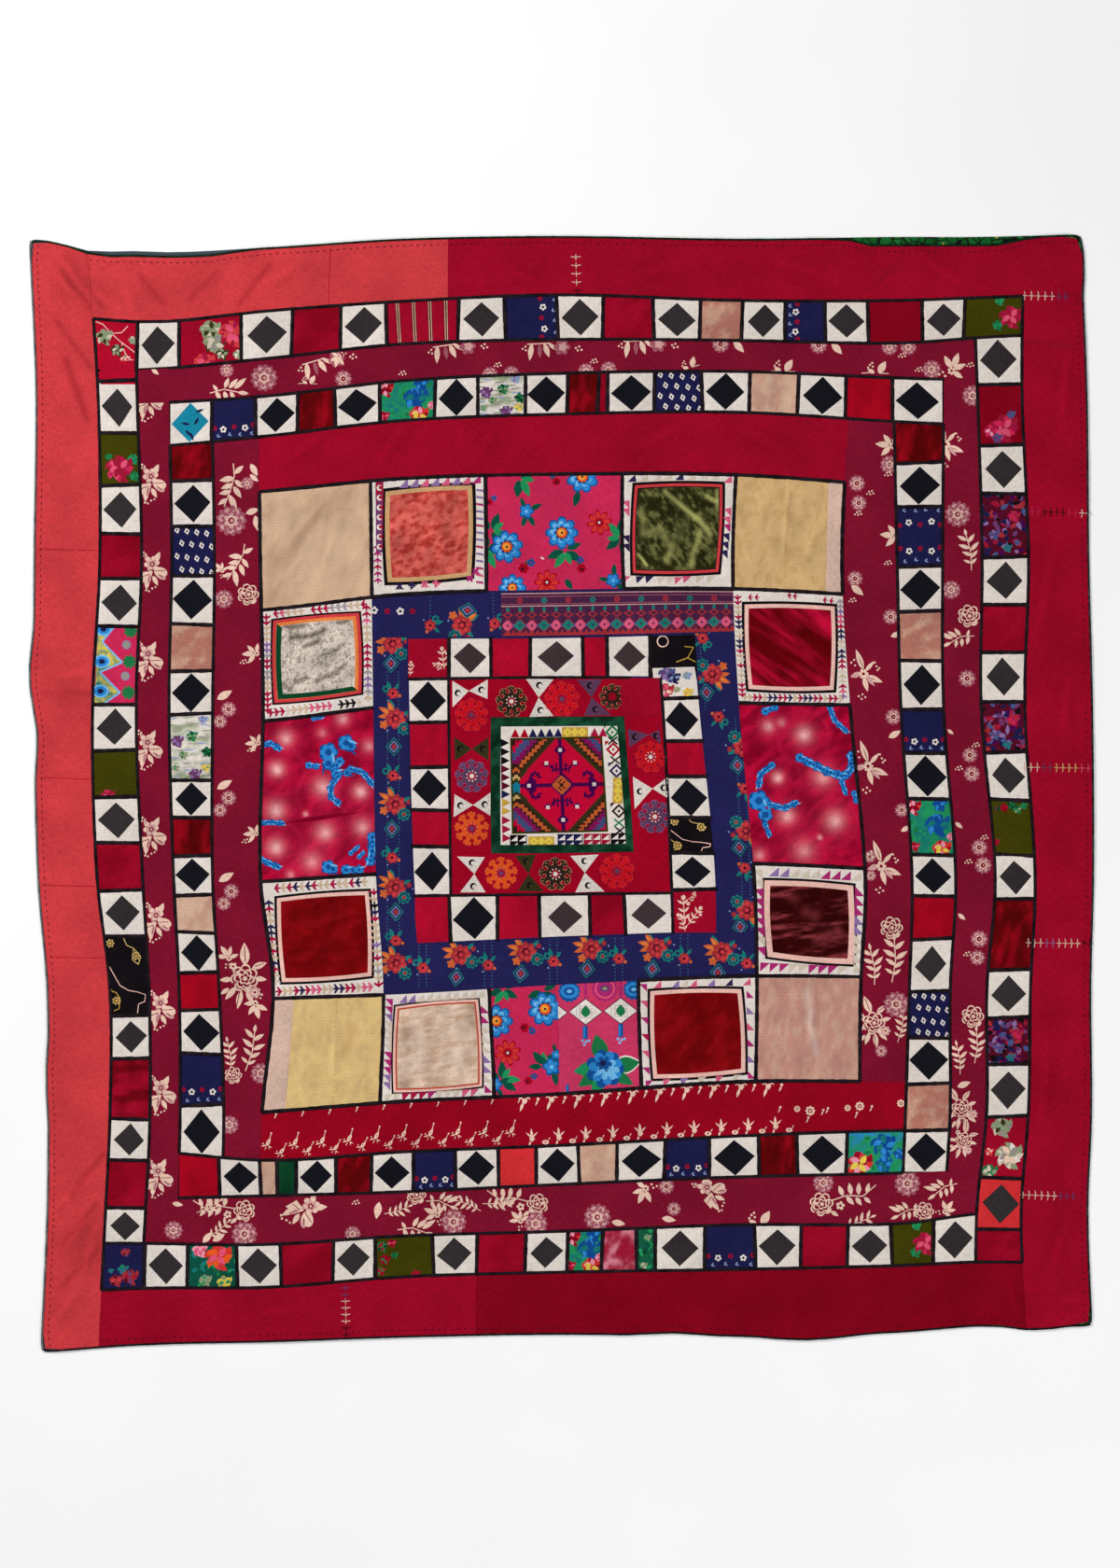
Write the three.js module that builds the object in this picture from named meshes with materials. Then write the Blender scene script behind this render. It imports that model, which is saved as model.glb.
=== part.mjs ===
// A pieced suzani cover, lying flat on its lining. From the rim inwards it has plain border strips,
// a band of small patches, a printed sashing, a second band of patches, a second sashing, a ring of
// large blocks, a blue printed frame, a third ring of patches, an embroidered ring and a stitched centre.
// Millimetres, +Z up, +Y towards the cover's top edge. The lining's underside lies at Z = 0.

import * as THREE from "three";

// Driving dimensions in millimetres.
const COVER_WIDTH = 1824;
const GAP = 0.3;
const LINING_THICKNESS = 1.0;
const BINDING_WIDTH = 3.2;
const BINDING_THICKNESS = 1.6;
const CORNER_RADIUS = 14;
const EDGE_DIP = 0.25;

// The lay chart places every seam as the cover lies, with x to the right and y down.
// Its units are turned into millimetres by the cover's width.
const CHART_WIDTH = 1140;
const UNIT = COVER_WIDTH / CHART_WIDTH;
const BORDER_STEP = 24;
const PANEL_STEP = 34;
const CORNER_PULL = 0.3;
const ARC_STEPS = 4;

// Cloths, with the thickness in millimetres.
const CLOTHS = {
  lining: { colour: "#2f6a42", roughness: 0.9, thickness: LINING_THICKNESS },
  binding: { colour: "#1d2420", roughness: 0.9, thickness: BINDING_THICKNESS },
  coral_cotton: { colour: "#d03c40", roughness: 0.9, thickness: 1.2 },
  crimson_cotton: { colour: "#9b0324", roughness: 0.9, thickness: 1.2 },
  dark_red_cotton: { colour: "#800014", roughness: 0.9, thickness: 1.2 },
  burgundy_print: { colour: "#700c28", roughness: 0.9, thickness: 1.2 },
  patched_cotton: { colour: "#ded6ce", roughness: 0.9, thickness: 1.4 },
  plush: { colour: "#cdaa82", roughness: 0.95, thickness: 1.7 },
  framed_velvet: { colour: "#8c1a28", roughness: 0.8, thickness: 1.9 },
  pink_print: { colour: "#cd2d69", roughness: 0.85, thickness: 1.2 },
  bubble_print: { colour: "#c30f3c", roughness: 0.85, thickness: 1.2 },
  blue_print: { colour: "#28285f", roughness: 0.85, thickness: 1.2 },
  star_embroidery: { colour: "#a01828", roughness: 0.85, thickness: 1.6 },
  green_velvet: { colour: "#0a4b2d", roughness: 0.95, thickness: 1.5 },
  cross_stitch: { colour: "#b0323c", roughness: 0.85, thickness: 1.1 },
};

// Seams that run across, from the top down: chart y at each x in ACROSS_AT.
// A ring's seam is the outer edge of what the ring is named for.
const ACROSS_AT = [35, 160, 290, 430, 600, 790, 960, 1050, 1165];
const ACROSS = [
  { seam: "rim_top", at: [256, 270, 265, 256, 253, 256, 254, 254, 251] },
  { seam: "band_top", at: [334, 345, 333, 323, 316, 322, 322, 319, 315] },
  { seam: "sash_top", at: [398, 396, 384, 369, 364, 365, 368, 362, 356] },
  { seam: "inner_band_top", at: [434, 432, 424, 408, 400, 398, 405, 407, 408] },
  { seam: "inner_sash_top", at: [482, 479, 467, 451, 444, 442, 452, 456, 458] },
  { seam: "blocks_top", at: [545, 537, 526, 513, 508, 509, 521, 526, 528] },
  { seam: "blue_top", at: [664, 660, 653, 637, 632, 631, 640, 644, 646] },
  { seam: "ring_top", at: [690, 688, 686, 683, 682, 677, 672, 672, 672] },
  { seam: "stars_top", at: [736, 734, 731, 728, 726, 727, 727, 727, 727] },
  { seam: "mid_top", at: [784, 780, 772, 755, 745, 753, 756, 757, 758] },
  { seam: "velvet_top", at: [800, 796, 790, 772, 768, 768, 772, 774, 776] },
  { seam: "patch_top", at: [812, 808, 800, 782, 778, 779, 784, 786, 788] },
  { seam: "patch_bottom", at: [915, 913, 910, 906, 905, 902, 904, 906, 908] },
  { seam: "velvet_bottom", at: [925, 923, 920, 915, 914, 911, 912, 914, 916] },
  { seam: "mid_bottom", at: [952, 950, 944, 935, 930, 925, 932, 935, 936] },
  { seam: "stars_bottom", at: [968, 966, 964, 960, 958, 956, 957, 957, 957] },
  { seam: "ring_bottom", at: [1022, 1020, 1018, 1013, 1005, 999, 998, 998, 998] },
  { seam: "blue_bottom", at: [1080, 1076, 1070, 1065, 1055, 1046, 1047, 1049, 1050] },
  { seam: "blocks_bottom", at: [1205, 1199, 1191, 1180, 1172, 1159, 1159, 1160, 1160] },
  { seam: "inner_sash_bottom", at: [1230, 1233, 1243, 1234, 1227, 1217, 1211, 1212, 1210] },
  { seam: "inner_band_bottom", at: [1285, 1284, 1281, 1277, 1269, 1261, 1257, 1253, 1252] },
  { seam: "sash_bottom", at: [1331, 1332, 1333, 1324, 1319, 1312, 1311, 1300, 1296] },
  { seam: "band_bottom", at: [1386, 1380, 1379, 1368, 1363, 1360, 1356, 1352, 1354] },
  { seam: "rim_bottom", at: [1450, 1441, 1438, 1433, 1430, 1432, 1428, 1421, 1421] },
];

// Seams that run down, from left to right: chart x at each y in DOWN_AT.
const DOWN_AT = [255, 420, 600, 760, 940, 1060, 1190, 1300, 1435];
const DOWN = [
  { seam: "rim_left", at: [31, 38, 36, 36, 40, 50, 51, 50, 44] },
  { seam: "band_left", at: [93, 105, 107, 99, 104, 118, 118, 113, 106] },
  { seam: "sash_left", at: [143, 147, 152, 146, 153, 160, 161, 156, 148] },
  { seam: "inner_band_left", at: [179, 181, 184, 181, 186, 192, 193, 190, 187] },
  { seam: "inner_sash_left", at: [226, 227, 230, 228, 228, 235, 240, 237, 235] },
  { seam: "blocks_left", at: [276, 277, 279, 282, 279, 293, 281, 277, 275] },
  { seam: "blue_left", at: [395, 396, 398, 400, 403, 411, 407, 405, 404] },
  { seam: "ring_left", at: [433, 433, 435, 437, 442, 450, 450, 450, 450] },
  { seam: "stars_left", at: [480, 480, 481, 481, 483, 484, 484, 484, 484] },
  { seam: "split_left", at: [518, 519, 521, 521, 523, 524, 529, 514, 509] },
  { seam: "velvet_left", at: [532, 532, 532, 526, 527, 534, 540, 540, 540] },
  { seam: "patch_left", at: [543, 543, 543, 537, 537, 544, 550, 550, 550] },
  { seam: "patch_right", at: [648, 648, 646, 660, 672, 668, 668, 668, 668] },
  { seam: "velvet_right", at: [657, 657, 655, 668, 680, 677, 677, 677, 677] },
  { seam: "split_right", at: [668, 668, 667, 678, 686, 684, 688, 690, 690] },
  { seam: "stars_right", at: [696, 696, 697, 710, 719, 722, 722, 722, 722] },
  { seam: "ring_right", at: [738, 738, 739, 751, 768, 768, 768, 768, 768] },
  { seam: "blue_right", at: [795, 793, 785, 792, 808, 811, 809, 808, 808] },
  { seam: "blocks_right", at: [911, 910, 902, 911, 927, 922, 921, 920, 920] },
  { seam: "inner_sash_right", at: [955, 957, 961, 965, 977, 974, 970, 966, 966] },
  { seam: "inner_band_right", at: [1010, 1011, 1010, 1011, 1024, 1018, 1018, 1012, 1012] },
  { seam: "sash_right", at: [1040, 1047, 1052, 1051, 1066, 1057, 1057, 1046, 1046] },
  { seam: "band_right", at: [1097, 1095, 1102, 1098, 1109, 1104, 1102, 1094, 1100] },
  { seam: "rim_right", at: [1158, 1165, 1167, 1171, 1172, 1169, 1170, 1166, 1171] },
];

// Short waves of the rim: centre along the seam, half length and sideways push, in chart units.
const RIPPLES = [
  { seam: "rim_top", centre: 98, reach: 45, push: 5 },
  { seam: "rim_left", centre: 722, reach: 60, push: -5 },
  { seam: "rim_left", centre: 792, reach: 45, push: 3 },
  { seam: "rim_left", centre: 1156, reach: 40, push: -3 },
  { seam: "rim_right", centre: 282, reach: 40, push: 3 },
  { seam: "rim_bottom", centre: 722, reach: 60, push: -3 },
  { seam: "rim_bottom", centre: 866, reach: 80, push: 5 },
  { seam: "rim_bottom", centre: 1106, reach: 50, push: 5 },
];

// Stretches of the top rim where the lining rolls into view past the border.
const LINING_SHOWS = [
  { from: 96, to: 250, depth: 4 },
  { from: 918, to: 1092, depth: 8 },
];
const SHOW_FADE = 18;

// Main folds as soft ridges: centre, heading in degrees from the right, length and half width in
// chart units, and rise in millimetres.
const FOLDS = [
  { x: 80, y: 308, heading: -59, length: 100, width: 14, rise: 4 },
  { x: 240, y: 308, heading: 40, length: 90, width: 18, rise: 2.5 },
  { x: 150, y: 318, heading: 62, length: 60, width: 16, rise: 2 },
  { x: 66, y: 738, heading: -8, length: 70, width: 16, rise: 3 },
  { x: 84, y: 1320, heading: 72, length: 190, width: 15, rise: 4 },
  { x: 88, y: 1384, heading: 48, length: 90, width: 14, rise: 3 },
  { x: 1128, y: 350, heading: 84, length: 190, width: 18, rise: 3 },
  { x: 1132, y: 860, heading: 88, length: 240, width: 18, rise: 2.5 },
  { x: 1126, y: 1390, heading: 24, length: 110, width: 16, rise: 3 },
  { x: 846, y: 1412, heading: 84, length: 70, width: 26, rise: 3 },
  { x: 1000, y: 284, heading: -34, length: 130, width: 18, rise: 2.5 },
  { x: 360, y: 482, heading: 30, length: 110, width: 18, rise: 2 },
  { x: 456, y: 470, heading: 48, length: 70, width: 16, rise: 2 },
  { x: 322, y: 575, heading: 60, length: 110, width: 18, rise: 2 },
  { x: 846, y: 548, heading: 78, length: 90, width: 18, rise: 1.6 },
  { x: 340, y: 880, heading: 10, length: 110, width: 16, rise: 1.8 },
  { x: 1056, y: 905, heading: 82, length: 160, width: 18, rise: 2.5 },
];

// Panels of each cloth: node, then the seams at its left, right, top and bottom.
const PANELS_OF_CLOTH = {
  coral_cotton: [
    ["border_left", "rim_left", "band_left", "rim_top", "rim_bottom"],
    ["border_top_coral", "band_left", "stars_left", "rim_top", "band_top"],
  ],
  crimson_cotton: [
    ["border_top_crimson", "stars_left", "rim_right", "rim_top", "band_top"],
    ["border_right", "band_right", "rim_right", "band_top", "rim_bottom"],
    ["border_bottom_crimson", "band_left", "split_left", "band_bottom", "rim_bottom"],
    ["inner_sash_top", "blocks_left", "blocks_right", "inner_sash_top", "blocks_top"],
    ["inner_sash_bottom", "blocks_left", "inner_sash_right", "blocks_bottom", "inner_sash_bottom"],
  ],
  dark_red_cotton: [
    ["border_bottom_dark", "split_left", "band_right", "band_bottom", "rim_bottom"],
  ],
  patched_cotton: [
    ["outer_band_top", "band_left", "band_right", "band_top", "sash_top"],
    ["outer_band_right", "sash_right", "band_right", "sash_top", "band_bottom"],
    ["outer_band_bottom", "band_left", "sash_right", "sash_bottom", "band_bottom"],
    ["outer_band_left", "band_left", "sash_left", "sash_top", "sash_bottom"],
    ["inner_band_top", "inner_band_left", "inner_band_right", "inner_band_top", "inner_sash_top"],
    ["inner_band_right", "inner_sash_right", "inner_band_right", "inner_sash_top", "inner_band_bottom"],
    ["inner_band_bottom", "inner_band_left", "inner_sash_right", "inner_sash_bottom", "inner_band_bottom"],
    ["inner_band_left", "inner_band_left", "inner_sash_left", "inner_sash_top", "inner_sash_bottom"],
    ["patch_ring_top", "ring_left", "ring_right", "ring_top", "stars_top"],
    ["patch_ring_right", "stars_right", "ring_right", "stars_top", "ring_bottom"],
    ["patch_ring_bottom", "ring_left", "stars_right", "stars_bottom", "ring_bottom"],
    ["patch_ring_left", "ring_left", "stars_left", "stars_top", "stars_bottom"],
  ],
  burgundy_print: [
    ["outer_sash_top", "sash_left", "sash_right", "sash_top", "inner_band_top"],
    ["outer_sash_right", "inner_band_right", "sash_right", "inner_band_top", "inner_band_bottom"],
    ["outer_sash_bottom", "sash_left", "sash_right", "inner_band_bottom", "sash_bottom"],
    ["outer_sash_left", "sash_left", "inner_band_left", "inner_band_top", "inner_band_bottom"],
    ["inner_sash_right", "blocks_right", "inner_sash_right", "inner_sash_top", "blocks_bottom"],
    ["inner_sash_left", "inner_sash_left", "blocks_left", "inner_sash_top", "inner_sash_bottom"],
  ],
  plush: [
    ["block_beige_plush", "blocks_left", "blue_left", "blocks_top", "blue_top"],
    ["block_yellow_top", "blue_right", "blocks_right", "blocks_top", "blue_top"],
    ["block_yellow_bottom", "blocks_left", "blue_left", "blue_bottom", "blocks_bottom"],
    ["block_rose_plush", "blue_right", "blocks_right", "blue_bottom", "blocks_bottom"],
  ],
  framed_velvet: [
    ["block_coral_velvet", "blue_left", "split_left", "blocks_top", "blue_top"],
    ["block_olive_velvet", "split_right", "blue_right", "blocks_top", "blue_top"],
    ["block_silver_velvet", "blocks_left", "blue_left", "blue_top", "mid_top"],
    ["block_red_velvet_left", "blocks_left", "blue_left", "mid_bottom", "blue_bottom"],
    ["block_cream_velvet", "blue_left", "split_left", "blue_bottom", "blocks_bottom"],
    ["block_red_velvet_bottom", "split_right", "blue_right", "blue_bottom", "blocks_bottom"],
    ["block_crimson_velvet", "blue_right", "blocks_right", "blue_top", "mid_top"],
    ["block_maroon_velvet", "blue_right", "blocks_right", "mid_bottom", "blue_bottom"],
  ],
  pink_print: [
    ["block_pink_top", "split_left", "split_right", "blocks_top", "blue_top"],
    ["block_pink_bottom", "split_left", "split_right", "blue_bottom", "blocks_bottom"],
  ],
  bubble_print: [
    ["block_bubbles_left", "blocks_left", "blue_left", "mid_top", "mid_bottom"],
    ["block_bubbles_right", "blue_right", "blocks_right", "mid_top", "mid_bottom"],
  ],
  blue_print: [
    ["blue_frame_top", "blue_left", "blue_right", "blue_top", "ring_top"],
    ["blue_frame_right", "ring_right", "blue_right", "ring_top", "ring_bottom"],
    ["blue_frame_bottom", "blue_left", "blue_right", "ring_bottom", "blue_bottom"],
    ["blue_frame_left", "blue_left", "ring_left", "ring_top", "ring_bottom"],
  ],
  star_embroidery: [
    ["star_ring_top", "stars_left", "stars_right", "stars_top", "velvet_top"],
    ["star_ring_right", "velvet_right", "stars_right", "velvet_top", "stars_bottom"],
    ["star_ring_bottom", "stars_left", "velvet_right", "velvet_bottom", "stars_bottom"],
    ["star_ring_left", "stars_left", "velvet_left", "velvet_top", "velvet_bottom"],
  ],
  green_velvet: [
    ["centre_velvet", "velvet_left", "velvet_right", "velvet_top", "velvet_bottom"],
  ],
  cross_stitch: [
    ["centre_patch", "patch_left", "patch_right", "patch_top", "patch_bottom"],
  ],
};
const PANELS = Object.entries(PANELS_OF_CLOTH).flatMap(([cloth, rows]) =>
  rows.map(([node, left, right, top, bottom]) => ({ node, left, right, top, bottom, cloth })),
);

const BINDING_NODES = ["binding_top", "binding_right", "binding_bottom", "binding_left"];

const { clamp, lerp, degToRad, smoothstep } = THREE.MathUtils;

// Smooth curve through a seam's values at its stations.
function through(stations, values, place) {
  const last = stations.length - 1;
  let k = 0;
  while (k < last - 1 && place > stations[k + 1]) {
    k += 1;
  }
  const slope = (i) => {
    const before = Math.max(i - 1, 0);
    const after = Math.min(i + 1, last);
    return (values[after] - values[before]) / (stations[after] - stations[before]);
  };
  const span = stations[k + 1] - stations[k];
  const t = clamp((place - stations[k]) / span, 0, 1);
  const rise = values[k + 1] - values[k];
  const bend = t * (1 - t) * ((1 - t) * (slope(k) * span - rise) - t * (slope(k + 1) * span - rise));
  return values[k] + rise * t + bend;
}

// A seam's chart coordinate at a place along it, with its ripples.
function seamAt(row, stations, place) {
  let value = through(stations, row.at, place);
  for (const ripple of RIPPLES) {
    const away = Math.abs(place - ripple.centre) / ripple.reach;
    if (ripple.seam === row.seam && away < 1) {
      value += (ripple.push * (1 + Math.cos(Math.PI * away))) / 2;
    }
  }
  return value;
}

// How far the lining shows past the border at a place along the top rim.
function liningShow(x) {
  let depth = 0;
  for (const show of LINING_SHOWS) {
    const open = smoothstep(x, show.from - SHOW_FADE, show.from + SHOW_FADE);
    const shut = smoothstep(x, show.to - SHOW_FADE, show.to + SHOW_FADE);
    depth += show.depth * open * (1 - shut);
  }
  return depth;
}

// Grid lines: every seam, and even steps between neighbouring seams.
function gridLines(rows) {
  const middle = (row) => row.at[Math.floor(row.at.length / 2)];
  const lines = [];
  for (let k = 0; k + 1 < rows.length; k += 1) {
    const onBorder = k === 0 || k + 2 === rows.length;
    const step = onBorder ? BORDER_STEP : PANEL_STEP;
    const count = Math.ceil((middle(rows[k + 1]) - middle(rows[k])) / step);
    for (let s = 0; s < count; s += 1) {
      lines.push({ row: k, part: s / count });
    }
  }
  lines.push({ row: rows.length - 1, part: 0 });
  return lines;
}

function lineAt(line, rows, stations, place) {
  const here = seamAt(rows[line.row], stations, place);
  if (line.part === 0) {
    return here;
  }
  return lerp(here, seamAt(rows[line.row + 1], stations, place), line.part);
}

const acrossLines = gridLines(ACROSS);
const downLines = gridLines(DOWN);
const SETTLING_PASSES = 6;

// Chart point where a line across meets a line down.
function crossing(down, across, withShow) {
  let x = DOWN[down.row].at[0];
  let y = ACROSS[across.row].at[0];
  for (let pass = 0; pass < SETTLING_PASSES; pass += 1) {
    x = lineAt(down, DOWN, DOWN_AT, y);
    y = lineAt(across, ACROSS, ACROSS_AT, x);
  }
  const onTopRim = across.row === 0 && across.part === 0;
  return { x, y: onTopRim && withShow ? y + liningShow(x) : y };
}

// Height of the folds at a chart point, in millimetres.
function foldHeight(x, y) {
  let height = 0;
  for (const fold of FOLDS) {
    const angle = degToRad(fold.heading);
    const along = (x - fold.x) * Math.cos(angle) - (y - fold.y) * Math.sin(angle);
    const aside = (x - fold.x) * Math.sin(angle) + (y - fold.y) * Math.cos(angle);
    const reach = clamp(1 - Math.abs((2 * along) / fold.length), 0, 1);
    const section = Math.exp(-((aside / fold.width) ** 2));
    height = Math.max(height, fold.rise * smoothstep(reach, 0, 1) * section);
  }
  return height;
}

// The rim as four sides of chart points, clockwise from the top left, each after its corner.
function rimSides(withShow) {
  const top = acrossLines[0];
  const bottom = acrossLines.at(-1);
  const left = downLines[0];
  const right = downLines.at(-1);
  const alongTop = downLines.slice(1, -1).map((down) => crossing(down, top, withShow));
  const alongRight = acrossLines.slice(1, -1).map((across) => crossing(right, across));
  const alongBottom = downLines.slice(1, -1).map((down) => crossing(down, bottom));
  const alongLeft = acrossLines.slice(1, -1).map((across) => crossing(left, across));
  return [
    { corner: crossing(left, top, withShow), points: alongTop },
    { corner: crossing(right, top, withShow), points: alongRight },
    { corner: crossing(right, bottom), points: alongBottom.reverse() },
    { corner: crossing(left, bottom), points: alongLeft.reverse() },
  ];
}

// The rim in plan with round corners, clockwise. Each side's run starts half way round its corner.
function rimLoop(withShow, place) {
  const sides = rimSides(withShow).map(({ corner, points }) => ({
    corner: place(corner),
    points: points.map(place),
  }));
  const loop = [];
  const starts = [];
  sides.forEach((side, k) => {
    const before = sides.at(k - 1).points.at(-1);
    const from = side.corner.clone().sub(before).setLength(-CORNER_RADIUS).add(side.corner);
    const to = side.points[0].clone().sub(side.corner).setLength(CORNER_RADIUS).add(side.corner);
    const arc = new THREE.QuadraticBezierCurve(from, side.corner, to).getPoints(ARC_STEPS);
    starts.push(loop.length + ARC_STEPS / 2);
    loop.push(...arc, ...side.points);
  });
  return { loop, starts };
}

// Chart points in plan millimetres. The origin is the middle of the rim's box.
const toScale = (p) => new THREE.Vector2(p.x * UNIT, -p.y * UNIT);
const rimBox = new THREE.Box2().setFromPoints(rimLoop(false, toScale).loop);
const middle = rimBox.getCenter(new THREE.Vector2());
const toPlan = (p) => toScale(p).sub(middle);
const toChart = (v) => ({ x: (v.x + middle.x) / UNIT, y: -(v.y + middle.y) / UNIT });

// The same loop moved inwards, to the right of its clockwise direction.
function inset(loop, distance) {
  return loop.map((point, k) => {
    const next = loop[(k + 1) % loop.length];
    const last = loop[(k + loop.length - 1) % loop.length];
    const along = next.clone().sub(last).normalize();
    return new THREE.Vector2(point.x + along.y * distance, point.y - along.x * distance);
  });
}

// Closed sheet over a grid of plan points: rows run left to right, from the top row down.
function sheetGeometry(rows, lowAt, highAt) {
  const across = rows[0].length;
  const down = rows.length;
  const low = [];
  const high = [];
  rows.forEach((row, j) => {
    row.forEach((p, i) => {
      const onEdge = i === 0 || j === 0 || i === across - 1 || j === down - 1;
      low.push(p.x, p.y, lowAt(p));
      high.push(p.x, p.y, highAt(p, onEdge));
    });
  });
  const count = across * down;
  const top = (i, j) => count + j * across + i;
  const index = [];
  for (let j = 0; j + 1 < down; j += 1) {
    for (let i = 0; i + 1 < across; i += 1) {
      const [a, b, c, d] = [top(i, j), top(i + 1, j), top(i + 1, j + 1), top(i, j + 1)];
      index.push(a, d, c, a, c, b);
      index.push(a - count, c - count, d - count, a - count, b - count, c - count);
    }
  }
  const range = (size) => Array.from({ length: size - 1 }, (_, k) => k);
  const rim = [
    ...range(down).map((j) => top(0, j)),
    ...range(across).map((i) => top(i, down - 1)),
    ...range(down).map((j) => top(across - 1, down - 1 - j)),
    ...range(across).map((i) => top(across - 1 - i, 0)),
  ];
  rim.forEach((p, k) => {
    const q = rim[(k + 1) % rim.length];
    index.push(p - count, q - count, q, p - count, q, p);
  });
  const geometry = new THREE.BufferGeometry();
  geometry.setAttribute("position", new THREE.Float32BufferAttribute([...low, ...high], 3));
  geometry.setIndex(index);
  geometry.computeVertexNormals();
  return geometry;
}

const foldAt = (p) => {
  const chart = toChart(p);
  return foldHeight(chart.x, chart.y);
};

// A panel between four seams, half a gap inside them, or inside the binding on the rim.
function panelGeometry(panel, base) {
  const within = (lines, rows, from, to) => {
    const place = (seam) => lines.findIndex((line) => rows[line.row].seam === seam && line.part === 0);
    return lines.slice(place(from), place(to) + 1);
  };
  const downs = within(downLines, DOWN, panel.left, panel.right);
  const acrosses = within(acrossLines, ACROSS, panel.top, panel.bottom);
  const onRim = (seam) => seam.startsWith("rim");
  const room = (seam) => (onRim(seam) ? BINDING_WIDTH + GAP : GAP / 2);
  // How far a point moves inwards from the seam that it is on. Corners of the rim move further.
  const moveIn = (p, i, j) => {
    const sideX = { 0: panel.left, [downs.length - 1]: panel.right }[i];
    const sideY = { 0: panel.top, [acrosses.length - 1]: panel.bottom }[j];
    const atCorner = sideX && sideY && onRim(sideX) && onRim(sideY);
    const pull = atCorner ? CORNER_PULL * CORNER_RADIUS : 0;
    if (sideX) {
      p.x += (i === 0 ? 1 : -1) * (room(sideX) + pull);
    }
    if (sideY) {
      p.y += (j === 0 ? -1 : 1) * (room(sideY) + pull);
    }
    return p;
  };
  const points = acrosses.map((across, j) =>
    downs.map((down, i) => moveIn(toPlan(crossing(down, across, true)), i, j)),
  );
  const thickness = CLOTHS[panel.cloth].thickness;
  const lowAt = (p) => base + foldAt(p);
  const highAt = (p, onEdge) => lowAt(p) + thickness - (onEdge ? EDGE_DIP : 0);
  return sheetGeometry(points, lowAt, highAt);
}

// One run of the binding, from half way round one corner to half way round the next.
function bindingGeometry(side, base) {
  const { loop, starts } = rimLoop(true, toPlan);
  const end = starts[side + 1] ?? starts[0] + loop.length;
  const take = (points) => {
    const run = points.concat(points).slice(starts[side], end + 1).map((p) => p.clone());
    const nudge = (point, towards) => point.add(towards.clone().sub(point).setLength(GAP / 2));
    nudge(run[0], run[1]);
    nudge(run.at(-1), run.at(-2));
    return run;
  };
  const lowAt = (p) => base + foldAt(p);
  const highAt = (p) => lowAt(p) + BINDING_THICKNESS;
  return sheetGeometry([take(loop), take(inset(loop, BINDING_WIDTH))], lowAt, highAt);
}

function liningGeometry() {
  const outline = new THREE.Shape(rimLoop(false, toPlan).loop);
  return new THREE.ExtrudeGeometry(outline, { depth: LINING_THICKNESS, bevelEnabled: false });
}

const cover = new THREE.Group();

function addMesh(node, geometry, cloth) {
  const { colour, roughness } = CLOTHS[cloth];
  const material = new THREE.MeshStandardMaterial({ color: colour, roughness, metalness: 0 });
  const mesh = new THREE.Mesh(geometry, material);
  mesh.name = node;
  cover.add(mesh);
}

const panelBase = LINING_THICKNESS + GAP;
const patchBase = panelBase + CLOTHS.green_velvet.thickness + GAP;

addMesh("lining", liningGeometry(), "lining");
for (const panel of PANELS) {
  const base = panel.cloth === "cross_stitch" ? patchBase : panelBase;
  addMesh(panel.node, panelGeometry(panel, base), panel.cloth);
}
BINDING_NODES.forEach((node, side) => addMesh(node, bindingGeometry(side, panelBase), "binding"));

export default cover;
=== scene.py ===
# %% [markdown]
# A pieced suzani cover, built in cells.
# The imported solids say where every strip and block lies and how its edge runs. This script lays a finer
# sheet of cloth on each of them, cuts the small patches and prints into that sheet, and sews on the tapes,
# stitches and binding that hold the real cover together.

# %% Load the fixed frame
import math
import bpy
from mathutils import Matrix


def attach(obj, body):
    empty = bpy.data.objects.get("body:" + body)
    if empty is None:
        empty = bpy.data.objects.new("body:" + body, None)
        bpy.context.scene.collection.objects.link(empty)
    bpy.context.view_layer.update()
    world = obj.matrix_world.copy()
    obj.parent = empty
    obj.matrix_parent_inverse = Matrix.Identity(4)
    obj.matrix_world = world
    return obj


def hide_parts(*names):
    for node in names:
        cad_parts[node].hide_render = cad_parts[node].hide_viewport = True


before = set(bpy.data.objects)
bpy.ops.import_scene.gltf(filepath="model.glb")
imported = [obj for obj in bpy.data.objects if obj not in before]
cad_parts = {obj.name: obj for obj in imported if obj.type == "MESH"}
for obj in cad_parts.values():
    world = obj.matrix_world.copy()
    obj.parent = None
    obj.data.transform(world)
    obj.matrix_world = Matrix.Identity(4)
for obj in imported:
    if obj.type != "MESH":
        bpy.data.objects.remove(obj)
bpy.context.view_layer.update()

from types import SimpleNamespace

import bpy
import numpy as np
from mathutils import Vector
from mathutils.geometry import delaunay_2d_cdt
from mathutils.kdtree import KDTree

print("nodes in the frame:", len(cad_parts))

# %% [markdown]
# The makers of such covers work from the edge of the last strip, so the layout is easiest to write down as
# a chart of the flat cover. One chart unit is 1.6 mm, as in the part's source, x runs to the right and y
# runs down. Two small functions carry points between the chart and the frame. The tables of places and
# marks below are short texts, in which commas part the rows and semicolons part named sets of rows.

# %% The lay chart
MM = 0.001
CHART_UNIT = 1.6 * MM
CHART_MIDDLE = np.array((601.534, 850.043))
CHART_TO_FRAME = np.array((CHART_UNIT, -CHART_UNIT))


def to_frame(points):
    return (np.asarray(points, float) - CHART_MIDDLE) * CHART_TO_FRAME


def to_chart(places):
    return np.asarray(places, float) / CHART_TO_FRAME + CHART_MIDDLE


def value_of(word):
    """What a word of a table stands for: a number where it is one."""
    if word.strip("-").replace(".", "").isdigit():
        return float(word) if "." in word else int(word)
    return word


def read_rows(table):
    """The rows of a table, parted by commas."""
    return [tuple(map(value_of, row.split())) for row in table.split(",")]


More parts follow.
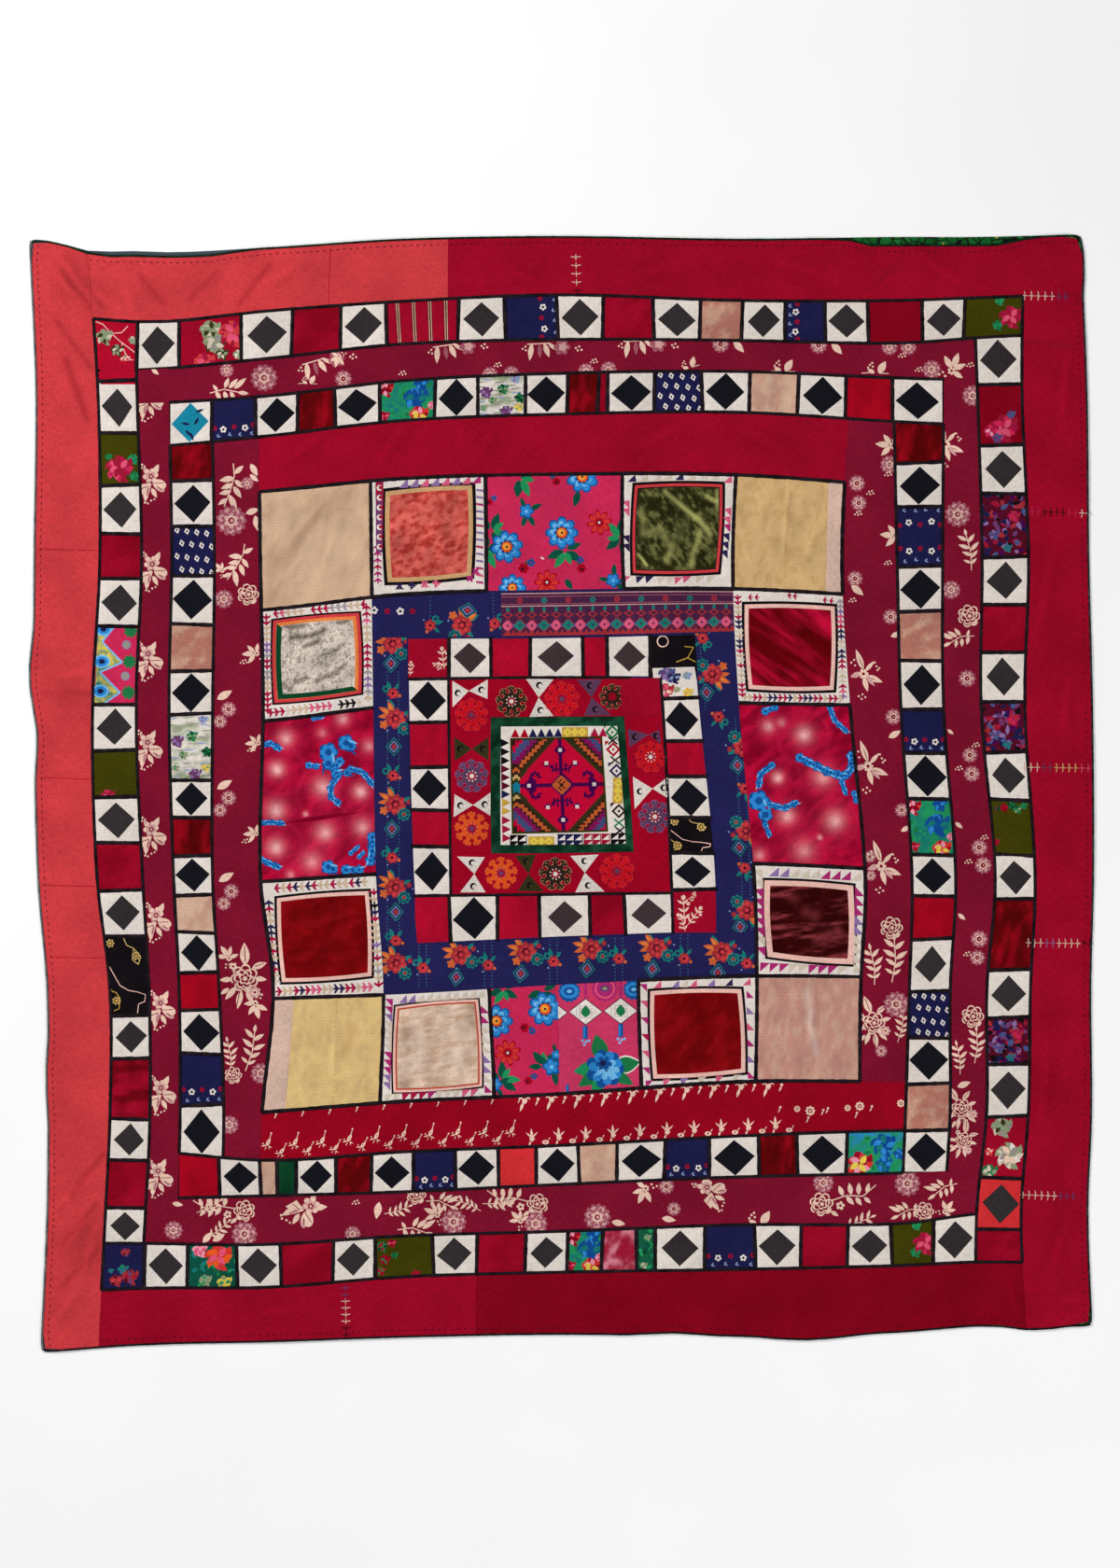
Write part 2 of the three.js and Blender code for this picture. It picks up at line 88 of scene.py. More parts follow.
def read_book(table):
    """Named sets of rows, parted by semicolons, each with its name and a colon first."""
    entries = [entry.split(":") for entry in table.split(";")]
    return {name.strip(): read_rows(rows) for name, rows in entries}


# %% [markdown]
# Each solid's upper face is a strip of triangles. An edge that only one of them uses lies on the rim, so
# chaining those edges gives the cut line of the cloth. The four corners are the points that reach furthest
# along the diagonals, and between them lie the top, right, bottom and left edges. The lines could be typed in
# again, but reading them keeps every sheet on its solid.

# %% Cut lines read from the solids
EDGE_DIP = 0.25 * MM
UPWARD = 0.5
SIDES = ("top", "right", "bottom", "left")
DIAGONALS = np.array(((-1, -1), (1, -1), (1, 1), (-1, 1)))


def cut_line(node):
    """Outline of a solid's upper face in chart units, and the height at which that face rests."""
    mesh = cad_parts[node].data
    number_of, places, edges = {}, [], set()
    for face in mesh.polygons:
        if face.normal.z < UPWARD:
            continue
        ring = []
        for index in face.vertices:
            place = tuple(round(value, 6) for value in mesh.vertices[index].co)
            if place not in number_of:
                number_of[place] = len(places)
                places.append(place)
            ring.append(number_of[place])
        edges.update(zip(ring, ring[1:] + ring[:1]))
    following = {a: b for a, b in edges if (b, a) not in edges}
    loop = [min(following)]
    while following[loop[-1]] != loop[0]:
        loop.append(following[loop[-1]])
    rim = np.array([places[index] for index in loop])
    return to_chart(rim[:, :2]), rim[:, 2].min() + EDGE_DIP


def four_sides(loop):
    """The loop's top, right, bottom and left edges, each ordered along the chart."""
    top_left, top_right, bottom_right, bottom_left = np.argmax(loop @ DIAGONALS.T, axis=0)

    def run(start, end):
        count = (end - start) % len(loop)
        return loop[(start + np.arange(count + 1)) % len(loop)]

    top = run(top_right, top_left)[::-1]
    right = run(bottom_right, top_right)[::-1]
    return top, right, run(bottom_left, bottom_right), run(top_left, bottom_left)


LINING_TOP = cut_line("lining")[1] - EDGE_DIP
LOWEST = LINING_TOP + 0.3 * MM
print("left border's cut line has", len(cut_line("border_left")[0]), "points")

# %% [markdown]
# The cover is old, washed and lies loose, so it is never quite flat. The broad folds are the ones that the
# solids have, and the cloth follows them. Narrower creases are placed where the photograph shows them, and a
# smooth random field adds the slight unevenness that hand sewing leaves everywhere. A cloth simulation could
# drape the cover too, but it would put the folds elsewhere.

# %% Folds, creases and unevenness
# x, y, heading, length and half width in chart units and degrees, rise in millimetres
FOLDS = read_rows("""
80 308 -59 100 14 4.0, 240 308 40 90 18 2.5, 150 318 62 60 16 2.0, 66 738 -8 70 16 3.0,
84 1320 72 190 15 4.0, 88 1384 48 90 14 3.0, 1128 350 84 190 18 3.0, 1132 860 88 240 18 2.5,
1126 1390 24 110 16 3.0, 846 1412 84 70 26 3.0, 1000 284 -34 130 18 2.5, 360 482 30 110 18 2.0,
456 470 48 70 16 2.0, 322 575 60 110 18 2.0, 846 548 78 90 18 1.6, 340 880 10 110 16 1.8,
1056 905 82 160 18 2.5
""")
CREASES = read_rows("""
78 294 -55 74 4 3.3, 70 306 -52 60 4 2.7, 112 320 -28 60 5 2.7, 139 322 -70 40 4 2.1, 226 297 46 60 5 2.2,
64 742 -10 60 4 2.7, 80 722 8 50 5 2.4, 70 588 3 70 3 -1.2, 68 948 2 70 3 -1.0, 80 1276 40 90 5 2.7,
82 1318 54 90 5 3.3, 88 1358 52 80 5 3.0, 96 1340 75 120 5 2.1, 70 1400 55 70 5 2.1,
1140 420 86 130 5 2.4, 1120 640 80 140 6 2.1, 1142 760 84 120 5 2.2, 1118 1160 86 150 6 2.1,
1136 1330 70 110 5 2.4, 1150 1391 8 60 5 2.4, 1085 1391 -78 60 5 2.7, 991 1388 42 50 5 2.2,
700 290 20 120 6 2.0, 860 288 -18 120 6 1.8, 1000 284 -34 110 5 2.1, 560 296 -24 90 5 2.0,
300 296 32 80 5 2.1, 300 1404 12 140 6 1.8, 640 1402 -10 150 6 1.8, 846 1410 80 60 6 2.4,
330 478 36 80 5 2.1, 420 476 52 70 5 2.2, 520 478 58 60 5 2.0, 700 470 24 110 6 1.8, 820 472 -28 90 5 2.0,
328 560 52 110 4 2.7, 352 590 70 80 4 1.8, 842 556 86 120 3 2.4, 866 590 76 70 4 1.4,
352 874 11 90 4 -2.1, 866 846 -20 110 5 1.4, 357 1124 88 110 3 2.4, 325 1126 80 90 4 1.4,
868 1100 86 100 4 2.7, 600 566 40 90 5 1.2, 606 1118 -32 100 5 1.2
""")
UNEVEN_SIZE = 60
UNEVEN_RISE = 0.8
PUCKER_SIZE = 15
PUCKER_RISE = 0.35
LATTICE_SIZE = 64
LATTICE = np.random.default_rng(11).uniform(-1, 1, (LATTICE_SIZE, LATTICE_SIZE))


def soft_noise(points, size, seed):
    """A smooth field from -1 to 1 with blobs about one size across."""
    places = np.asarray(points, float) / size
    corner = np.floor(places).astype(int)
    part = places - corner
    part = part * part * (3 - 2 * part)

    def value(step_x, step_y):
        column = (corner[:, 0] + step_x + 17 * seed) % LATTICE_SIZE
        row = (corner[:, 1] + step_y + 29 * seed) % LATTICE_SIZE
        return LATTICE[column, row]

    upper = value(0, 0) + (value(1, 0) - value(0, 0)) * part[:, 0]
    lower = value(0, 1) + (value(1, 1) - value(0, 1)) * part[:, 0]
    return upper + (lower - upper) * part[:, 1]


def swells(points, rows):
    """Height in millimetres of each fold or crease at the points, one row after another."""
    for x, y, heading, length, width, rise in rows:
        turn = math.radians(heading)
        dx = points[:, 0] - x
        dy = points[:, 1] - y
        along = dx * math.cos(turn) - dy * math.sin(turn)
        aside = dx * math.sin(turn) + dy * math.cos(turn)
        run = np.clip(1 - np.abs(2 * along / length), 0, 1)
        yield rise * run * run * (3 - 2 * run) * np.exp(-((aside / width) ** 2))


def relief(points):
    """Height of the cloth above its flat rest at chart points, in metres."""
    points = np.asarray(points, float)
    height = np.max(list(swells(points, FOLDS)), axis=0)
    height += np.sum(list(swells(points, CREASES)), axis=0)
    height += UNEVEN_RISE * soft_noise(points, UNEVEN_SIZE, 1)
    height += PUCKER_RISE * soft_noise(points, PUCKER_SIZE, 2)
    return height * MM


print("folds and creases:", len(FOLDS), len(CREASES))

# %% [markdown]
# The colours of the cover come from a dye bath or a printing block, so the colours have names here and
# the patches share them, as cloth from one bolt would. A few stand for painted shade and light instead: the
# red along the border's sharp creases and the shades and lights stroked on creases and pile. They are written
# as ordinary screen colours and turned into linear light once.

# %% Dyes and painted shades
DYES_AND_SHADES = dict(row.split() for row in """
coral c4393e, crimson 950824, dark_red 7f0419, bright_red a0061c, poppy c9302c, crease_red 7c0f1c,
red_strip 8e051c, star_red 9b0421, patch_red c80a36, rust b0402c, brown 33201a, burgundy 78102a,
haze 985260, pale_haze c79693, cream_pink e0bdaa, maroon 520b22, white dad0c8, charcoal 302b2c,
blue_black 14141b, black 120d11, tape_wear 2c2328, grey 8d8580, slate 3f4c52, beige cba98b,
plush_shade b8957a, plush_pink c9a58e, rose_plush b88477, dusty_rose a86c5e, yellow cca876,
pale_yellow d5b87a, yellow_shade b8935f, lilac ccac9c, tan c2996b, pale_tan c9b9a8, skin e2b4a8,
pale_gold c8a86a, gold bd9642, lemon d8bf4a, apricot dd7a3c, orange dc5420, marigold e89a3c, navy 1b1b44,
frame_blue 211f4e, pale_blue 8494b8, slate_blue 46507f, turquoise 187e98, teal 17706a, sky 2b7fc4,
deep_sky 124a8c, light_sky 6fb2e0, olive 3c3a06, olive_dark 35321a, sage 83906f, leaf_green 1c6f40,
leaf_shade 245c40, print_green 208a54, bottle_green 0b3d24, velvet_green 082a1a, royal 0f4488,
wheel_red c4101e, lining_green 0d4a1c, lining_leaf 1f6a30, pink c02650, deep_pink c0345c,
rose_pink d8506f, soft_pink e08fa2, glow ffccc8, bubble_red b40a34, magenta a32668, purple 693868,
violet 86689a, plum 861458, plum_dark 45084a, coral_velvet a4302b, coral_light da6a5f,
olive_velvet 22210a, olive_light b5b56e, silver_velvet d2c3b6, silver_dark 34261a, red_velvet 6c0306,
red_velvet_light 8a0a12, cream_velvet bd9c84, cream_light dac3b0, thread_red a01440, thread_pink cb5476,
thread_grey 968c92, thread_beige bfa68d, thread_navy 2a2148, bubble_pink cc2450, bubble_dark 7c0222,
garden_green 0c4c3c, frame_plum 46203f, ring_red a80a28, tomato c92d31, rose_red 981632,
velvet_red 560305, brick 9c2c32, amber c45e30, brown_grey 3c2f32, pine 12543a, dull_purple 5e3a58,
crimson_velvet 5e0106, crimson_light b00a30, maroon_velvet 300304, maroon_light 8a343a
""".split(","))


def linear(name):
    """A named colour, a dye or a painted shade, in linear light."""
    screen = np.array([int(DYES_AND_SHADES[name][k:k + 2], 16) for k in (0, 2, 4)]) / 255
    return np.where(screen > 0.04045, ((screen + 0.055) / 1.055) ** 2.4, screen / 12.92)


print("dyes:", len(DYES_AND_SHADES))

# %% [markdown]
# The cloths differ more in their surface than in their colour. Plain cottons and linens show slubs, which
# are thicker places in single threads, along and across the weave. Velvets and plushes have a pile that
# catches light in patches and hides the weave. The node materials below take the colour, dyes with painted
# light and shade of creases and pile in it, from the sheet's "Dye" attribute and add those features
# on the "Cut" map, which is the cloth's own length and width in metres. A picture of cloth could be laid on
# instead, but noise and waves stay sharp close up and need no file.

# %% Finish materials
FULL_TURN = 2 * math.pi
PILE_SHEEN = 0.04
PILE_SHEEN_ROUGH = 0.35
SPECULAR = 0.02


def add(tree, kind, inputs=None, **settings):
    """Adds a node, sets its properties, and fills its inputs with values or links."""
    made = tree.nodes.new(kind)
    for name, value in settings.items():
        setattr(made, name, value)
    for name, value in (inputs or {}).items():
        if isinstance(value, bpy.types.NodeSocket):
            tree.links.new(value, made.inputs[name])
        else:
            made.inputs[name].default_value = value
    return made


def math_node(tree, operation, first, second=0.0):
    return add(tree, "ShaderNodeMath", {0: first, 1: second}, operation=operation).outputs[0]


def spread(tree, value, low, high, to_low, to_high):
    """Stretches a noise's usual range to the wanted one."""
    inputs = {"Value": value, "From Min": low, "From Max": high, "To Min": to_low, "To Max": to_high}
    return add(tree, "ShaderNodeMapRange", inputs).outputs["Result"]


def noise(tree, vector, scale, detail=2.0, stretch=(1, 1, 1)):
    placed = add(tree, "ShaderNodeMapping", {"Vector": vector, "Scale": stretch}).outputs["Vector"]
    inputs = {"Vector": placed, "Scale": scale, "Detail": detail}
    return add(tree, "ShaderNodeTexNoise", inputs).outputs["Fac"]


def mix(tree, share, first, second):
    """A mix of two colours, each given by a dye's name or an output."""
    first, second = [(*linear(dye), 1) if isinstance(dye, str) else dye for dye in (first, second)]
    inputs = {"Factor": share, "A": first, "B": second}
    return add(tree, "ShaderNodeMix", inputs, data_type="RGBA").outputs["Result"]


def start_material(name):
    material = bpy.data.materials.new(name)
    material.use_nodes = True
    material.node_tree.nodes.clear()
    return material, material.node_tree


def close_material(tree, colour, normal, roughness, sheen=0.0, sheen_rough=0.5):
    shader = add(tree, "ShaderNodeBsdfPrincipled", {
        "Base Color": colour,
        "Roughness": roughness,
        "Sheen Weight": sheen,
        "Sheen Roughness": sheen_rough,
        "Specular IOR Level": SPECULAR,
        "Normal": normal,
    })
    add(tree, "ShaderNodeOutputMaterial", {"Surface": shader.outputs["BSDF"]})


def woven(name, yarn, slub, fading, rough, relief_height=0.4):
    """A plain weave: slubs both ways, slow fading, and a fine over-and-under bump."""
    material, tree = start_material(name)
    dye = add(tree, "ShaderNodeAttribute", attribute_name="Dye").outputs["Color"]
    cut = add(tree, "ShaderNodeUVMap", uv_map="Cut").outputs["UV"]
    across = noise(tree, cut, 1.0, 2.0, (1 / (2.2 * yarn), 1 / (8 * yarn), 1))
    down = noise(tree, cut, 1.0, 2.0, (1 / (10 * yarn), 1 / (2.0 * yarn), 1))
    slubs = math_node(tree, "ADD", across, down)
    tone = spread(tree, slubs, 0.62, 1.38, 1 - slub, 1 + slub)
    worn = spread(tree, noise(tree, cut, 11.0, 4.0), 0.32, 0.68, 1 - fading, 1 + fading)
    shade = math_node(tree, "MULTIPLY", tone, worn)
    colour = add(tree, "ShaderNodeVectorMath", {0: dye, "Scale": shade}, operation="SCALE").outputs["Vector"]
    parts = add(tree, "ShaderNodeSeparateXYZ", {"Vector": cut}).outputs
    waves = [
        math_node(tree, "SINE", math_node(tree, "MULTIPLY", parts[axis], FULL_TURN / (2 * yarn)))
        for axis in ("X", "Y")
    ]
    weave = math_node(tree, "MULTIPLY", waves[0], waves[1])
    height = math_node(tree, "ADD", weave, math_node(tree, "MULTIPLY", slubs, 3.0))
    bump = add(tree, "ShaderNodeBump", {"Strength": relief_height, "Distance": 0.3 * yarn, "Height": height})
    roughness = spread(tree, slubs, 0.62, 1.38, rough + 0.05, rough - 0.08)
    close_material(tree, colour, bump.outputs["Normal"], roughness)
    return material


def piled(name, tuft, crush, fading, rough, rib=0.0):
    """A cut pile: tufts, crushed patches, and for plush the faint ribs of the ground weave."""
    material, tree = start_material(name)
    dye = add(tree, "ShaderNodeAttribute", attribute_name="Dye").outputs["Color"]
    cut = add(tree, "ShaderNodeUVMap", uv_map="Cut").outputs["UV"]
    tufts = noise(tree, cut, 1 / tuft, 2.0)
    flattened = noise(tree, cut, 34.0, 5.0, (1, 0.6, 1))
    tone = spread(tree, tufts, 0.3, 0.7, 1 - crush, 1 + crush)
    lie = spread(tree, flattened, 0.3, 0.7, 1 - fading, 1 + fading)
    shade = math_node(tree, "MULTIPLY", tone, lie)
    down = add(tree, "ShaderNodeSeparateXYZ", {"Vector": cut}).outputs["Y"]
    ribs = math_node(tree, "SINE", math_node(tree, "MULTIPLY", down, FULL_TURN / (3 * tuft)))
    ribbed = math_node(tree, "ADD", 1.0, math_node(tree, "MULTIPLY", ribs, rib))
    shade = math_node(tree, "MULTIPLY", shade, ribbed)
    colour = add(tree, "ShaderNodeVectorMath", {0: dye, "Scale": shade}, operation="SCALE").outputs["Vector"]
    height = math_node(tree, "ADD", tufts, math_node(tree, "MULTIPLY", flattened, 2.0))
    bump = add(tree, "ShaderNodeBump", {"Strength": 0.5, "Distance": tuft, "Height": height})
    roughness = spread(tree, flattened, 0.3, 0.7, rough + 0.06, rough - 0.1)
    close_material(tree, colour, bump.outputs["Normal"], roughness, PILE_SHEEN, PILE_SHEEN_ROUGH)
    return material


FINISHES = {
    "cotton": woven("plain_cotton", yarn=1.2 * MM, slub=0.2, fading=0.12, rough=0.82),
    "linen": woven("bleached_linen", yarn=1.5 * MM, slub=0.15, fading=0.08, rough=0.86),
    "thread": woven("stitched_ground", yarn=0.9 * MM, slub=0.26, fading=0.14, rough=0.72, relief_height=0.7),
    "velvet": piled("short_velvet", tuft=1.6 * MM, crush=0.32, fading=0.3, rough=0.72),
    "plush": piled("worn_plush", tuft=1.8 * MM, crush=0.16, fading=0.12, rough=0.82, rib=0.03),
}
FINISH_ORDER = list(FINISHES)
print("finishes:", FINISH_ORDER)

# %% [markdown]
# A strip of the cover is a sheet with shapes laid on it in order: first its ground, then the patches, then
# what is printed or stitched on them. All the outlines go into one triangulation, so the shapes share their
# edges and stay one thin cloth, and each triangle takes the dye of the last shape that holds it. Where two
# cloths are joined the sheet dips into the seam. Every patch could be a mesh of its own, but then hundreds of
# small edges would have to meet without a gap.

# %% Laying and sewing a sheet
SEAM_DEPTH = 0.7 * MM
SEAM_WIDTH = 2.4
SEAM_STEP = 1.5
MERGE_WITHIN = 0.01
BAKE_MARGIN = 0.03
panels = {}


class Panel:
    """One strip or block of the cover and the shapes laid on it."""

    def __init__(self, node, dye, finish="cotton", pitch=3.0):
        self.node = node
        self.pitch = pitch
        self.loop, self.rest = cut_line(node)
        self.top, self.right, self.bottom, self.left = four_sides(self.loop)
        width, height = np.ptp(self.loop, axis=0)
        self.lies_across = width >= height
        self.layers = []
        self.lay(self.loop, dye, finish, seam=True)
        panels[node] = self

    def lay(self, shape, dye, finish=None, within=0, seam=False, turn=0.0, mottle=None, glows=()):
        """Adds a shape on top of the others, shown only inside the layer that within names."""
        shape = np.asarray(shape, float)
        ahead = np.roll(shape, -1, axis=0)
        if np.sum(shape[:, 0] * ahead[:, 1] - shape[:, 1] * ahead[:, 0]) > 0:
            shape = shape[::-1]
        self.layers.append(SimpleNamespace(
            shape=shape, dye=linear(dye), finish=finish, within=within, seam=seam, turn=turn,
            mottle=mottle, glows=glows))
        return len(self.layers) - 1

    def reaches(self, shape):
        """Whether a shape comes near this panel at all."""
        low, high = self.loop.min(axis=0), self.loop.max(axis=0)
        return np.all(shape.max(axis=0) > low) and np.all(shape.min(axis=0) < high)

    def edges_at(self, along):
        """The strip's two long edges at a place along it: top and bottom, or left and right."""
        if self.lies_across:
            near, far, axis = self.top, self.bottom, 0
        else:
            near, far, axis = self.left, self.right, 1
        return [np.interp(along, side[:, axis], side[:, 1 - axis]) for side in (near, far)]

    def place(self, along, across):
        """Chart point at a place along the strip and 0 to 1 across it."""
        near, far = self.edges_at(along)
        aside = near + (far - near) * across
        return np.array((along, aside) if self.lies_across else (aside, along))


def polygon_area(loop):
    ahead = np.roll(loop, -1, axis=0)
    return abs(np.sum(loop[:, 0] * ahead[:, 1] - loop[:, 1] * ahead[:, 0])) / 2


def walk(loop, step, closed=True):
    """Points along a polyline at about equal steps."""
    loop = np.asarray(loop, float)
    ends = np.vstack((loop, loop[:1])) if closed else loop
    lengths = np.hypot(*np.diff(ends, axis=0).T)
    travelled = np.concatenate(((0,), np.cumsum(lengths)))
    count = max(2, int(round(travelled[-1] / step)))
    wanted = np.linspace(0, travelled[-1], count, endpoint=not closed)
    return np.stack([np.interp(wanted, travelled, ends[:, axis]) for axis in (0, 1)], axis=1)


def seam_dip(panel, points):
    """How far the cloth dips at points near the panel's seams, in metres."""
    seams = np.vstack([walk(layer.shape, SEAM_STEP) for layer in panel.layers if layer.seam])
    tree = KDTree(len(seams))
    for index, (x, y) in enumerate(seams):
        tree.insert((x, y, 0), index)
    tree.balance()
    distance = np.array([tree.find((x, y, 0))[2] for x, y in points])
    return SEAM_DEPTH * np.exp(-((distance / SEAM_WIDTH) ** 2))


# creases are also marked in the colour: a painted highlight along each crest and painted shade at its feet,
# for the light and shade of the fold
CREST_FADE_AND_LIGHT = 0.1
FOOT_SHADE = 0.065
FOOT_SPREAD = 2.4
CREASE_FEET = [
    (x, y, heading, length, FOOT_SPREAD * width, rise) for x, y, heading, length, width, rise in CREASES]


def layer_colour(layer, points):
    """The layer's colour at chart points, with its mottling, which on pile is painted sheen, and its soft
    spots: printed glows on the bubble cloths, painted light and shade on creases and pile elsewhere, and a
    few worn marks.
    """
    colour = np.repeat(layer.dye[None, :], len(points), axis=0)
    if layer.mottle:
        second, size, stretch, heading, amount, power = layer.mottle
        turn = math.radians(heading)
        along = points[:, 0] * math.cos(turn) - points[:, 1] * math.sin(turn)
        aside = points[:, 0] * math.sin(turn) + points[:, 1] * math.cos(turn)
        laid = np.stack((along / stretch, aside), axis=1)
        cloud = soft_noise(laid, size, 3) + 0.5 * soft_noise(laid, size / 2.1, 4)
        cloud += 0.35 * soft_noise(laid, size / 4.7, 5)
        share = np.clip(0.5 + 0.8 * cloud, 0, 1)[:, None] ** power * amount
        colour = colour + (linear(second) - colour) * share
    for x, y, reach, soft, strength, second in layer.glows:
        distance = np.hypot(points[:, 0] - x, points[:, 1] - y)
        share = strength * np.exp(-(((distance - reach) / soft) ** 2))[:, None]
        colour = colour + (linear(second) - colour) * share
    return colour


def wear_and_painted_light(points):
    """How much lighter or darker the cloth is at chart points: a painted highlight, with some fading, on a
    crease's crest and painted shade at its foot.
    """
    crests = np.sum(list(swells(points, CREASES)), axis=0)
    feet = np.sum(list(swells(points, CREASE_FEET)), axis=0)
    return 1 + CREST_FADE_AND_LIGHT * crests - FOOT_SHADE * feet


def bake_map(places, centres):
    """A flat map of the sheet in which a long strip is cut into rows, one above the other."""
    low = places.reshape(-1, 2).min(axis=0)
    size = np.ptp(places.reshape(-1, 2), axis=0)
    long_axis = int(size[1] > size[0])
    rows = max(1, round(math.sqrt(size[long_axis] / size[1 - long_axis])))
    row_length = size[long_axis] / rows
    row = np.clip((centres[:, long_axis] - low[long_axis]) // row_length, 0, rows - 1)
    along = (places[..., long_axis] - low[long_axis] - row[:, None] * row_length) / row_length
    aside = (places[..., 1 - long_axis] - low[1 - long_axis]) / size[1 - long_axis]
    fit = 1 - 2 * BAKE_MARGIN
    u = BAKE_MARGIN + fit * along
    v = (row[:, None] + BAKE_MARGIN + fit * aside) / rows
    return np.stack((u, v), axis=-1)


def finish_piece(name, mesh, node=None):
    """Links a piece at the origin, rides it on the root and hides the solid that it stands for."""
    piece = bpy.data.objects.new(name, mesh)
    bpy.context.scene.collection.objects.link(piece)
    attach(piece, "root")
    if node:
        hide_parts(node)
    return piece


def sew(panel):
    """Turns the panel's layers into one sheet of cloth that stands for its solid."""
    layers = panel.layers
    outlines = [layer.shape for layer in layers]
    starts = np.cumsum([0] + [len(shape) for shape in outlines])
    faces = [list(range(first, last)) for first, last in zip(starts, starts[1:])]
    low = panel.loop.min(axis=0)
    high = panel.loop.max(axis=0)
    columns = np.arange(low[0] + panel.pitch / 2, high[0], panel.pitch)
    lines = np.arange(low[1] + panel.pitch / 2, high[1], panel.pitch)
    grid = np.stack(np.meshgrid(columns, lines), axis=-1)
    grid[1::2, :, 0] += panel.pitch / 2
    points = np.vstack(outlines + [grid.reshape(-1, 2)])
    flat = [Vector((x, -y)) for x, y in points]
    corners, _, triangles, _, _, owners = delaunay_2d_cdt(flat, [], faces, 1, MERGE_WITHIN, True)

    kept, shown, finishes = [], [], []
    for triangle, inside in zip(triangles, owners):
        if 0 not in inside:
            continue
        seen = [index for index in inside if layers[index].within in inside]
        kept.append(triangle)
        shown.append(max(seen))
        finishes.append(max(index for index in seen if layers[index].finish))
    used, kept = np.unique(np.array(kept), return_inverse=True)
    kept = kept.reshape(-1, 3)
    shown = np.array(shown)
    finishes = np.array(finishes)
    chart = np.array([(corners[index].x, -corners[index].y) for index in used])
    places = to_frame(chart)
    height = np.maximum(panel.rest + relief(chart) - seam_dip(panel, chart), LOWEST)

    mesh = bpy.data.meshes.new(panel.node + "_cloth")
    mesh.from_pydata(np.column_stack((places, height)).tolist(), [], kept.tolist())
    mesh.polygons.foreach_set("use_smooth", np.ones(len(kept), bool))
    for finish in FINISH_ORDER:
        mesh.materials.append(FINISHES[finish])
    order = np.array([FINISH_ORDER.index(layer.finish) if layer.finish else 0 for layer in layers])
    mesh.polygons.foreach_set("material_index", order[finishes])

    colour = np.ones((len(kept), 3, 4))
    for index in np.unique(shown):
        own = shown == index
        colour[own, :, :3] = layer_colour(layers[index], chart[kept[own]].reshape(-1, 2)).reshape(-1, 3, 3)
    # the painted light and shade of the creases lightens or darkens every corner's colour
    colour[..., :3] *= wear_and_painted_light(chart)[kept][..., None]
    mesh.color_attributes.new("Dye", "FLOAT_COLOR", "CORNER").data.foreach_set("color", colour.ravel())
    turns = np.radians([layer.turn for layer in layers])[finishes][:, None]
    at = places[kept]
    cut = np.stack((
        at[..., 0] * np.cos(turns) - at[..., 1] * np.sin(turns),
        at[..., 0] * np.sin(turns) + at[..., 1] * np.cos(turns)), axis=-1)
    mesh.uv_layers.new(name="Cut").data.foreach_set("uv", cut.ravel())
    mesh.uv_layers.new(name="OFBake").data.foreach_set("uv", bake_map(at, at.mean(axis=1)).ravel())
    mesh.update()

    piece = finish_piece(panel.node + "_cloth", mesh, panel.node)
    return piece


print("a sheet dips", SEAM_DEPTH, "m at a seam")

# %% [markdown]
# Prints and embroidery are charted as small motifs: lists of simple marks such as leaves, discs and petals,
# each with its ink. A motif is stamped where it is wanted, turned, mirrored or scaled, just as a printing
# block is. The flowers here are ordinary ones in the colours of such cloths. As cut shapes they keep sharp
# edges at any distance.

# %% Marks and stamps
def turned(shape, x, y, heading):
    """A shape turned by a heading round its own middle and moved to a chart point."""
    turn = math.radians(heading)
    c, s = math.cos(turn), math.sin(turn)
    return np.stack((x + shape[:, 0] * c + shape[:, 1] * s, y - shape[:, 0] * s + shape[:, 1] * c), axis=1)


def disc(x, y, radius, count=10):
    angles = np.linspace(0, FULL_TURN, count, endpoint=False)
    return np.stack((x + radius * np.cos(angles), y + radius * np.sin(angles)), axis=1)


def oval(x, y, long, wide, heading, count=12):
    return turned(disc(0, 0, 1, count) * (long, wide), x, y, heading)


def petals(x, y, radius, lobes, depth=0.35, start=0.0):
    angles = np.linspace(0, FULL_TURN, lobes * 6, endpoint=False)
    reach = radius * (1 - depth + depth * np.abs(np.cos(lobes * angles / 2)) ** 0.7)
    angles = angles + math.radians(start)
    return np.stack((x + reach * np.cos(angles), y - reach * np.sin(angles)), axis=1)


def leaf(x, y, length, width, heading):
    steps = np.linspace(0, 1, 7)
    half = width / 2 * np.sin(np.pi * steps ** 0.85)
    shape = np.vstack((
        np.stack((steps * length, half), axis=1),
        np.stack((steps * length, -half), axis=1)[-2:0:-1]))
    return turned(shape, x, y, heading)


def bar(x0, y0, x1, y1, width):
    way = np.array((x1 - x0, y1 - y0), float)
    aside = np.array((-way[1], way[0])) / np.hypot(*way) * width / 2
    start, end = np.array((x0, y0)), np.array((x1, y1))
    return np.array((start + aside, end + aside, end - aside, start - aside))


def lozenge(x, y, half_width, half_height):
    points = ((x, y - half_height), (x + half_width, y), (x, y + half_height), (x - half_width, y))
    return np.array(points, float)


def corners_of(*values):
    return np.array(values, float).reshape(-1, 2)


SHAPES = {
    "disc": disc, "oval": oval, "petals": petals, "leaf": leaf, "bar": bar, "lozenge": lozenge,
    "corners": corners_of,
}


# inks that the tables name by a letter
INK_LETTERS = {"C": "cream_pink", "H": "haze", "P": "pale_haze", "G": "burgundy"}


def stamp(panel, marks, x, y, size=1.0, turn=0.0, mirror=False, within=0, inks=INK_LETTERS):
    """Lays a motif's marks on a panel around the chart point x, y."""
    for kind, ink, *numbers in marks:
        shape = SHAPES[kind](*numbers) * size
        if mirror:
            shape = shape * (-1, 1)
        placed = turned(shape, x, y, turn)
        if panel.reaches(placed):
            panel.lay(placed, inks.get(ink, ink), within=within)


print("marks:", sorted(SHAPES))
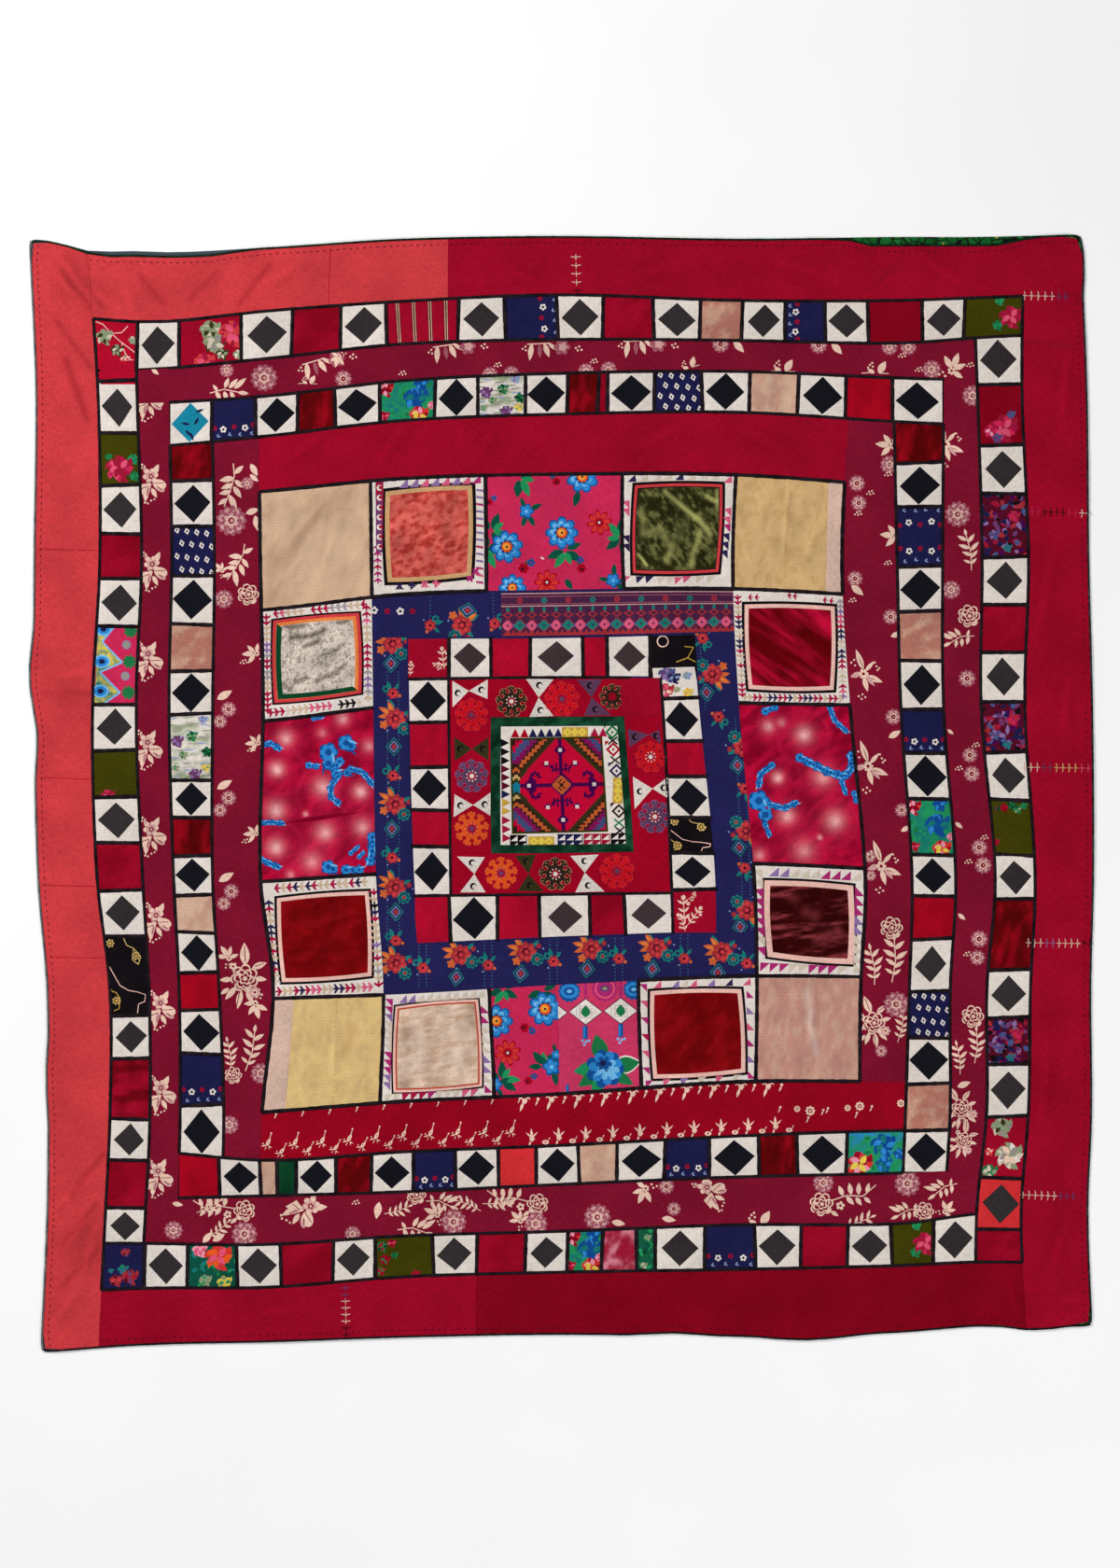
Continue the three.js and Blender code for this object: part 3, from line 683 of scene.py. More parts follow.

# %% [markdown]
# The wide border is plain cotton in the reds that were at hand: a faded coral on the left and the top left,
# crimson elsewhere and a darker red at the bottom right. Short lengths were joined, so faint cross seams
# show. They are thin bars laid on the ground, and a row of soft dark spots along each sharp old crease is its
# painted shade.

# %% Plain borders
border_left = Panel("border_left", "coral")
border_top_coral = Panel("border_top_coral", "coral")
Panel("border_top_crimson", "crimson")
Panel("border_right", "crimson")
Panel("border_bottom_crimson", "crimson")
Panel("border_bottom_dark", "dark_red")
JOIN_WIDTH = 0.7
for join_y in (588, 833, 948, 1025):
    left_x, right_x = border_left.edges_at(join_y)
    border_left.lay(bar(left_x + 3, join_y, right_x - 1, join_y + 2, JOIN_WIDTH), "bright_red", seam=True)
JOIN_X = 354
top_y, bottom_y = border_top_coral.edges_at(JOIN_X)
border_top_coral.lay(bar(JOIN_X, top_y + 3, JOIN_X - 2, bottom_y - 1, JOIN_WIDTH), "bright_red", seam=True)
# painted shade along sharp old creases, a row of soft dark spots each: strip, then the two ends and the
# softness of each
SHARP_CREASES = read_book("""
border_left: 66 290 98 330 2.4, 60 343 99 396 3.0, 70 385 94 450 4.0, 46 741 98 743 2.6,
  112 1235 76 1280 3.4, 104 1288 66 1335 3.0, 108 1335 66 1379 3.0, 92 262 104 330 2.4;
border_top_coral: 93 306 111 330 2.6, 233 290 203 322 3.0, 290 282 255 328 3.2, 150 296 176 326 3.0;
border_right: 1150 372 1100 366 3.4;
border_top_crimson: 966 276 930 312 3.4;
border_bottom_dark: 1000 1378 968 1396 3.2
""")
CREASE_STEP = 3.0
CREASE_STRENGTH = 0.24
# each spot of this dark red is painted shade of the crease
for node, creases in SHARP_CREASES.items():
    for x0, y0, x1, y1, soft in creases:
        for x, y in walk([(x0, y0), (x1, y1)], CREASE_STEP, closed=False):
            panels[node].layers[0].glows += ((x, y, 0, soft, CREASE_STRENGTH, "crease_red"),)
print("border strips:", len(panels))

# %% [markdown]
# The bands of small patches give the cover its rhythm: a white square with a dark diamond, then a plain or
# printed square, and so on round. The squares were cut by eye, so the cross seams lean a little and the
# diamonds sit slightly askew. The black ground shows between the patches as the dark line of the seams.

# %% Patches and their prints
rng = np.random.default_rng(5)
SEAM_GAP = 1.5
EDGE_GAP = 1.7
LEAN = 1.1
ASKEW = 1.3


class Patch:
    """One patch of a band: its corners in the chart and its layer on the panel."""

    def __init__(self, panel, start, end, leans, dye, finish):
        self.panel = panel
        near, far = [], []
        for share in np.linspace(0, 1, 5):
            for side, sign in ((near, 1), (far, -1)):
                along = start + sign * leans[0] + SEAM_GAP
                along += (end + sign * leans[1] - SEAM_GAP - along) * share
                low, high = panel.edges_at(along)
                inset = EDGE_GAP / (high - low)
                side.append(panel.place(along, inset if sign > 0 else 1 - inset))
        if panel.lies_across:
            self.corners = near[0], near[-1], far[-1], far[0]
        else:
            self.corners = near[0], far[0], far[-1], near[-1]
        self.layer = panel.lay(near + far[::-1], dye, finish, seam=True, turn=rng.uniform(-4, 4))

    def at(self, u, v):
        """Chart point at -1 to 1 from left to right and from top to bottom of the patch."""
        a, b = (u + 1) / 2, (v + 1) / 2
        top = self.corners[0] + (self.corners[1] - self.corners[0]) * a
        low = self.corners[3] + (self.corners[2] - self.corners[3]) * a
        return top + (low - top) * b

    def put(self, marks, u, v, size=1.0, turn=0.0, mirror=False):
        x, y = self.at(u, v)
        stamp(self.panel, marks, x, y, size, turn, mirror, self.layer)

    def bloom(self, u, v, size, count, *inks):
        bloom(self.panel, self.layer, *self.at(u, v), size, count, *inks)

    def fill(self, dye, places):
        """Lays a shape through places on the patch, given as u and v in turn."""
        return self.panel.lay([self.at(u, v) for u, v in np.reshape(places, (-1, 2))], dye, within=self.layer)

    def line(self, dye, width, places):
        """Lays a thin line through places on the patch, given as u and v in turn."""
        points = [self.at(u, v) for u, v in np.reshape(places, (-1, 2))]
        for start, end in zip(points, points[1:]):
            self.panel.lay(bar(*start, *end, width), dye, within=self.layer)


def diamond(patch, dye, reach):
    """A square set on its point, a little askew, as cutting by eye leaves it."""
    halves = [np.hypot(*(patch.at(u, v) - patch.at(-u, -v))) / 2 for u, v in ((1, 0), (0, 1))]
    across, down = [reach * (0.6 + 0.4 * min(halves) / half) for half in halves]
    points = [patch.at(0, -down), patch.at(across, 0), patch.at(0, down), patch.at(-across, 0)]
    points = np.array(points) + rng.uniform(-ASKEW, ASKEW, (4, 2))
    sides = np.vstack([
        np.linspace(start, end, 4, endpoint=False)
        for start, end in zip(points, np.roll(points, -1, axis=0))])
    patch.panel.lay(sides, dye, "cotton", patch.layer, seam=True, turn=45)


GOLDEN_TURN = 137.5


def bloom(panel, within, x, y, size, count, *inks):
    """A loose painted bloom: a lobed ground and brush dabs round its middle, the first ink outermost."""
    panel.lay(petals(x, y, size * 0.9, 5 + count % 3, 0.3, 40 * count), inks[0], within=within)
    for number in range(count):
        share = 1 - number / count
        turn = math.radians(GOLDEN_TURN * number)
        start = (x + size * 0.75 * share * math.cos(turn), y - size * 0.75 * share * math.sin(turn))
        heading = GOLDEN_TURN * number + 75 + 25 * math.sin(2.4 * number)
        ink = inks[int((1 - share) * len(inks))]
        panel.lay(leaf(*start, size * 0.8, size * 0.46, heading), ink, within=within)


def scatter(patch, count, long, wide, *inks):
    """Loose dabs all over a patch, as on a blurred print."""
    for number in range(count):
        place = patch.at(*rng.uniform(-1.1, 1.0, 2))
        long_dab, wide_dab = long * rng.uniform(0.6, 1.3), wide * rng.uniform(0.7, 1.3)
        dab = leaf(*place, long_dab, wide_dab, rng.uniform(0, 360))
        patch.panel.lay(dab, inks[number % len(inks)], within=patch.layer)


SMALL_PRINTS = read_book("""
ring: petals white 0 0 3.7 5, disc navy 0 0 1.5 6;
red: petals bright_red 0 0 2.8 5, disc navy 0 0 1.1 6;
curl: leaf pale_blue 0 0 4.6 1.7 60, leaf pale_blue 1 0 3.2 1.3 10;
tiny_diamond: lozenge white 0 0 3.0 4.0, lozenge navy 0 0 1.2 1.6;
gold_flower: petals pale_gold 0 0 4.6 7 0.45, petals black 0 0 3.1 7 0.45, petals gold 0 0 1.8 5
""")
FACING = {
    "bottom": lambda u, v: (u, v), "top": lambda u, v: (u, -v),
    "left": lambda u, v: (-v, u), "right": lambda u, v: (v, u),
}
FLOWER_ROW = read_rows("""
ring -0.5 0.5, red 0.02 0.42, ring 0.55 0.52, red -0.92 0.4, curl -0.78 0.9, curl -0.25 0.86,
curl 0.22 0.88, curl 0.78 0.88, red 0.95 0.4
""")


def navy_flowers(patch, *sides):
    for side in sides:
        for flower, u, v in FLOWER_ROW:
            patch.put(SMALL_PRINTS[flower], *FACING[side](u, v), turn=rng.uniform(-20, 20))


def navy_diamonds(patch):
    for row, v in enumerate(np.linspace(-0.82, 0.86, 4)):
        for u in np.linspace(-0.8, 0.7, 4):
            patch.put(SMALL_PRINTS["tiny_diamond"], u + (0.24 if row % 2 else 0.0), v + 0.1 * u, turn=14)


# loose dabs of a print: how many, their length and width, and their inks
DABS = {name: dabs for name, *dabs in read_rows("""
dark_floral 90 9 5 purple maroon navy rose_red slate_blue black plum_dark violet navy brick,
green_print 8 9 4 leaf_green print_green, green_flower 8 9 4 leaf_green print_green,
green_leafy 26 8 4 leaf_green print_green garden_green bottle_green,
green_orange 34 9 4 leaf_green garden_green print_green teal
""")}
# blooms of a print: place on the patch, size, how many dabs, and the inks from the rim inwards
BLOOMS = read_book("""
dark_floral: -0.5 0.3 6 7 slate_blue violet purple, 0.45 -0.3 7 8 thread_red brick pink,
  0.1 0.75 5 6 teal slate_blue;
red_blur: 0.1 0.45 15 16 rose_red thread_red bubble_pink rose_pink,
  -0.5 0.55 8 8 thread_red bubble_pink soft_pink, -0.2 0.8 6 6 purple slate_blue,
  0.5 0.0 5 4 slate_blue purple;
green_print: 0.3 -0.1 13 9 deep_sky sky teal royal, 0.5 -0.85 8 6 royal deep_sky sky,
  -0.5 0.3 7 6 teal print_green, -0.85 -0.75 9 11 crimson poppy soft_pink dark_red,
  0.45 0.8 10 12 poppy crimson soft_pink lemon, -0.9 0.75 6 7 crimson rose_pink,
  0.95 0.35 5 5 soft_pink rose_pink;
green_flower: 0.25 -0.4 13 10 royal deep_sky sky teal, 0.3 0.6 9 8 deep_sky sky teal,
  0.85 0.1 7 6 deep_sky sky, -0.6 0.55 14 16 crimson poppy coral soft_pink lemon;
green_leafy: 0.2 -0.6 4 5 sage print_green, -0.3 0.8 4 4 sage pale_tan;
green_orange: -0.55 -0.8 8 8 soft_pink rose_pink thread_pink,
  0.25 -0.5 14 16 poppy orange coral orange rose_pink, 0.5 0.8 8 7 lemon sage print_green,
  -0.3 0.7 7 5 sage print_green;
rose_sprig: -0.55 -0.35 9 10 sage sage pale_tan olive_dark sage,
  0.1 0.2 7 9 olive_dark sage pale_tan sage, 0.85 -0.25 5 6 sage pale_tan grey,
  0.5 0.6 5 7 skin sage coral, 0.85 0.8 6 8 coral skin thread_red;
big_rose: 0.0 -0.5 11 12 sage sage pale_tan olive_dark sage,
  0.15 0.1 12 14 sage olive_dark sage pale_tan grey, 0.4 0.65 7 8 olive_dark sage pale_tan,
  0.74 -0.25 14 18 coral rose_red thread_red coral rose_pink,
  -0.2 0.95 11 12 coral thread_red rose_red rose_pink, 0.95 0.75 6 7 sage pale_tan white;
grey_rose: -0.25 -0.7 11 12 sage pale_tan grey olive_dark sage,
  0.25 0.25 14 18 sage pale_tan white grey cream_pink, -0.75 0.15 5 6 coral skin,
  -0.65 0.85 9 9 leaf_green sage pale_tan;
olive_rose: 0.15 0.45 6 7 leaf_green print_green, 0.2 -0.85 5 5 print_green leaf_green,
  0.6 0.0 12 16 rose_red thread_red pink rose_red rose_pink;
olive_low_rose: 0.75 0.0 6 8 print_green leaf_green teal, 0.8 0.7 6 7 leaf_green print_green,
  -0.6 -0.1 4 4 leaf_green, -0.05 0.35 14 18 rose_red pink thread_red rose_pink rose_red;
olive_small: -0.8 -0.6 6 9 leaf_green bottle_green crimson, -0.45 -0.75 5 7 crimson dark_red rose_pink,
  -0.7 0.1 6 8 dark_red crimson leaf_green, -0.35 -0.1 4 5 leaf_green bottle_green,
  -0.85 0.7 5 6 crimson leaf_green, 0.4 0.95 5 6 crimson rose_red;
olive_top: -0.35 -0.75 5 7 dark_red crimson bright_red, 0.05 -0.85 5 6 bottle_green leaf_green,
  0.35 -0.7 5 6 leaf_green bottle_green sage, -0.75 -0.7 4 5 bottle_green crimson,
  0.7 -0.85 4 4 leaf_green, -0.95 0.6 4 5 crimson dark_red;
olive_pink: -0.4 1.0 8 8 rose_red pink rose_pink;
navy_rose: 0.0 0.15 6 6 teal print_green slate_blue, 0.35 0.5 9 9 brick maroon rose_red purple,
  -0.35 0.65 7 7 brick maroon coral, 0.1 -0.65 5 5 brick purple maroon, -0.6 0.2 3 4 teal slate_blue;
iris: -0.7 -0.2 7 8 purple dull_purple violet, 0.2 0.85 7 8 dull_purple violet purple,
  0.05 -0.35 6 7 leaf_green bottle_green sage, 0.8 0.15 6 6 bottle_green leaf_green,
  -0.4 0.25 5 5 sage leaf_green, 0.75 0.65 5 6 lemon pale_gold sage, -0.8 0.65 4 5 sage print_green,
  0.6 -0.85 5 5 pale_blue violet
""")


def paint(patch, name):
    """Prints a patch with its loose dabs and its blooms."""
    if name in DABS:
        scatter(patch, *DABS[name])
    for row in BLOOMS[name]:
        patch.bloom(*row)


PEACOCK_EDGE = (-0.2, -1, -0.75, -0.62, 0.3, -0.08, -0.8, 0.18, 0.25, 0.72, -0.5, 1)


def peacock(patch):
    left = patch.fill("teal", (-1, -1, *PEACOCK_EDGE, -1, 1))
    patch.panel.layers[left].mottle = ("lemon", 3, 1, 0, 0.9, 1)
    for v in (-0.95, -0.1, 0.68):
        for ink, size in (("light_sky", 9), ("sky", 7), ("navy", 3.4)):
            patch.put([("oval", ink, 0, 0, size, size * 0.8, 0)], -0.72, v)
    patch.line("light_sky", 1.8, PEACOCK_EDGE)
    for v in (-0.55, 0.28):
        patch.put([("disc", "violet", 0, 0, 5, 14), ("disc", "grey", 0, 0, 4.2, 14)], 0.48, v)
    for v in (-0.92, -0.1, 0.72):
        patch.put([("petals", "leaf_green", 0, 0, 7.5, 9, 0.3)], 0.66, v)


def iris_print(patch):
    for row, v in enumerate(np.linspace(-0.92, 0.92, 10)):
        for column in range(3):
            ink = ("pale_blue", "sage", "grey")[(row + column) % 3]
            dash = [("leaf", ink, 0, 0, rng.uniform(8, 16), 1.5, rng.uniform(-8, 8))]
            patch.put(dash, 0.65 * column - 1 + rng.uniform(-0.2, 0.2), v)
    paint(patch, "iris")


def stripes(patch):
    for u in (-0.72, -0.26, 0.2, 0.66):
        for shift, wide, ink in ((0, 4.6, "maroon"), (-0.032, 0.9, "beige"), (0.032, 0.9, "beige")):
            patch.line(ink, wide, (u + shift, -1.2, u + shift + 0.06, 1.2))


# ink of each line on the black velvet, and the places that it runs through
GOLD_LINES = read_rows("""
skin -1 -0.3 -0.7 0.0 -0.45 0.25 0.0 0.38 0.45 0.42 0.9 0.5 0.85 0.68 0.5 0.74 0.4 1,
pale_gold -0.1 -1 0.05 -0.8 0.4 -0.72 0.75 -0.5 0.6 -0.3 0.3 -0.42 0.4 -0.72,
gold -1 0.28 -0.9 0.4 -0.7 0.42 -0.5 0.6 -0.6 0.85 -0.9 0.9
""")


def gold_lines(patch):
    for ink, *places in GOLD_LINES:
        patch.line(ink, 0.9, places)
    for u, v in ((-0.72, 0.64), (-0.8, -0.85), (0.5, -0.52)):
        patch.put(SMALL_PRINTS["gold_flower"], u, v)


# blooms on the white corner patch, by their place in the chart
WHITE_BLOOMS = read_rows("""
714 722 9 10 slate_blue purple violet, 722 726 7 7 navy slate_blue pale_blue,
713 740 9 11 brick coral rose_pink skin, 737 742 6 7 lemon marigold pale_gold, 736 724 5 5 pale_blue sage,
725 739 4 4 sage pale_gold
""")


def white_floral(patch):
    for row in WHITE_BLOOMS:
        bloom(patch.panel, patch.layer, *row)


SMALL_SPRIG = read_rows("bar C 0 11 1 -11 0.8")
SMALL_SPRIG += [("leaf", "C", 0.5, y, 6.5, 2.1, 90 + 50 * side) for y in (8, 2, -5) for side in (-1, 1)]
SMALL_SPRIG += read_rows("petals C 1.2 -11 2.3 5, petals skin 5 -5 1.8 5, petals skin -5 4 1.8 5")


def sprigged(*places):
    def draw(patch):
        for u, v, size, turn in places:
            patch.put(SMALL_SPRIG, u, v, size, turn)
    return draw


SPRIG_BRANCHES = read_rows("""
-0.95 -0.95 -0.6 -0.85 -0.2 -0.5 0.2 -0.2 0.6 0.05 0.98 0.3, -0.15 -0.5 0.3 -0.55 0.6 -0.85,
0.3 -0.15 0.5 0.35 0.75 0.6 0.95 0.95
""")


def branch_sprig(patch):
    for places in SPRIG_BRANCHES:
        patch.line("skin", 1.0, places)
    paint(patch, "rose_sprig")


def cream_circle(patch):
    patch.put([("disc", "C", 0, 0, 6.4, 18), ("disc", "black", 0, 0, 5.2, 18)], -0.5, -0.72)
    patch.line("gold", 1.1, (0.45, -0.45, 0.85, -0.4, 0.6, 0.1, 0.95, 0.3))
    patch.line("gold", 1.1, (0.1, 0.3, 0.6, 0.1))


def peacock_diamond(patch):
    for u, v, heading in read_rows("-0.45 0.0 -10, -0.25 0.35 -50, 0.2 0.15 60, 0.25 -0.5 20, 0.0 0.5 -70"):
        patch.put([("leaf", "navy", 0, 0, 10, 3, heading)], u, v)


# finish and dye of a ground, and the cloths that have it
GROUNDS = read_book("""
cotton crimson: crimson striped big_rose grey_rose red_sprig red_spray;
cotton bright_red: bright_red;
cotton dark_red: dark_red red_blur;
cotton ring_red: ring_red rose_sprig sprig_end;
velvet velvet_red: red_velvet;
velvet crimson: streaked;
cotton tomato: coral;
plush plush_pink: beige;
cotton dusty_rose: dusty_rose;
cotton rose_red: pink;
velvet bottle_green: dark_green;
cotton olive: olive_rose olive_low_rose olive_small olive_top olive_pink;
cotton navy: navy_bottom navy_top navy_left navy_right navy_diamonds navy_rose;
cotton maroon: dark_floral;
cotton print_green: green_print green_flower;
cotton pine: green_leafy;
cotton garden_green: green_orange;
cotton pink: peacock;
cotton white: iris white_floral;
velvet black: gold_lines black_circle
""")
CLOTHS = {cloth: ground.split() for ground, rows in GROUNDS.items() for cloth in rows[0]}
# what is printed on a cloth by a rule of its own
PRINTS = {
    "striped": stripes, "rose_sprig": branch_sprig, "navy_diamonds": navy_diamonds, "peacock": peacock,
    "iris": iris_print, "gold_lines": gold_lines, "white_floral": white_floral, "black_circle": cream_circle,
    "navy_bottom": lambda patch: navy_flowers(patch, "bottom"),
    "navy_top": lambda patch: navy_flowers(patch, "top", "bottom"),
    "navy_left": lambda patch: navy_flowers(patch, "left"),
    "navy_right": lambda patch: navy_flowers(patch, "right"),
    "red_sprig": sprigged((0.75, 0.05, 1.0, 10), (0.5, 0.45, 0.5, 60), (-0.9, 0.55, 0.65, 0)),
    "red_spray": sprigged(
        (-0.55, -0.1, 1.2, 6), (-0.05, 0.2, 1.0, -34), (-0.6, 0.55, 0.8, 20), (-0.1, -0.7, 0.5, -20)),
}
# squares with a diamond on them: dye of the square, dye of the diamond and how far it reaches
DIAMONDS = {name: row for name, *row in read_rows("""
D white charcoal 0.87, B white blue_black 0.95, T white brown_grey 0.8,
turquoise_diamond white turquoise 0.95, small_diamond white charcoal 0.82, coral_diamond tomato charcoal 0.9
""")}
# cloths with patches of a second dye in them, which on the velvets red_velvet and streaked and the plush
# beige are painted sheen of the pile: the dye, size, stretch, heading, amount and sharpness of its patches
MOTTLED = {cloth: mottle for cloth, *mottle in read_rows("""
red_velvet bright_red 7 3.0 80 0.55 2.2, streaked velvet_red 8 4.0 4 0.8 1.6,
beige dusty_rose 7 1.4 60 0.45 1.2, dusty_rose plush_pink 8 1.5 30 0.6 1.6,
ring_red crimson 9 2.5 85 0.6 1.0, crimson dark_red 22 2.0 30 0.9 0.8, green_print teal 8 1.4 60 0.8 1.4,
pink soft_pink 7 1.6 60 0.7 2.4, iris sage 5 3.4 4 0.9 1.5, green_flower sky 8 1.4 60 0.8 1.6,
sprig_end crimson 9 2.5 85 0.6 1.0, bright_red dark_red 9 2.0 85 0.4 1.4
""")}
print("patch cloths:", len(CLOTHS) + len(DIAMONDS))

# %% [markdown]
# A band is sewn as one long run, so it is charted as one: each cloth and where it ends, in chart units along
# the strip. The corners of every patch could be charted too, but a run is shorter and leaves no gaps.

# %% Runs of patches
BANDS = read_book("""
outer_band_top: rose_sprig 147, D 192, big_rose 258.5, D 313, crimson 365, D 414, striped 491, D 541,
  navy_right 597, D 646, crimson 700, D 750, dusty_rose 795, D 841, navy_left 884, D 930, dark_red 988,
  D 1033, olive_rose 1095;
outer_band_right: D 412, red_blur 477, D 529, dark_floral 597, D 648, crimson 699, D 752, dark_floral 806,
  D 857, olive_top 916, D 963, red_velvet 1039, D 1090, dark_floral 1140, D 1196, grey_rose 1262,
  coral_diamond 1317, crimson 1353;
outer_band_bottom: navy_rose 155, D 201, green_orange 254, D 301, crimson 357, D 402, olive_small 464,
  D 511, crimson 563, D 608, green_print 645, pink 682, green_leafy 702, D 755, navy_bottom 809, D 858,
  crimson 908, D 955, olive_rose 1000, D 1050;
outer_band_left: sprig_end 408, D 464, olive_low_rose 520, D 572, crimson 620, D 671, peacock 755, D 804,
  olive_pink 854, D 903, crimson 954, D 1003, gold_lines 1088, D 1134, streaked 1199, D 1243,
  crimson 1294, D 1340;
inner_band_top: turquoise_diamond 227, navy_bottom 274, B 319, red_velvet 359, B 407, green_print 466,
  B 512, iris 563, B 608, red_velvet 641, crimson 651, B 701, navy_diamonds 752, B 803, beige 855, B 906,
  bright_red 956, B 1011;
inner_band_right: red_velvet 496, B 543, navy_top 607, B 655, dusty_rose 708, B 760, navy_bottom 807,
  B 856, green_print 916, B 960, bright_red 1006, small_diamond 1062, navy_diamonds 1112, B 1161,
  dusty_rose 1211, B 1258;
inner_band_bottom: bright_red 235, B 279, beige 297, dark_green 317.5, B 360, red_velvet 398, B 443,
  navy_bottom 488, B 534, coral 574.5, B 620, beige 661, B 712, navy_bottom 760, B 813, red_velvet 854,
  B 907, green_flower 965;
inner_band_left: red_velvet 515, B 564, navy_diamonds 617, B 669, dusty_rose 719, B 765, iris 836, B 876,
  red_velvet 917, B 959, beige 999, B 1042, bright_red 1082, B 1129, navy_bottom 1184, B 1233;
patch_ring_top: red_sprig 481, T 526, ring_red 568, T 624.5, ring_red 650.5, T 696.5, black_circle 745;
patch_ring_right: white_floral 748, B 794, ring_red 832, B 876, gold_lines 914, B 953, red_spray 1000;
patch_ring_bottom: ring_red 482, B 533, ring_red 578, T 632, crimson 669.5, T 720;
patch_ring_left: B 774, ring_red 822, B 868, ring_red 907, B 950
""")
cross_seams = []
for node, run in BANDS.items():
    band = Panel(node, "frame_blue" if "ring" in node else "black")
    axis = 0 if band.lies_across else 1
    start, last = band.loop[:, axis].min(), band.loop[:, axis].max()
    lean = 0.0
    for number, (cloth, end) in enumerate(run):
        is_last = number == len(run) - 1
        end = last if is_last else end
        next_lean = 0.0 if is_last else rng.uniform(-LEAN, LEAN)
        if cloth in DIAMONDS:
            ground, ink, reach = DIAMONDS[cloth]
            patch = Patch(band, start, end, (lean, next_lean), ground, "linen")
            diamond(patch, ink, reach)
            if cloth == "turquoise_diamond":
                peacock_diamond(patch)
        else:
            finish, ground = CLOTHS[cloth]
            patch = Patch(band, start, end, (lean, next_lean), ground, finish)
            band.layers[patch.layer].mottle = MOTTLED.get(cloth)
            if cloth in PRINTS:
                PRINTS[cloth](patch)
            elif cloth in BLOOMS:
                paint(patch, cloth)
        if not is_last:
            cross_seams.append((band, end, next_lean))
        start, lean = end, next_lean
# two corner patches run on from one band into the next: the band, the strip that closes the gap, its dye
RUN_ON = [
    ("outer_band_top", [(107, 388), (145.5, 386), (146, 412), (108, 412)], "ring_red"),
    ("outer_band_left", [(108, 392), (147, 392), (147, 412), (108, 412)], "ring_red"),
    ("patch_ring_top", [(699, 716), (744, 714.5), (747, 733), (700.5, 733)], "white"),
    ("patch_ring_right", [(700, 726), (746, 726), (747, 737), (702, 737)], "white"),
]
for node, shape, dye in RUN_ON:
    run_on = SimpleNamespace(panel=panels[node], layer=panels[node].lay(shape, dye, "cotton"))
    if dye == "white":
        white_floral(run_on)
print("bands:", len(BANDS), "cross seams:", len(cross_seams))

# %% [markdown]
# The sashing between the bands is a burgundy cotton block-printed with cream flower sprays. The print was
# cut wherever the strip needed it, so sprays run off the edges. Some blooms are printed solid and some only
# as a pale haze with a dark ring.

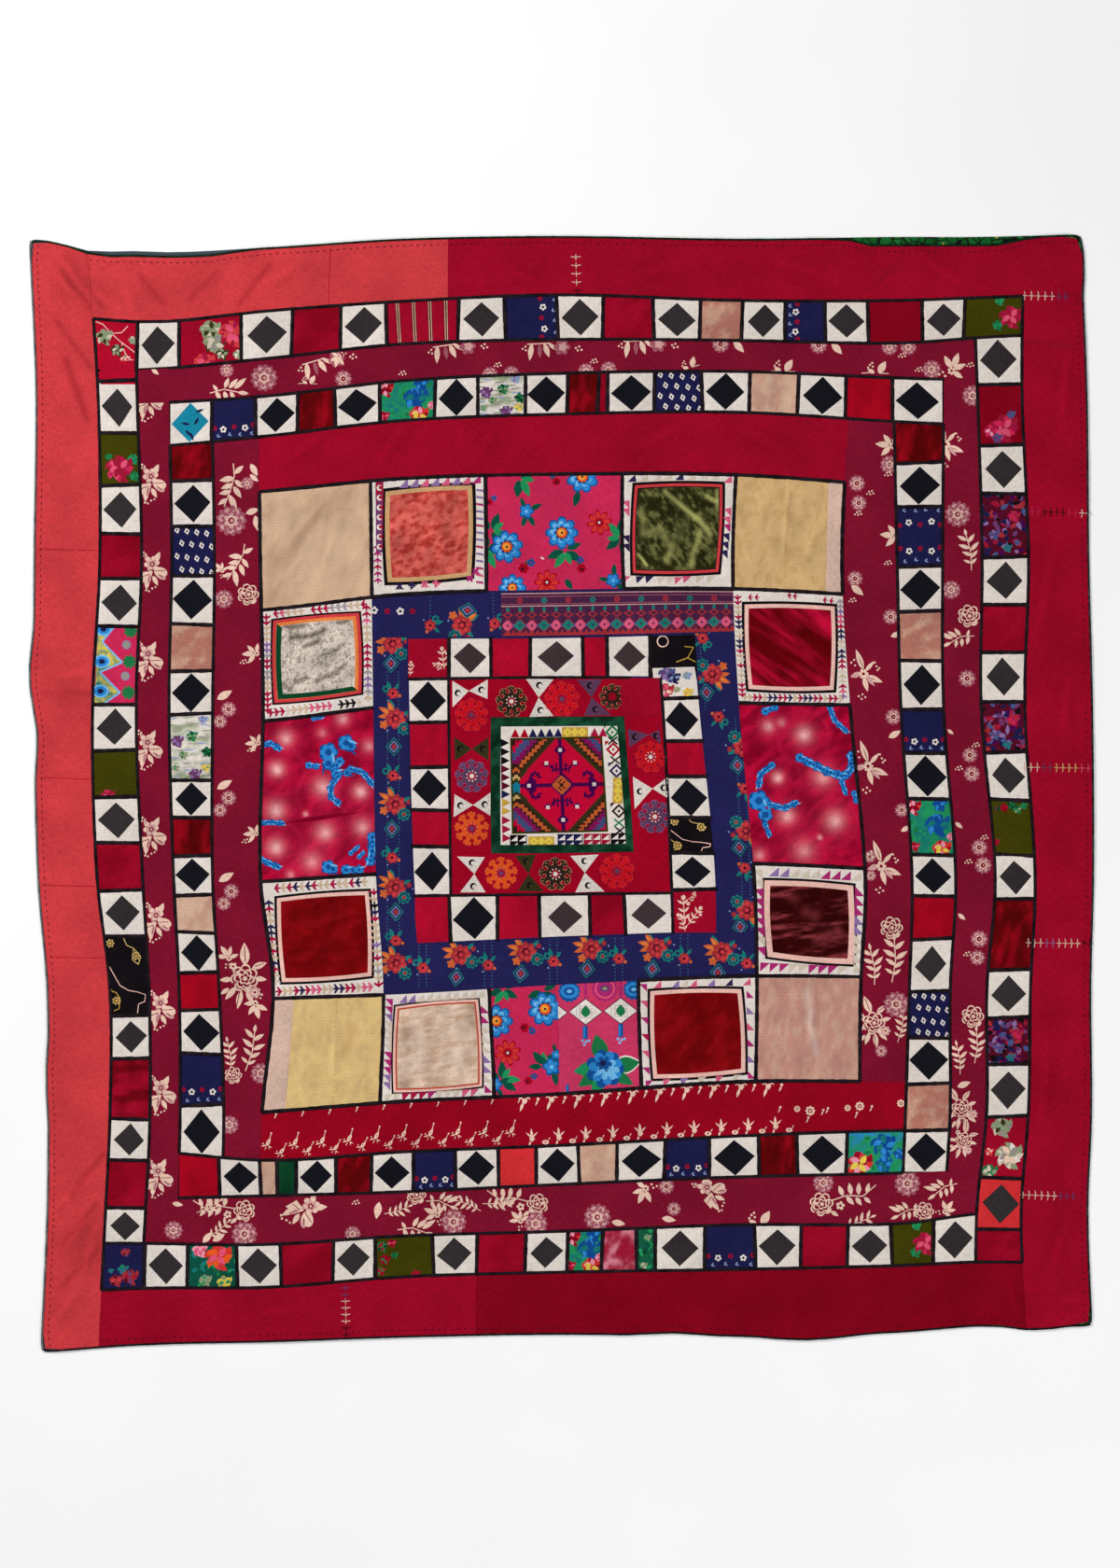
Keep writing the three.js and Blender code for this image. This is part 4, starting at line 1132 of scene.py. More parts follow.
# %% Sashing print
SPRAYS = read_book("""
cluster: leaf C 0 -9 13 6 64, leaf P -6 -9 10 5 116, petals C -3 -8 8.4 6 0.35 10,
  petals P -3 -8 6 6 0.4 40, petals G -2.5 -7.5 3 5 0.4, disc C -2.5 -7.5 1.2 6,
  corners C -14 1 -14 13 -4 8 -2 0, oval P 6 4.6 7 3.4 -35, oval C 6.5 1 7.5 5.2 -18,
  bar G 0 0 11 -0.5 0.8, leaf G 3 3 9 1.3 -30, leaf C -8 6 14 5.6 268, leaf C -2 5 12 5 298,
  leaf P -5 3 11 4 262, bar G -13 6 -5 3 0.8, bar G -5 5 -7 13 0.7, bar G -7 -2 -2 -1 0.8,
  disc C -12 -20 1.3 6, disc C -9.5 -18 1.2 6, disc C -12.5 -16.5 1.2 6, disc C -9 20.5 1.3 6,
  disc C -6 21.5 1.2 6, disc C -2.5 18.5 1.2 6, disc C 1 17 1.1 6;
haze: petals H 0 0 12.8 13 0.2, petals P 0 0 10.6 7 0.35 10, petals H 0 0 9 11 0.3,
  petals P 0 0 6.4 6 0.4 30, petals C 0 0 4.4 9 0.25, disc G 0 0 2.9 9, petals P 0.4 0 1.7 5 0.4;
ring: petals H 0 0 8.6 11 0.22, petals P 0 0 6.8 6 0.4, petals H 0 0 5 9 0.3, petals C 0 0 3.9 8 0.2,
  disc G 0 0 2.6 9, disc P 0.3 0 0.9 6;
branch: bar C -20 5 -6 3 1.0, bar C -6 3 8 8 1.0, leaf C -5 2 11 4.4 60, leaf C -1 3 13 4.6 40,
  leaf C 4 4 16 5 34, leaf C -14 4 10 4.4 -68, leaf C -6 5 10 4.4 -80, leaf C 0 6 9 4 -70,
  leaf C 7 8 11 4 -14, leaf C -12 4 8 3.4 120;
rose: petals C 0 0 11.8 7 0.22, petals G 0 0 10.3 7 0.24, petals C 0 0.5 8.8 6 0.28 15,
  petals G 0 0.5 7.2 6 0.3 15, petals C 0.6 0 5.6 5 0.35 30, petals G 0.6 0 4 5 0.35 30, disc C 0.6 0 2 7,
  leaf C -9 -3 7 3 -20, leaf C 3 8 6 3 20, bar G 9 -5 12 -7 1.2, bar G -8 8 -5 5 1.2;
rose_branch: bar C 9 -2 26 -5 1.1, bar C 26 -5 41 -2 1.1, bar C 41 -2 55 -11 1.1, leaf C 22 -5 11 5 105,
  leaf C 30 -5 12 5 92, leaf C 37 -4 12 5 80, leaf C 45 -4 11 4.4 70, leaf C 25 -4 11 5 -55,
  petals C 18 4 4.4 5 0.4, disc G 18 4 1.4 7, leaf C 34 -2 10 4.6 -62, leaf C 42 -1 9 4 -50,
  leaf C 8 8 9 4 -40;
hanging: leaf C -7 -3 19 6 262, leaf H 1 -2 15 5 272, leaf C 6 -3 16 6 290, leaf C 10 -4 13 4 318,
  bar C -12 -2 12 -3 1.2, petals H 25 1 9 6 0.35, petals P 26 1 5 5 0.4, disc C 40 2 1.2 6,
  disc C 43.5 0.5 1.2 6, disc C 42 4.6 1.2 6, disc C 46 4 1.2 6, disc C -17 3 1.2 6, disc C -14 0.5 1.2 6,
  disc C -13.5 4.5 1.2 6;
dots: disc C 0 0 1.2 6, disc C 3.4 -1 1.2 6, disc C 1.4 3 1.2 6, disc C 5.2 2 1.2 6, disc C -2.4 2.6 1.1 6;
leaf_dots: leaf C 3 6 15 8 58, leaf C -1 6 9 4.5 150, bar C -15 6 -2 5 1.0, bar C 4 6 14 6.5 1.0,
  disc C -6 -3 1.2 6, disc C -3 -1 1.2 6, disc C -8 0 1.2 6, disc C -3.6 -5 1.2 6;
leaf: leaf C -6 -5 17 7.5 -40;
star: leaf C -1 -4 24 6.4 110, leaf G -1 -5 16 0.9 110, leaf C 2 2 19 6.4 -22, leaf G 3 3 12 0.8 -22,
  leaf C -1 3 17 5.6 -74, leaf P -3 -1 13 6 200, leaf C 1 -3 14 4.4 48, leaf P 2 3 14 4 -48,
  petals C -1 0 5.4 6 0.4, disc G -1 0 1.8 7, disc C 13 -8 1.2 6, disc C 16 -6 1.2 6, disc C 14 -4 1.2 6,
  disc C 11 -12 1.2 6, disc C -14 -12 1.2 6, disc C -11 -15 1.2 6, disc C -10 -9 1.2 6,
  disc C -2 22 1.2 6, disc C 1 25 1.2 6, disc C -3 27 1.2 6, disc C -6 24 1.2 6;
sprig: bar C 1 -22 2 -10 1.1, bar C 2 -10 -2 4 1.1, bar C -2 4 -8 20 1.0, leaf C 2 -8 15 6 190,
  leaf C 1 -2 13 5.2 200, leaf C -1 5 12 5 192, leaf C 2 -6 12 5 -40, leaf C 1 0 14 5.4 -56,
  leaf C -3 8 18 6.2 -66, leaf C 2 -12 12 5 42, leaf C -5 12 11 4.4 215;
stem: bar C 0 -14 1 4 0.9, bar C 1 4 -2 21 0.9, leaf C 0 -8 11 3.8 142, leaf C 0 -6 11 3.8 40,
  leaf C 1 0 12 4 150, leaf C 1 2 12 4 34, leaf C 1 7 10 3.4 146, leaf C 0 9 10 3.4 36,
  leaf C -1 14 8 2.8 146, leaf C -1 15 8 2.8 36, leaf C 0 -13 7 3 92;
bouquet: leaf C -3 -10 19 8 112, bar G -4 -13 -9 -25 0.8, leaf C 3 -10 13 5.4 40, bar G 5 -12 11 -17 0.7,
  leaf C 8 -3 10 4.4 12, leaf C -9 4 11 4.4 205, leaf C -4 9 14 5 250, leaf C 1 10 16 5.4 278,
  leaf C 5 8 13 5 312, bar G 0 11 2 24 0.7, leaf C -9 12 9 3.6 235, petals P 12 8 5.2 7 0.3,
  petals C 12 8 3 5 0.4, disc G 12 8 1.2 6, petals C -12 -6 3.4 5 0.4, disc G -12 -6 1.1 6;
tuft: leaf C 0 0 13 5.6 95, leaf C -1 1 12 5 145, leaf C 1 1 11 4.6 48, leaf C 1 3 10 4.4 -8,
  petals C 0 3 3.4 6 0.4, disc G 0 3 1.2 6, disc C -6 7 1.1 6, disc C -3 9 1.1 6, disc C -8 10 1.1 6
""")
SPRAYS["rose_branch"] += SPRAYS["rose"]
SPRAYS["bouquet"] = SPRAYS["rose"] + SPRAYS["bouquet"]
# strip, and its sprays with place, size, turn and an m where mirrored
PRINTED = read_book("""
outer_sash_top: leaf 166 398 0.6 0, branch 246 413 1.1 8, haze 283 405 1.15 0, haze 243 397 0.6 0,
  hanging 336 390 1.0 14, tuft 362 384 0.8 160, leaf_dots 330 407 0.7 0, ring 368 406 1.1 0,
  dots 430 399 0.9 0, hanging 476 373 1.0 6, hanging 577 371 1.0 0, hanging 680 368 1.0 0,
  dots 532 390 0.9 0, haze 525 402 0.7 0, haze 548 401 0.7 40, dots 635 386 0.9 0, haze 628 398 0.7 0,
  haze 652 396 0.7 30, leaf_dots 737 390 0.8 20, ring 772 369 1.1 0, leaf 791 371 1.0 -8,
  leaf_dots 838 392 1.0 0, ring 877 370 1.1 0, leaf 896 373 1.0 -8, leaf_dots 938 394 1.0 0,
  haze 953 372 0.7 0, haze 973 372 0.7 30, dots 965 380 0.9 0, dots 983 395 0.9 0, haze 998 396 0.8 0,
  tuft 1021 394 1.3 -25, dots 1038 390 0.9 0;
outer_sash_right: haze 1042 424 0.9 0, star 1014 476 0.95 0, haze 1026 551 1.1 0, stem 1038 588 1.1 12,
  haze 1019 632 0.8 0, rose 1038 660 1.05 0, branch 1024 680 0.95 10 m, ring 1036 727 1.1 0,
  dots 1044 797 0.9 0, ring 1039 809 1.0 0, ring 1041 829 1.05 0, dots 1026 822 0.9 0,
  leaf 1018 784 0.5 0, dots 1053 896 0.9 0, ring 1049 908 1.05 0, ring 1053 927 1.1 0,
  dots 1036 922 0.9 0, leaf 1027 884 0.6 0, leaf 1030 982 0.6 0, ring 1049 1006 1.1 0,
  ring 1047 1026 1.0 0, dots 1035 1021 0.9 0, rose 1042 1089 1.05 0, stem 1046 1118 1.0 0,
  stem 1027 1132 0.9 10, bouquet 1030 1188 0.95 10, bouquet 1032 1222 0.8 -30, leaf 1032 1162 0.9 60;
outer_sash_bottom: leaf 190 1290 0.7 30, stem 226 1292 0.8 -60, stem 236 1316 0.8 -50,
  haze 186 1318 0.8 0, rose_branch 262 1297 1.0 0 m, haze 262 1322 1.1 0, leaf 222 1326 0.9 90,
  leaf 234 1326 0.9 70, cluster 327 1299 1.15 -60, leaf 405 1296 1.1 -60, dots 380 1287 0.9 0,
  haze 378 1322 0.7 0, rose 446 1280 0.9 0, branch 476 1284 0.95 -6, branch 448 1312 1.1 0,
  stem 428 1296 0.8 -70, tuft 466 1300 1.0 60, stem 500 1290 0.8 70, haze 486 1309 1.1 0,
  rose_branch 576 1290 1.0 -4 m, haze 574 1311 1.0 0, haze 640 1304 1.15 0, stem 536 1288 0.9 -80,
  tuft 556 1306 0.9 40, leaf 662 1310 0.9 30, tuft 690 1276 1.15 150, ring 714 1271 1.0 0,
  ring 722 1295 0.9 0, leaf 716 1306 0.9 30, cluster 764 1276 1.0 40, leaf_dots 812 1305 1.15 0,
  haze 882 1267 0.9 0, rose_branch 880 1290 1.1 8, stem 922 1308 0.9 -70, haze 972 1268 1.1 0,
  branch 1006 1270 0.95 20 m, rose 990 1298 0.9 0, branch 968 1294 0.9 10 m, tuft 1014 1296 0.9 -40;
inner_sash_left: sprig 249 521 1.1 0, leaf 272 503 0.9 -20, leaf 272 512 0.7 0, haze 265 518 0.55 0,
  leaf 270 548 0.9 60, haze 248 558 1.3 0, leaf 275 560 1.0 -40, sprig 256 604 1.0 -14,
  tuft 237 610 0.7 40, rose 266 637 1.0 0, haze 240 642 0.8 0, tuft 272 700 1.0 90, dots 260 708 0.9 0,
  tuft 274 796 0.9 90, dots 268 802 0.9 0, tuft 272 893 0.9 90, dots 262 900 0.9 0, leaf 240 745 1.1 70,
  ring 245 760 1.0 0, ring 236 773 0.9 0, leaf 240 841 1.1 70, ring 245 855 1.0 0, ring 236 868 0.9 0,
  leaf 242 940 1.1 70, ring 248 955 1.0 0, ring 240 968 0.9 0, bouquet 262 1048 1.3 -20,
  tuft 244 1024 1.0 30, tuft 274 1078 1.1 190, stem 270 1122 1.25 -10, stem 246 1128 0.9 10,
  rose 250 1152 0.8 0, haze 280 1150 0.9 0, haze 246 1205 0.8 0;
inner_sash_right: ring 918 518 1.05 0, ring 920 539 1.0 0, dots 931 527 0.9 0, dots 918 549 0.9 0,
  tuft 953 477 1.2 80, haze 953 498 0.8 0, dots 950 507 0.9 0, tuft 958 574 1.2 80, dots 950 602 0.9 0,
  ring 916 620 1.0 0, leaf 918 632 1.0 0, dots 912 642 0.9 0, ring 954 661 1.0 0, leaf 960 680 0.8 60,
  star 926 722 1.0 0, ring 957 768 1.05 0, leaf 958 787 0.9 70, star 931 821 1.05 0, ring 966 868 0.9 0,
  leaf 970 888 0.7 70, ring 932 918 0.8 0, star 945 928 1.05 0, ring 933 938 0.7 0, rose 955 994 1.05 0,
  stem 958 1025 1.3 0, stem 935 1032 1.1 10, bouquet 936 1096 1.05 0, stem 966 1098 0.9 -8,
  haze 960 1076 1.1 0, ring 944 1126 0.8 0
""")
for side in SIDES:
    Panel("outer_sash_" + side, "burgundy")
for side in ("left", "right"):
    Panel("inner_sash_" + side, "burgundy")
for node, run in PRINTED.items():
    for spray, x, y, size, turn, *mirrored in run:
        stamp(panels[node], SPRAYS[spray], x, y, size, turn, bool(mirrored))
LEFT_CLUSTERS = (430, 518, 612, 708, 803, 896, 988, 1082, 1173, 1262)
for y in LEFT_CLUSTERS:
    near, _ = panels["outer_sash_left"].edges_at(y)
    stamp(panels["outer_sash_left"], SPRAYS["cluster"], near + 14, y, 1.0)
print("sprays printed:", sum(map(len, PRINTED.values())) + len(LEFT_CLUSTERS))

# %% [markdown]
# The innermost strips are simpler. The one above the blocks is plain crimson, and the one below is a red
# cotton with rows of tiny cream sprigs that ends in a stretch of bare cloth.

# %% Red strips round the blocks
Panel("inner_sash_top", "crimson")
red_strip = Panel("inner_sash_bottom", "red_strip")
SPRIGS = read_book("""
drop: petals C 0 -2 2.6 5, leaf C -1 -1 9 2.6 250, leaf C 0.5 -3 6 1.4 35, leaf C -0.5 -3 6 1.4 145,
  disc C 4.6 -4 0.7 5, disc C -4.6 -4 0.7 5;
bud: disc C 0 -1 1.7 7, leaf C 0 0 7 1.8 245;
rising: petals C 0 2 2.4 5, leaf C 0 1 8 2.2 95, leaf C 0 1 7 1.4 45, leaf C 0 1 7 1.4 140,
  leaf C -1 4 5 1.6 250;
round: oval C 0 0 3.6 2.4 0, disc red_strip 0 0 1.1 6, leaf C 3 -2 4 1 60;
slant: leaf C -3 4 10 4.2 58, bar C 1 -3 3.4 -9 0.8, disc C 3.6 -10 1.1 6, leaf C -3 3 6 1.6 190,
  leaf C -1 4 5 1.4 -30, bar C -3 5 -5 8 0.7, bar C 0 5 0 8 0.7, disc C -6.5 1 0.9 6,
  disc red_strip -0.5 0 0.8 6;
daisy: petals C 0 0 7 8 0.25, disc red_strip 0 0 3.4 9, disc C 0 0 1.8 7
""")
SPRIG_STEP = 29.0
DROPS_FROM, DROPS_TO = 562, 838
SLANTS_FROM, SLANTS_TO = 288, 560
for x in np.arange(DROPS_FROM, DROPS_TO, SPRIG_STEP):
    near, far = red_strip.edges_at(x)
    between = x + SPRIG_STEP / 2
    stamp(red_strip, SPRIGS["drop"], x, near + 8, 1.2)
    stamp(red_strip, SPRIGS["bud"], between, red_strip.edges_at(between)[0] + 5, 1.0)
    stamp(red_strip, SPRIGS["rising"], x + 8, far - 11, 1.25)
    stamp(red_strip, SPRIGS["round"], x + 8 + SPRIG_STEP / 2, red_strip.edges_at(x + 22)[1] - 4, 1.0)
for x in np.arange(SLANTS_FROM, SLANTS_TO, SPRIG_STEP):
    near, far = red_strip.edges_at(x)
    stamp(red_strip, SPRIGS["slant"], x, far - 19, 0.95, 4)
    stamp(red_strip, SPRIGS["slant"], x - SPRIG_STEP / 2, far - 9, 0.85, -8)
    stamp(red_strip, SPRIGS["bud"], x + 8, near + 3, 0.7)
for x, y, size in read_rows("854 1188 0.5, 868 1190 0.75, 908 1187 0.5, 921 1185 0.7, 965 1182 0.6"):
    stamp(red_strip, SPRIGS["daisy"], x, y, size)
for x, y in read_rows("866 1198, 882 1190, 887 1188, 918 1193, 934 1186, 836 1187"):
    stamp(red_strip, SPRIGS["bud"], x, y, 0.8)
print("red strip layers:", len(red_strip.layers))

# %% [markdown]
# Sixteen blocks stand round the middle. Eight of them are a square of velvet framed in white cloth: the
# frame carries rows of small stitched arrows or sawtooth triangles in pinks and purples, and two or three
# narrow coloured edges lead to the velvet. Crushed pile catches the light in streaks, so each velvet has a
# light and a dark dye and the way its streaks run.

# %% Framed velvets
SIDE_POINTS = 7


def bowed(corners, grow, bow=0.0):
    """A four-sided outline through the corners, pushed outwards by grow, its sides bowed out by bow."""
    corners = np.array(corners, float)
    middle = corners.mean(axis=0)
    outline = []
    for number in range(4):
        start, end = corners[number], corners[(number + 1) % 4]
        for share in np.linspace(0, 1, SIDE_POINTS, endpoint=False):
            outline.append((start + (end - start) * share, bow * math.sin(math.pi * share)))
    points = np.array([point for point, _ in outline])
    bows = np.array([value for _, value in outline])
    half = np.ptp(corners, axis=0) / 2
    return middle + (points - middle) * (1 + (grow + bows)[:, None] / half)


# thread colours of the charted rows; a dot leaves a stitch out
ROW_INKS = {
    "m": "magenta", "p": "thread_pink", "l": "violet", "b": "pale_tan", "g": "thread_grey", "r": "thread_red",
    "n": "thread_navy", "k": "black", "a": "thread_beige",
}
ROW_HALF = {"arrow": 0.38, "back": 0.38, "saw": 0.44, "comb": 0.4}
ROW_SHAPES = {
    "arrow": (0.75, 0, 0, -1, -0.4, -1, -0.1, -0.2, -0.7, -0.2, -0.7, 0.2, -0.1, 0.2, -0.4, 1, 0, 1),
    "back": (-0.75, 0, 0, -1, 0.4, -1, 0.1, -0.2, 0.7, -0.2, 0.7, 0.2, 0.1, 0.2, 0.4, 1, 0, 1),
    "saw": (-1, 1, 1, 1, 1, -0.9),
    "comb": (-0.3, 1, 0.2, 1, 0.5, -0.9, -0.1, -0.6),
}


def stitched_row(panel, start, end, depth, kind, letters):
    """A row of arrows, arrows pointing back, sawteeth or comb strokes, one letter to a stitch."""
    way = np.array(end) - np.array(start)
    heading = -math.degrees(math.atan2(way[1], way[0]))
    values = [depth * ROW_HALF[kind] * value for value in ROW_SHAPES[kind]]
    for number, letter in enumerate(letters):
        if letter in ROW_INKS:
            x, y = np.array(start) + way * (number + 0.6) / len(letters)
            stamp(panel, [("corners", ROW_INKS[letter], *values)], x, y, 1.0, heading)


# window corners, edges as dye and width beyond the velvet, velvet dye, streaks, and the row of stitches on
# each side from the top clockwise
VELVETS = {
    "block_coral_velvet": (
        "418 531 501 525 500 613 420 619", "black 8.4, tan 4.8", "coral_velvet",
        "coral_light 3.4 1.6 24 0.75 0.7", "saw ..llplplpm", "comb .llmllmllmllmpm", "",
        "arrow .mmrmmm........."),
    "block_olive_velvet": (
        "684 524 770 523 766 609 682 610", "black 6.8, coral 3.9, black 0.9", "olive_velvet",
        "olive_light 3.2 1.8 -50 0.24 2.4", "", "", "", ""),
    "block_silver_velvet": (
        "300 671 378 664 380 737 301 746", "black 9.4, coral 7.2, apricot 3.7", "silver_velvet",
        "silver_dark 1.5 1.5 32 0.62 2.6", "back .rpaaa.rrrgggaar", "back rrpaaarrrrgllga",
        "back .bkkk.ppppaaabrrr", "back rrrraaggrrgllaaarr"),
    "block_red_velvet_left": (
        "301 966 391 959 394 1042 306 1048", "black 7.0, skin 4.2", "red_velvet",
        "red_velvet_light 9 2.4 12 0.6 1.4", "back .rarnanraaraarna.", "arrow .raknraaalaragar",
        "back .pparrnnaapprnraar", "arrow .barnararnnaarn.."),
    "block_cream_velvet": (
        "428 1082 508 1075 512 1160 426 1166", "black 6.4, skin 4.4, rust 1.8", "cream_velvet",
        "cream_light 3.4 3.6 12 0.7 0.8", "saw .llbbbbbbbb", "saw .mmbbbllbm", "saw .ppbbbmrrrbb",
        "saw .llmmmbbbblmm"),
    "block_red_velvet_bottom": (
        "701 1066 790 1064 794 1145 704 1151", "black 7.2, skin 4.4", "red_velvet",
        "red_velvet_light 9 2.4 60 0.6 1.4", "saw .p.lbp.l.n.p", "saw .m.l.p.m.l.m", "saw .b.p.b.l.p.m",
        "saw .m.p.r.m.p.m"),
    "block_crimson_velvet": (
        "802 652 890 654 889 735 806 734", "black 7.2, skin 4.2", "crimson_velvet",
        "crimson_light 9 7.0 -36 1.0 1.5", "", "back gglpprnnabnnrrbabrpl", "back arrarrnnranrrnnarraa",
        "back rrrbabrbarnnabnnraarr"),
    "block_maroon_velvet": (
        "825 949 908 954 908 1027 828 1020", "black 8.8, skin 6.0", "maroon_velvet",
        "maroon_light 5 6.0 8 0.9 2.6", "saw .llbbbmmmb", "saw .mmmllbbbb", "saw .bmmmbbmmm",
        "saw .mbmmmmmbb"),
}
VELVET_PITCH = 1.5
WINDOW_BOW = 1.6
# how far the silver block's green hem lies outside and inside its window
HEM_OUT = 3.4
HEM_IN = 2.2
for node, (window, edges, dye, streaks, *rows) in VELVETS.items():
    window = np.reshape(read_rows(window), (4, 2))
    edges = read_rows(edges)
    streaks = read_rows(streaks)[0]
    block = Panel(node, "white", "linen", VELVET_PITCH)
    outer = [block.top[0], block.top[-1], block.bottom[-1], block.bottom[0]]
    for ink, width in edges:
        block.lay(bowed(window, width, WINDOW_BOW), ink, "cotton", seam=True)
    block.lay(bowed(window, 0, WINDOW_BOW), dye, "velvet", seam=True, mottle=streaks, turn=streaks[3])
    if node == "block_silver_velvet":
        rim, hem = [bowed(window, grow, WINDOW_BOW) for grow in (HEM_OUT, -HEM_IN)]
        corner = 2 * SIDE_POINTS
        band = np.vstack((rim[corner:], rim[:1], hem[:1], hem[corner:][::-1]))
        block.lay(band, "bottle_green", "velvet", seam=True)
    inner = bowed(window, edges[0][1], 0)[::SIDE_POINTS]
    depth = np.mean(np.hypot(*(np.array(outer) - inner).T)) / math.sqrt(2)
    for number, row in enumerate(rows):
        if not row:
            continue
        ahead = (number + 1) % 4
        start = (outer[number] + inner[number]) / 2
        end = (outer[ahead] + inner[ahead]) / 2
        stitched_row(block, start, end, depth, *row.split())
coral_block = panels["block_coral_velvet"]
HOOK_STRIP = [(402.5, 516), (411, 516), (410, 592), (403, 592)]
hook_strip = coral_block.lay(HOOK_STRIP, "rose_red", "linen", mottle=("purple", 9, 2.0, 90, 1.0, 1.0))
HOOK = read_rows("disc white 0 0 3.2 10, disc rose_red 0.5 0.9 1.9 8, bar rose_red -2 3 3 3 2.4")
for y in np.linspace(523, 586, 7):
    stamp(coral_block, HOOK, 406.8, y, 1.0, 90, within=hook_strip)
# figures where a frame is nearly bare: block, kind and ink, then x, y and turn of each
LONE_FIGURES = read_book("""
coral hook thread_navy: 428 628 0, 441 627 40;
coral hook thread_pink: 455 626 0, 467 625 40;
coral hook magenta: 503 620 90, 510 612 0;
olive tooth thread_pink: 671 541 90, 671 549 90, 780 549 90, 779 558 90, 780 514 0, 727 622 180,
  736 621 180, 671 621 180;
olive tooth magenta: 779 566 90;
olive tooth thread_navy: 671 578 90, 671 587 90, 778 576 90, 777 585 90, 776 594 90, 686 621 180,
  696 621 180, 677 513 0, 728 511 0;
olive tooth pale_tan: 690 513 0, 704 512 0, 716 511 0, 741 511 0, 754 510 0, 766 511 0, 709 622 180,
  719 622 180, 750 621 180, 762 621 180;
crimson arrow thread_red: 804 640 180, 811 640 180, 846 638 180, 852 639 180, 884 643 180, 891 644 180
""")
LONE_SHAPES = read_book("""
hook: petals ink 0 0 4 4 0.6 45, bar ink -4 3 5 3 1.2;
tooth: corners ink -4.8 3.6 4.8 3.6 3.6 -4.4
""")
LONE_SHAPES["arrow"] = [("corners", "ink", *(3.6 * value for value in ROW_SHAPES["arrow"]))]
for entry, places in LONE_FIGURES.items():
    block_name, kind, ink = entry.split()
    block = panels["block_" + block_name + "_velvet"]
    for x, y, turn in places:
        stamp(block, LONE_SHAPES[kind], x, y, 1.0, turn, inks={"ink": ink})
print("framed velvets:", len(VELVETS))

# %% [markdown]
# The other blocks are worn plush and printed cottons. The yellow plush was pieced out with a lilac strip.
# The pink cottons have blue and red garden flowers. Painted light and shade on creases and pile, and a few
# worn marks, have no outline, so they are strokes of a second colour that fade to their sides; the flowers
# are stamped.

# %% Plush and printed blocks
# block, its dye, and the dye, size, stretch, heading, amount and sharpness of the patches in its pile; the
# patches are painted light and shade of the pile, and on the beige plush painted shade along its creases
PLUSH = read_rows("""
beige_plush beige plush_shade 14 2.6 56 0.9 2.2, yellow_top yellow yellow_shade 4.5 1.6 80 0.6 2.0,
yellow_bottom pale_yellow yellow 4.5 1.6 80 0.8 1.2, rose_plush rose_plush plush_pink 4.5 2.2 84 0.55 1.3
""")
for name, dye, *patches in PLUSH:
    plush = Panel("block_" + name, dye, "plush", pitch=2.0)
    plush.layers[0].mottle = patches
# strokes of painted light and shade on creases and pile, and a few worn marks: block and dye, then softness,
# strength and the points of each stroke
PILE_LIGHT_SHADE_AND_WEAR = read_book("""
rose_plush white: 3.6 .17 864 1060 867 1074 868 1086 867 1098 871 1110 874 1130;
beige_plush plush_shade: 5.5 .55 347 530 340 546 334 560 325 574 312 588 300 600, 7 .35 304 538 306 544,
  3 .4 360 545 380 548, 5 .35 384 556 386 564, 8 .2 364 612 369 613;
yellow_top yellow_shade: 2.2 .7 843 545 843 553, 6 .2 819 588 821 592, 6 .2 861 598 863 602,
  5 .2 831 533 833 537;
silver_velvet silver_dark: 2.8 .62 311 683 322 683 333 681 343 678 348 674,
  2.4 .55 325 693 334 690 343 686, 2.6 .55 304 671 314 671 327 670, 2.6 .55 362 667 373 665,
  2.2 .34 341 704 352 699 362 696 371 688, 2.2 .45 338 730 350 725 360 721 371 711,
  2.4 .55 316 731 328 726, 2.4 .45 303 731 311 740, 1 .3 313 672 311 690 312 712, 1 .2 319 674 318 700;
olive_velvet olive_light: 2.2 .42 712 526 718 532 729 541 738 549 746 555,
  2.8 .42 746 555 754 563 761 573, 3.6 .2 707 566 713 575 720 588 714 600,
  3 .32 750 569 747 583 742 594 741 606, 3.4 .14 687 546 689 560 688 573 700 568, 2.4 .4 757 532 768 538,
  1.8 .3 768 525 769 548, 1.2 .7 684 594 688 599 693 606, 6 .08 724 580 734 560;
maroon_velvet maroon_light: 5.5 .4 864 977 873 981, 5 .4 888 1001 874 1007, 5 .25 848 961 852 963,
  4 .4 897 996 899 1000;
cream_velvet cream_light: 6 .36 447 1096 450 1120 446 1144, 7 .3 488 1104 490 1112,
  7 .22 491 1136 493 1144;
yellow_bottom yellow_shade: 4.5 .36 373 1096 378 1112 366 1130, 7 .2 338 1149 342 1151
""")
PILE_STROKE_STEP = 0.9
# each stroke is a row of soft spots: painted highlights and painted shade on creases and velvet pile, and a
# few worn marks such as the tear on the yellow plush
for entry, strokes in PILE_LIGHT_SHADE_AND_WEAR.items():
    name, dye = entry.split()
    pile = next(layer for layer in panels["block_" + name].layers if layer.mottle)
    for soft, strength, *places in strokes:
        for x, y in walk(np.reshape(places, (-1, 2)), PILE_STROKE_STEP * soft, closed=False):
            pile.glows += ((x, y, 0, soft, strength, dye),)
LILAC_STRIPS = {
    "block_yellow_top": [(888, 505), (912, 505), (912, 645), (884, 645)],
    "block_yellow_bottom": [(285, 1060), (316, 1060), (305, 1200), (270, 1200)],
}
for node, strip in LILAC_STRIPS.items():
    panels[node].lay(strip, "lilac", "cotton", seam=True)
# tacking threads down the middle of the yellow blocks: block and the ends of the line
TACKED = read_rows("""
block_yellow_top 840 514 841 546, block_yellow_top 842 562 840 628, block_yellow_bottom 361 1066 359 1104,
block_yellow_bottom 358 1150 357 1192
""")
TACK_STEP = 5.0
for node, x0, y0, x1, y1 in TACKED:
    for x, y in walk([(x0, y0), (x1, y1)], TACK_STEP, closed=False):
        panels[node].lay(bar(x, y, x + 0.4, y + 2.6, 0.8), "yellow_shade")

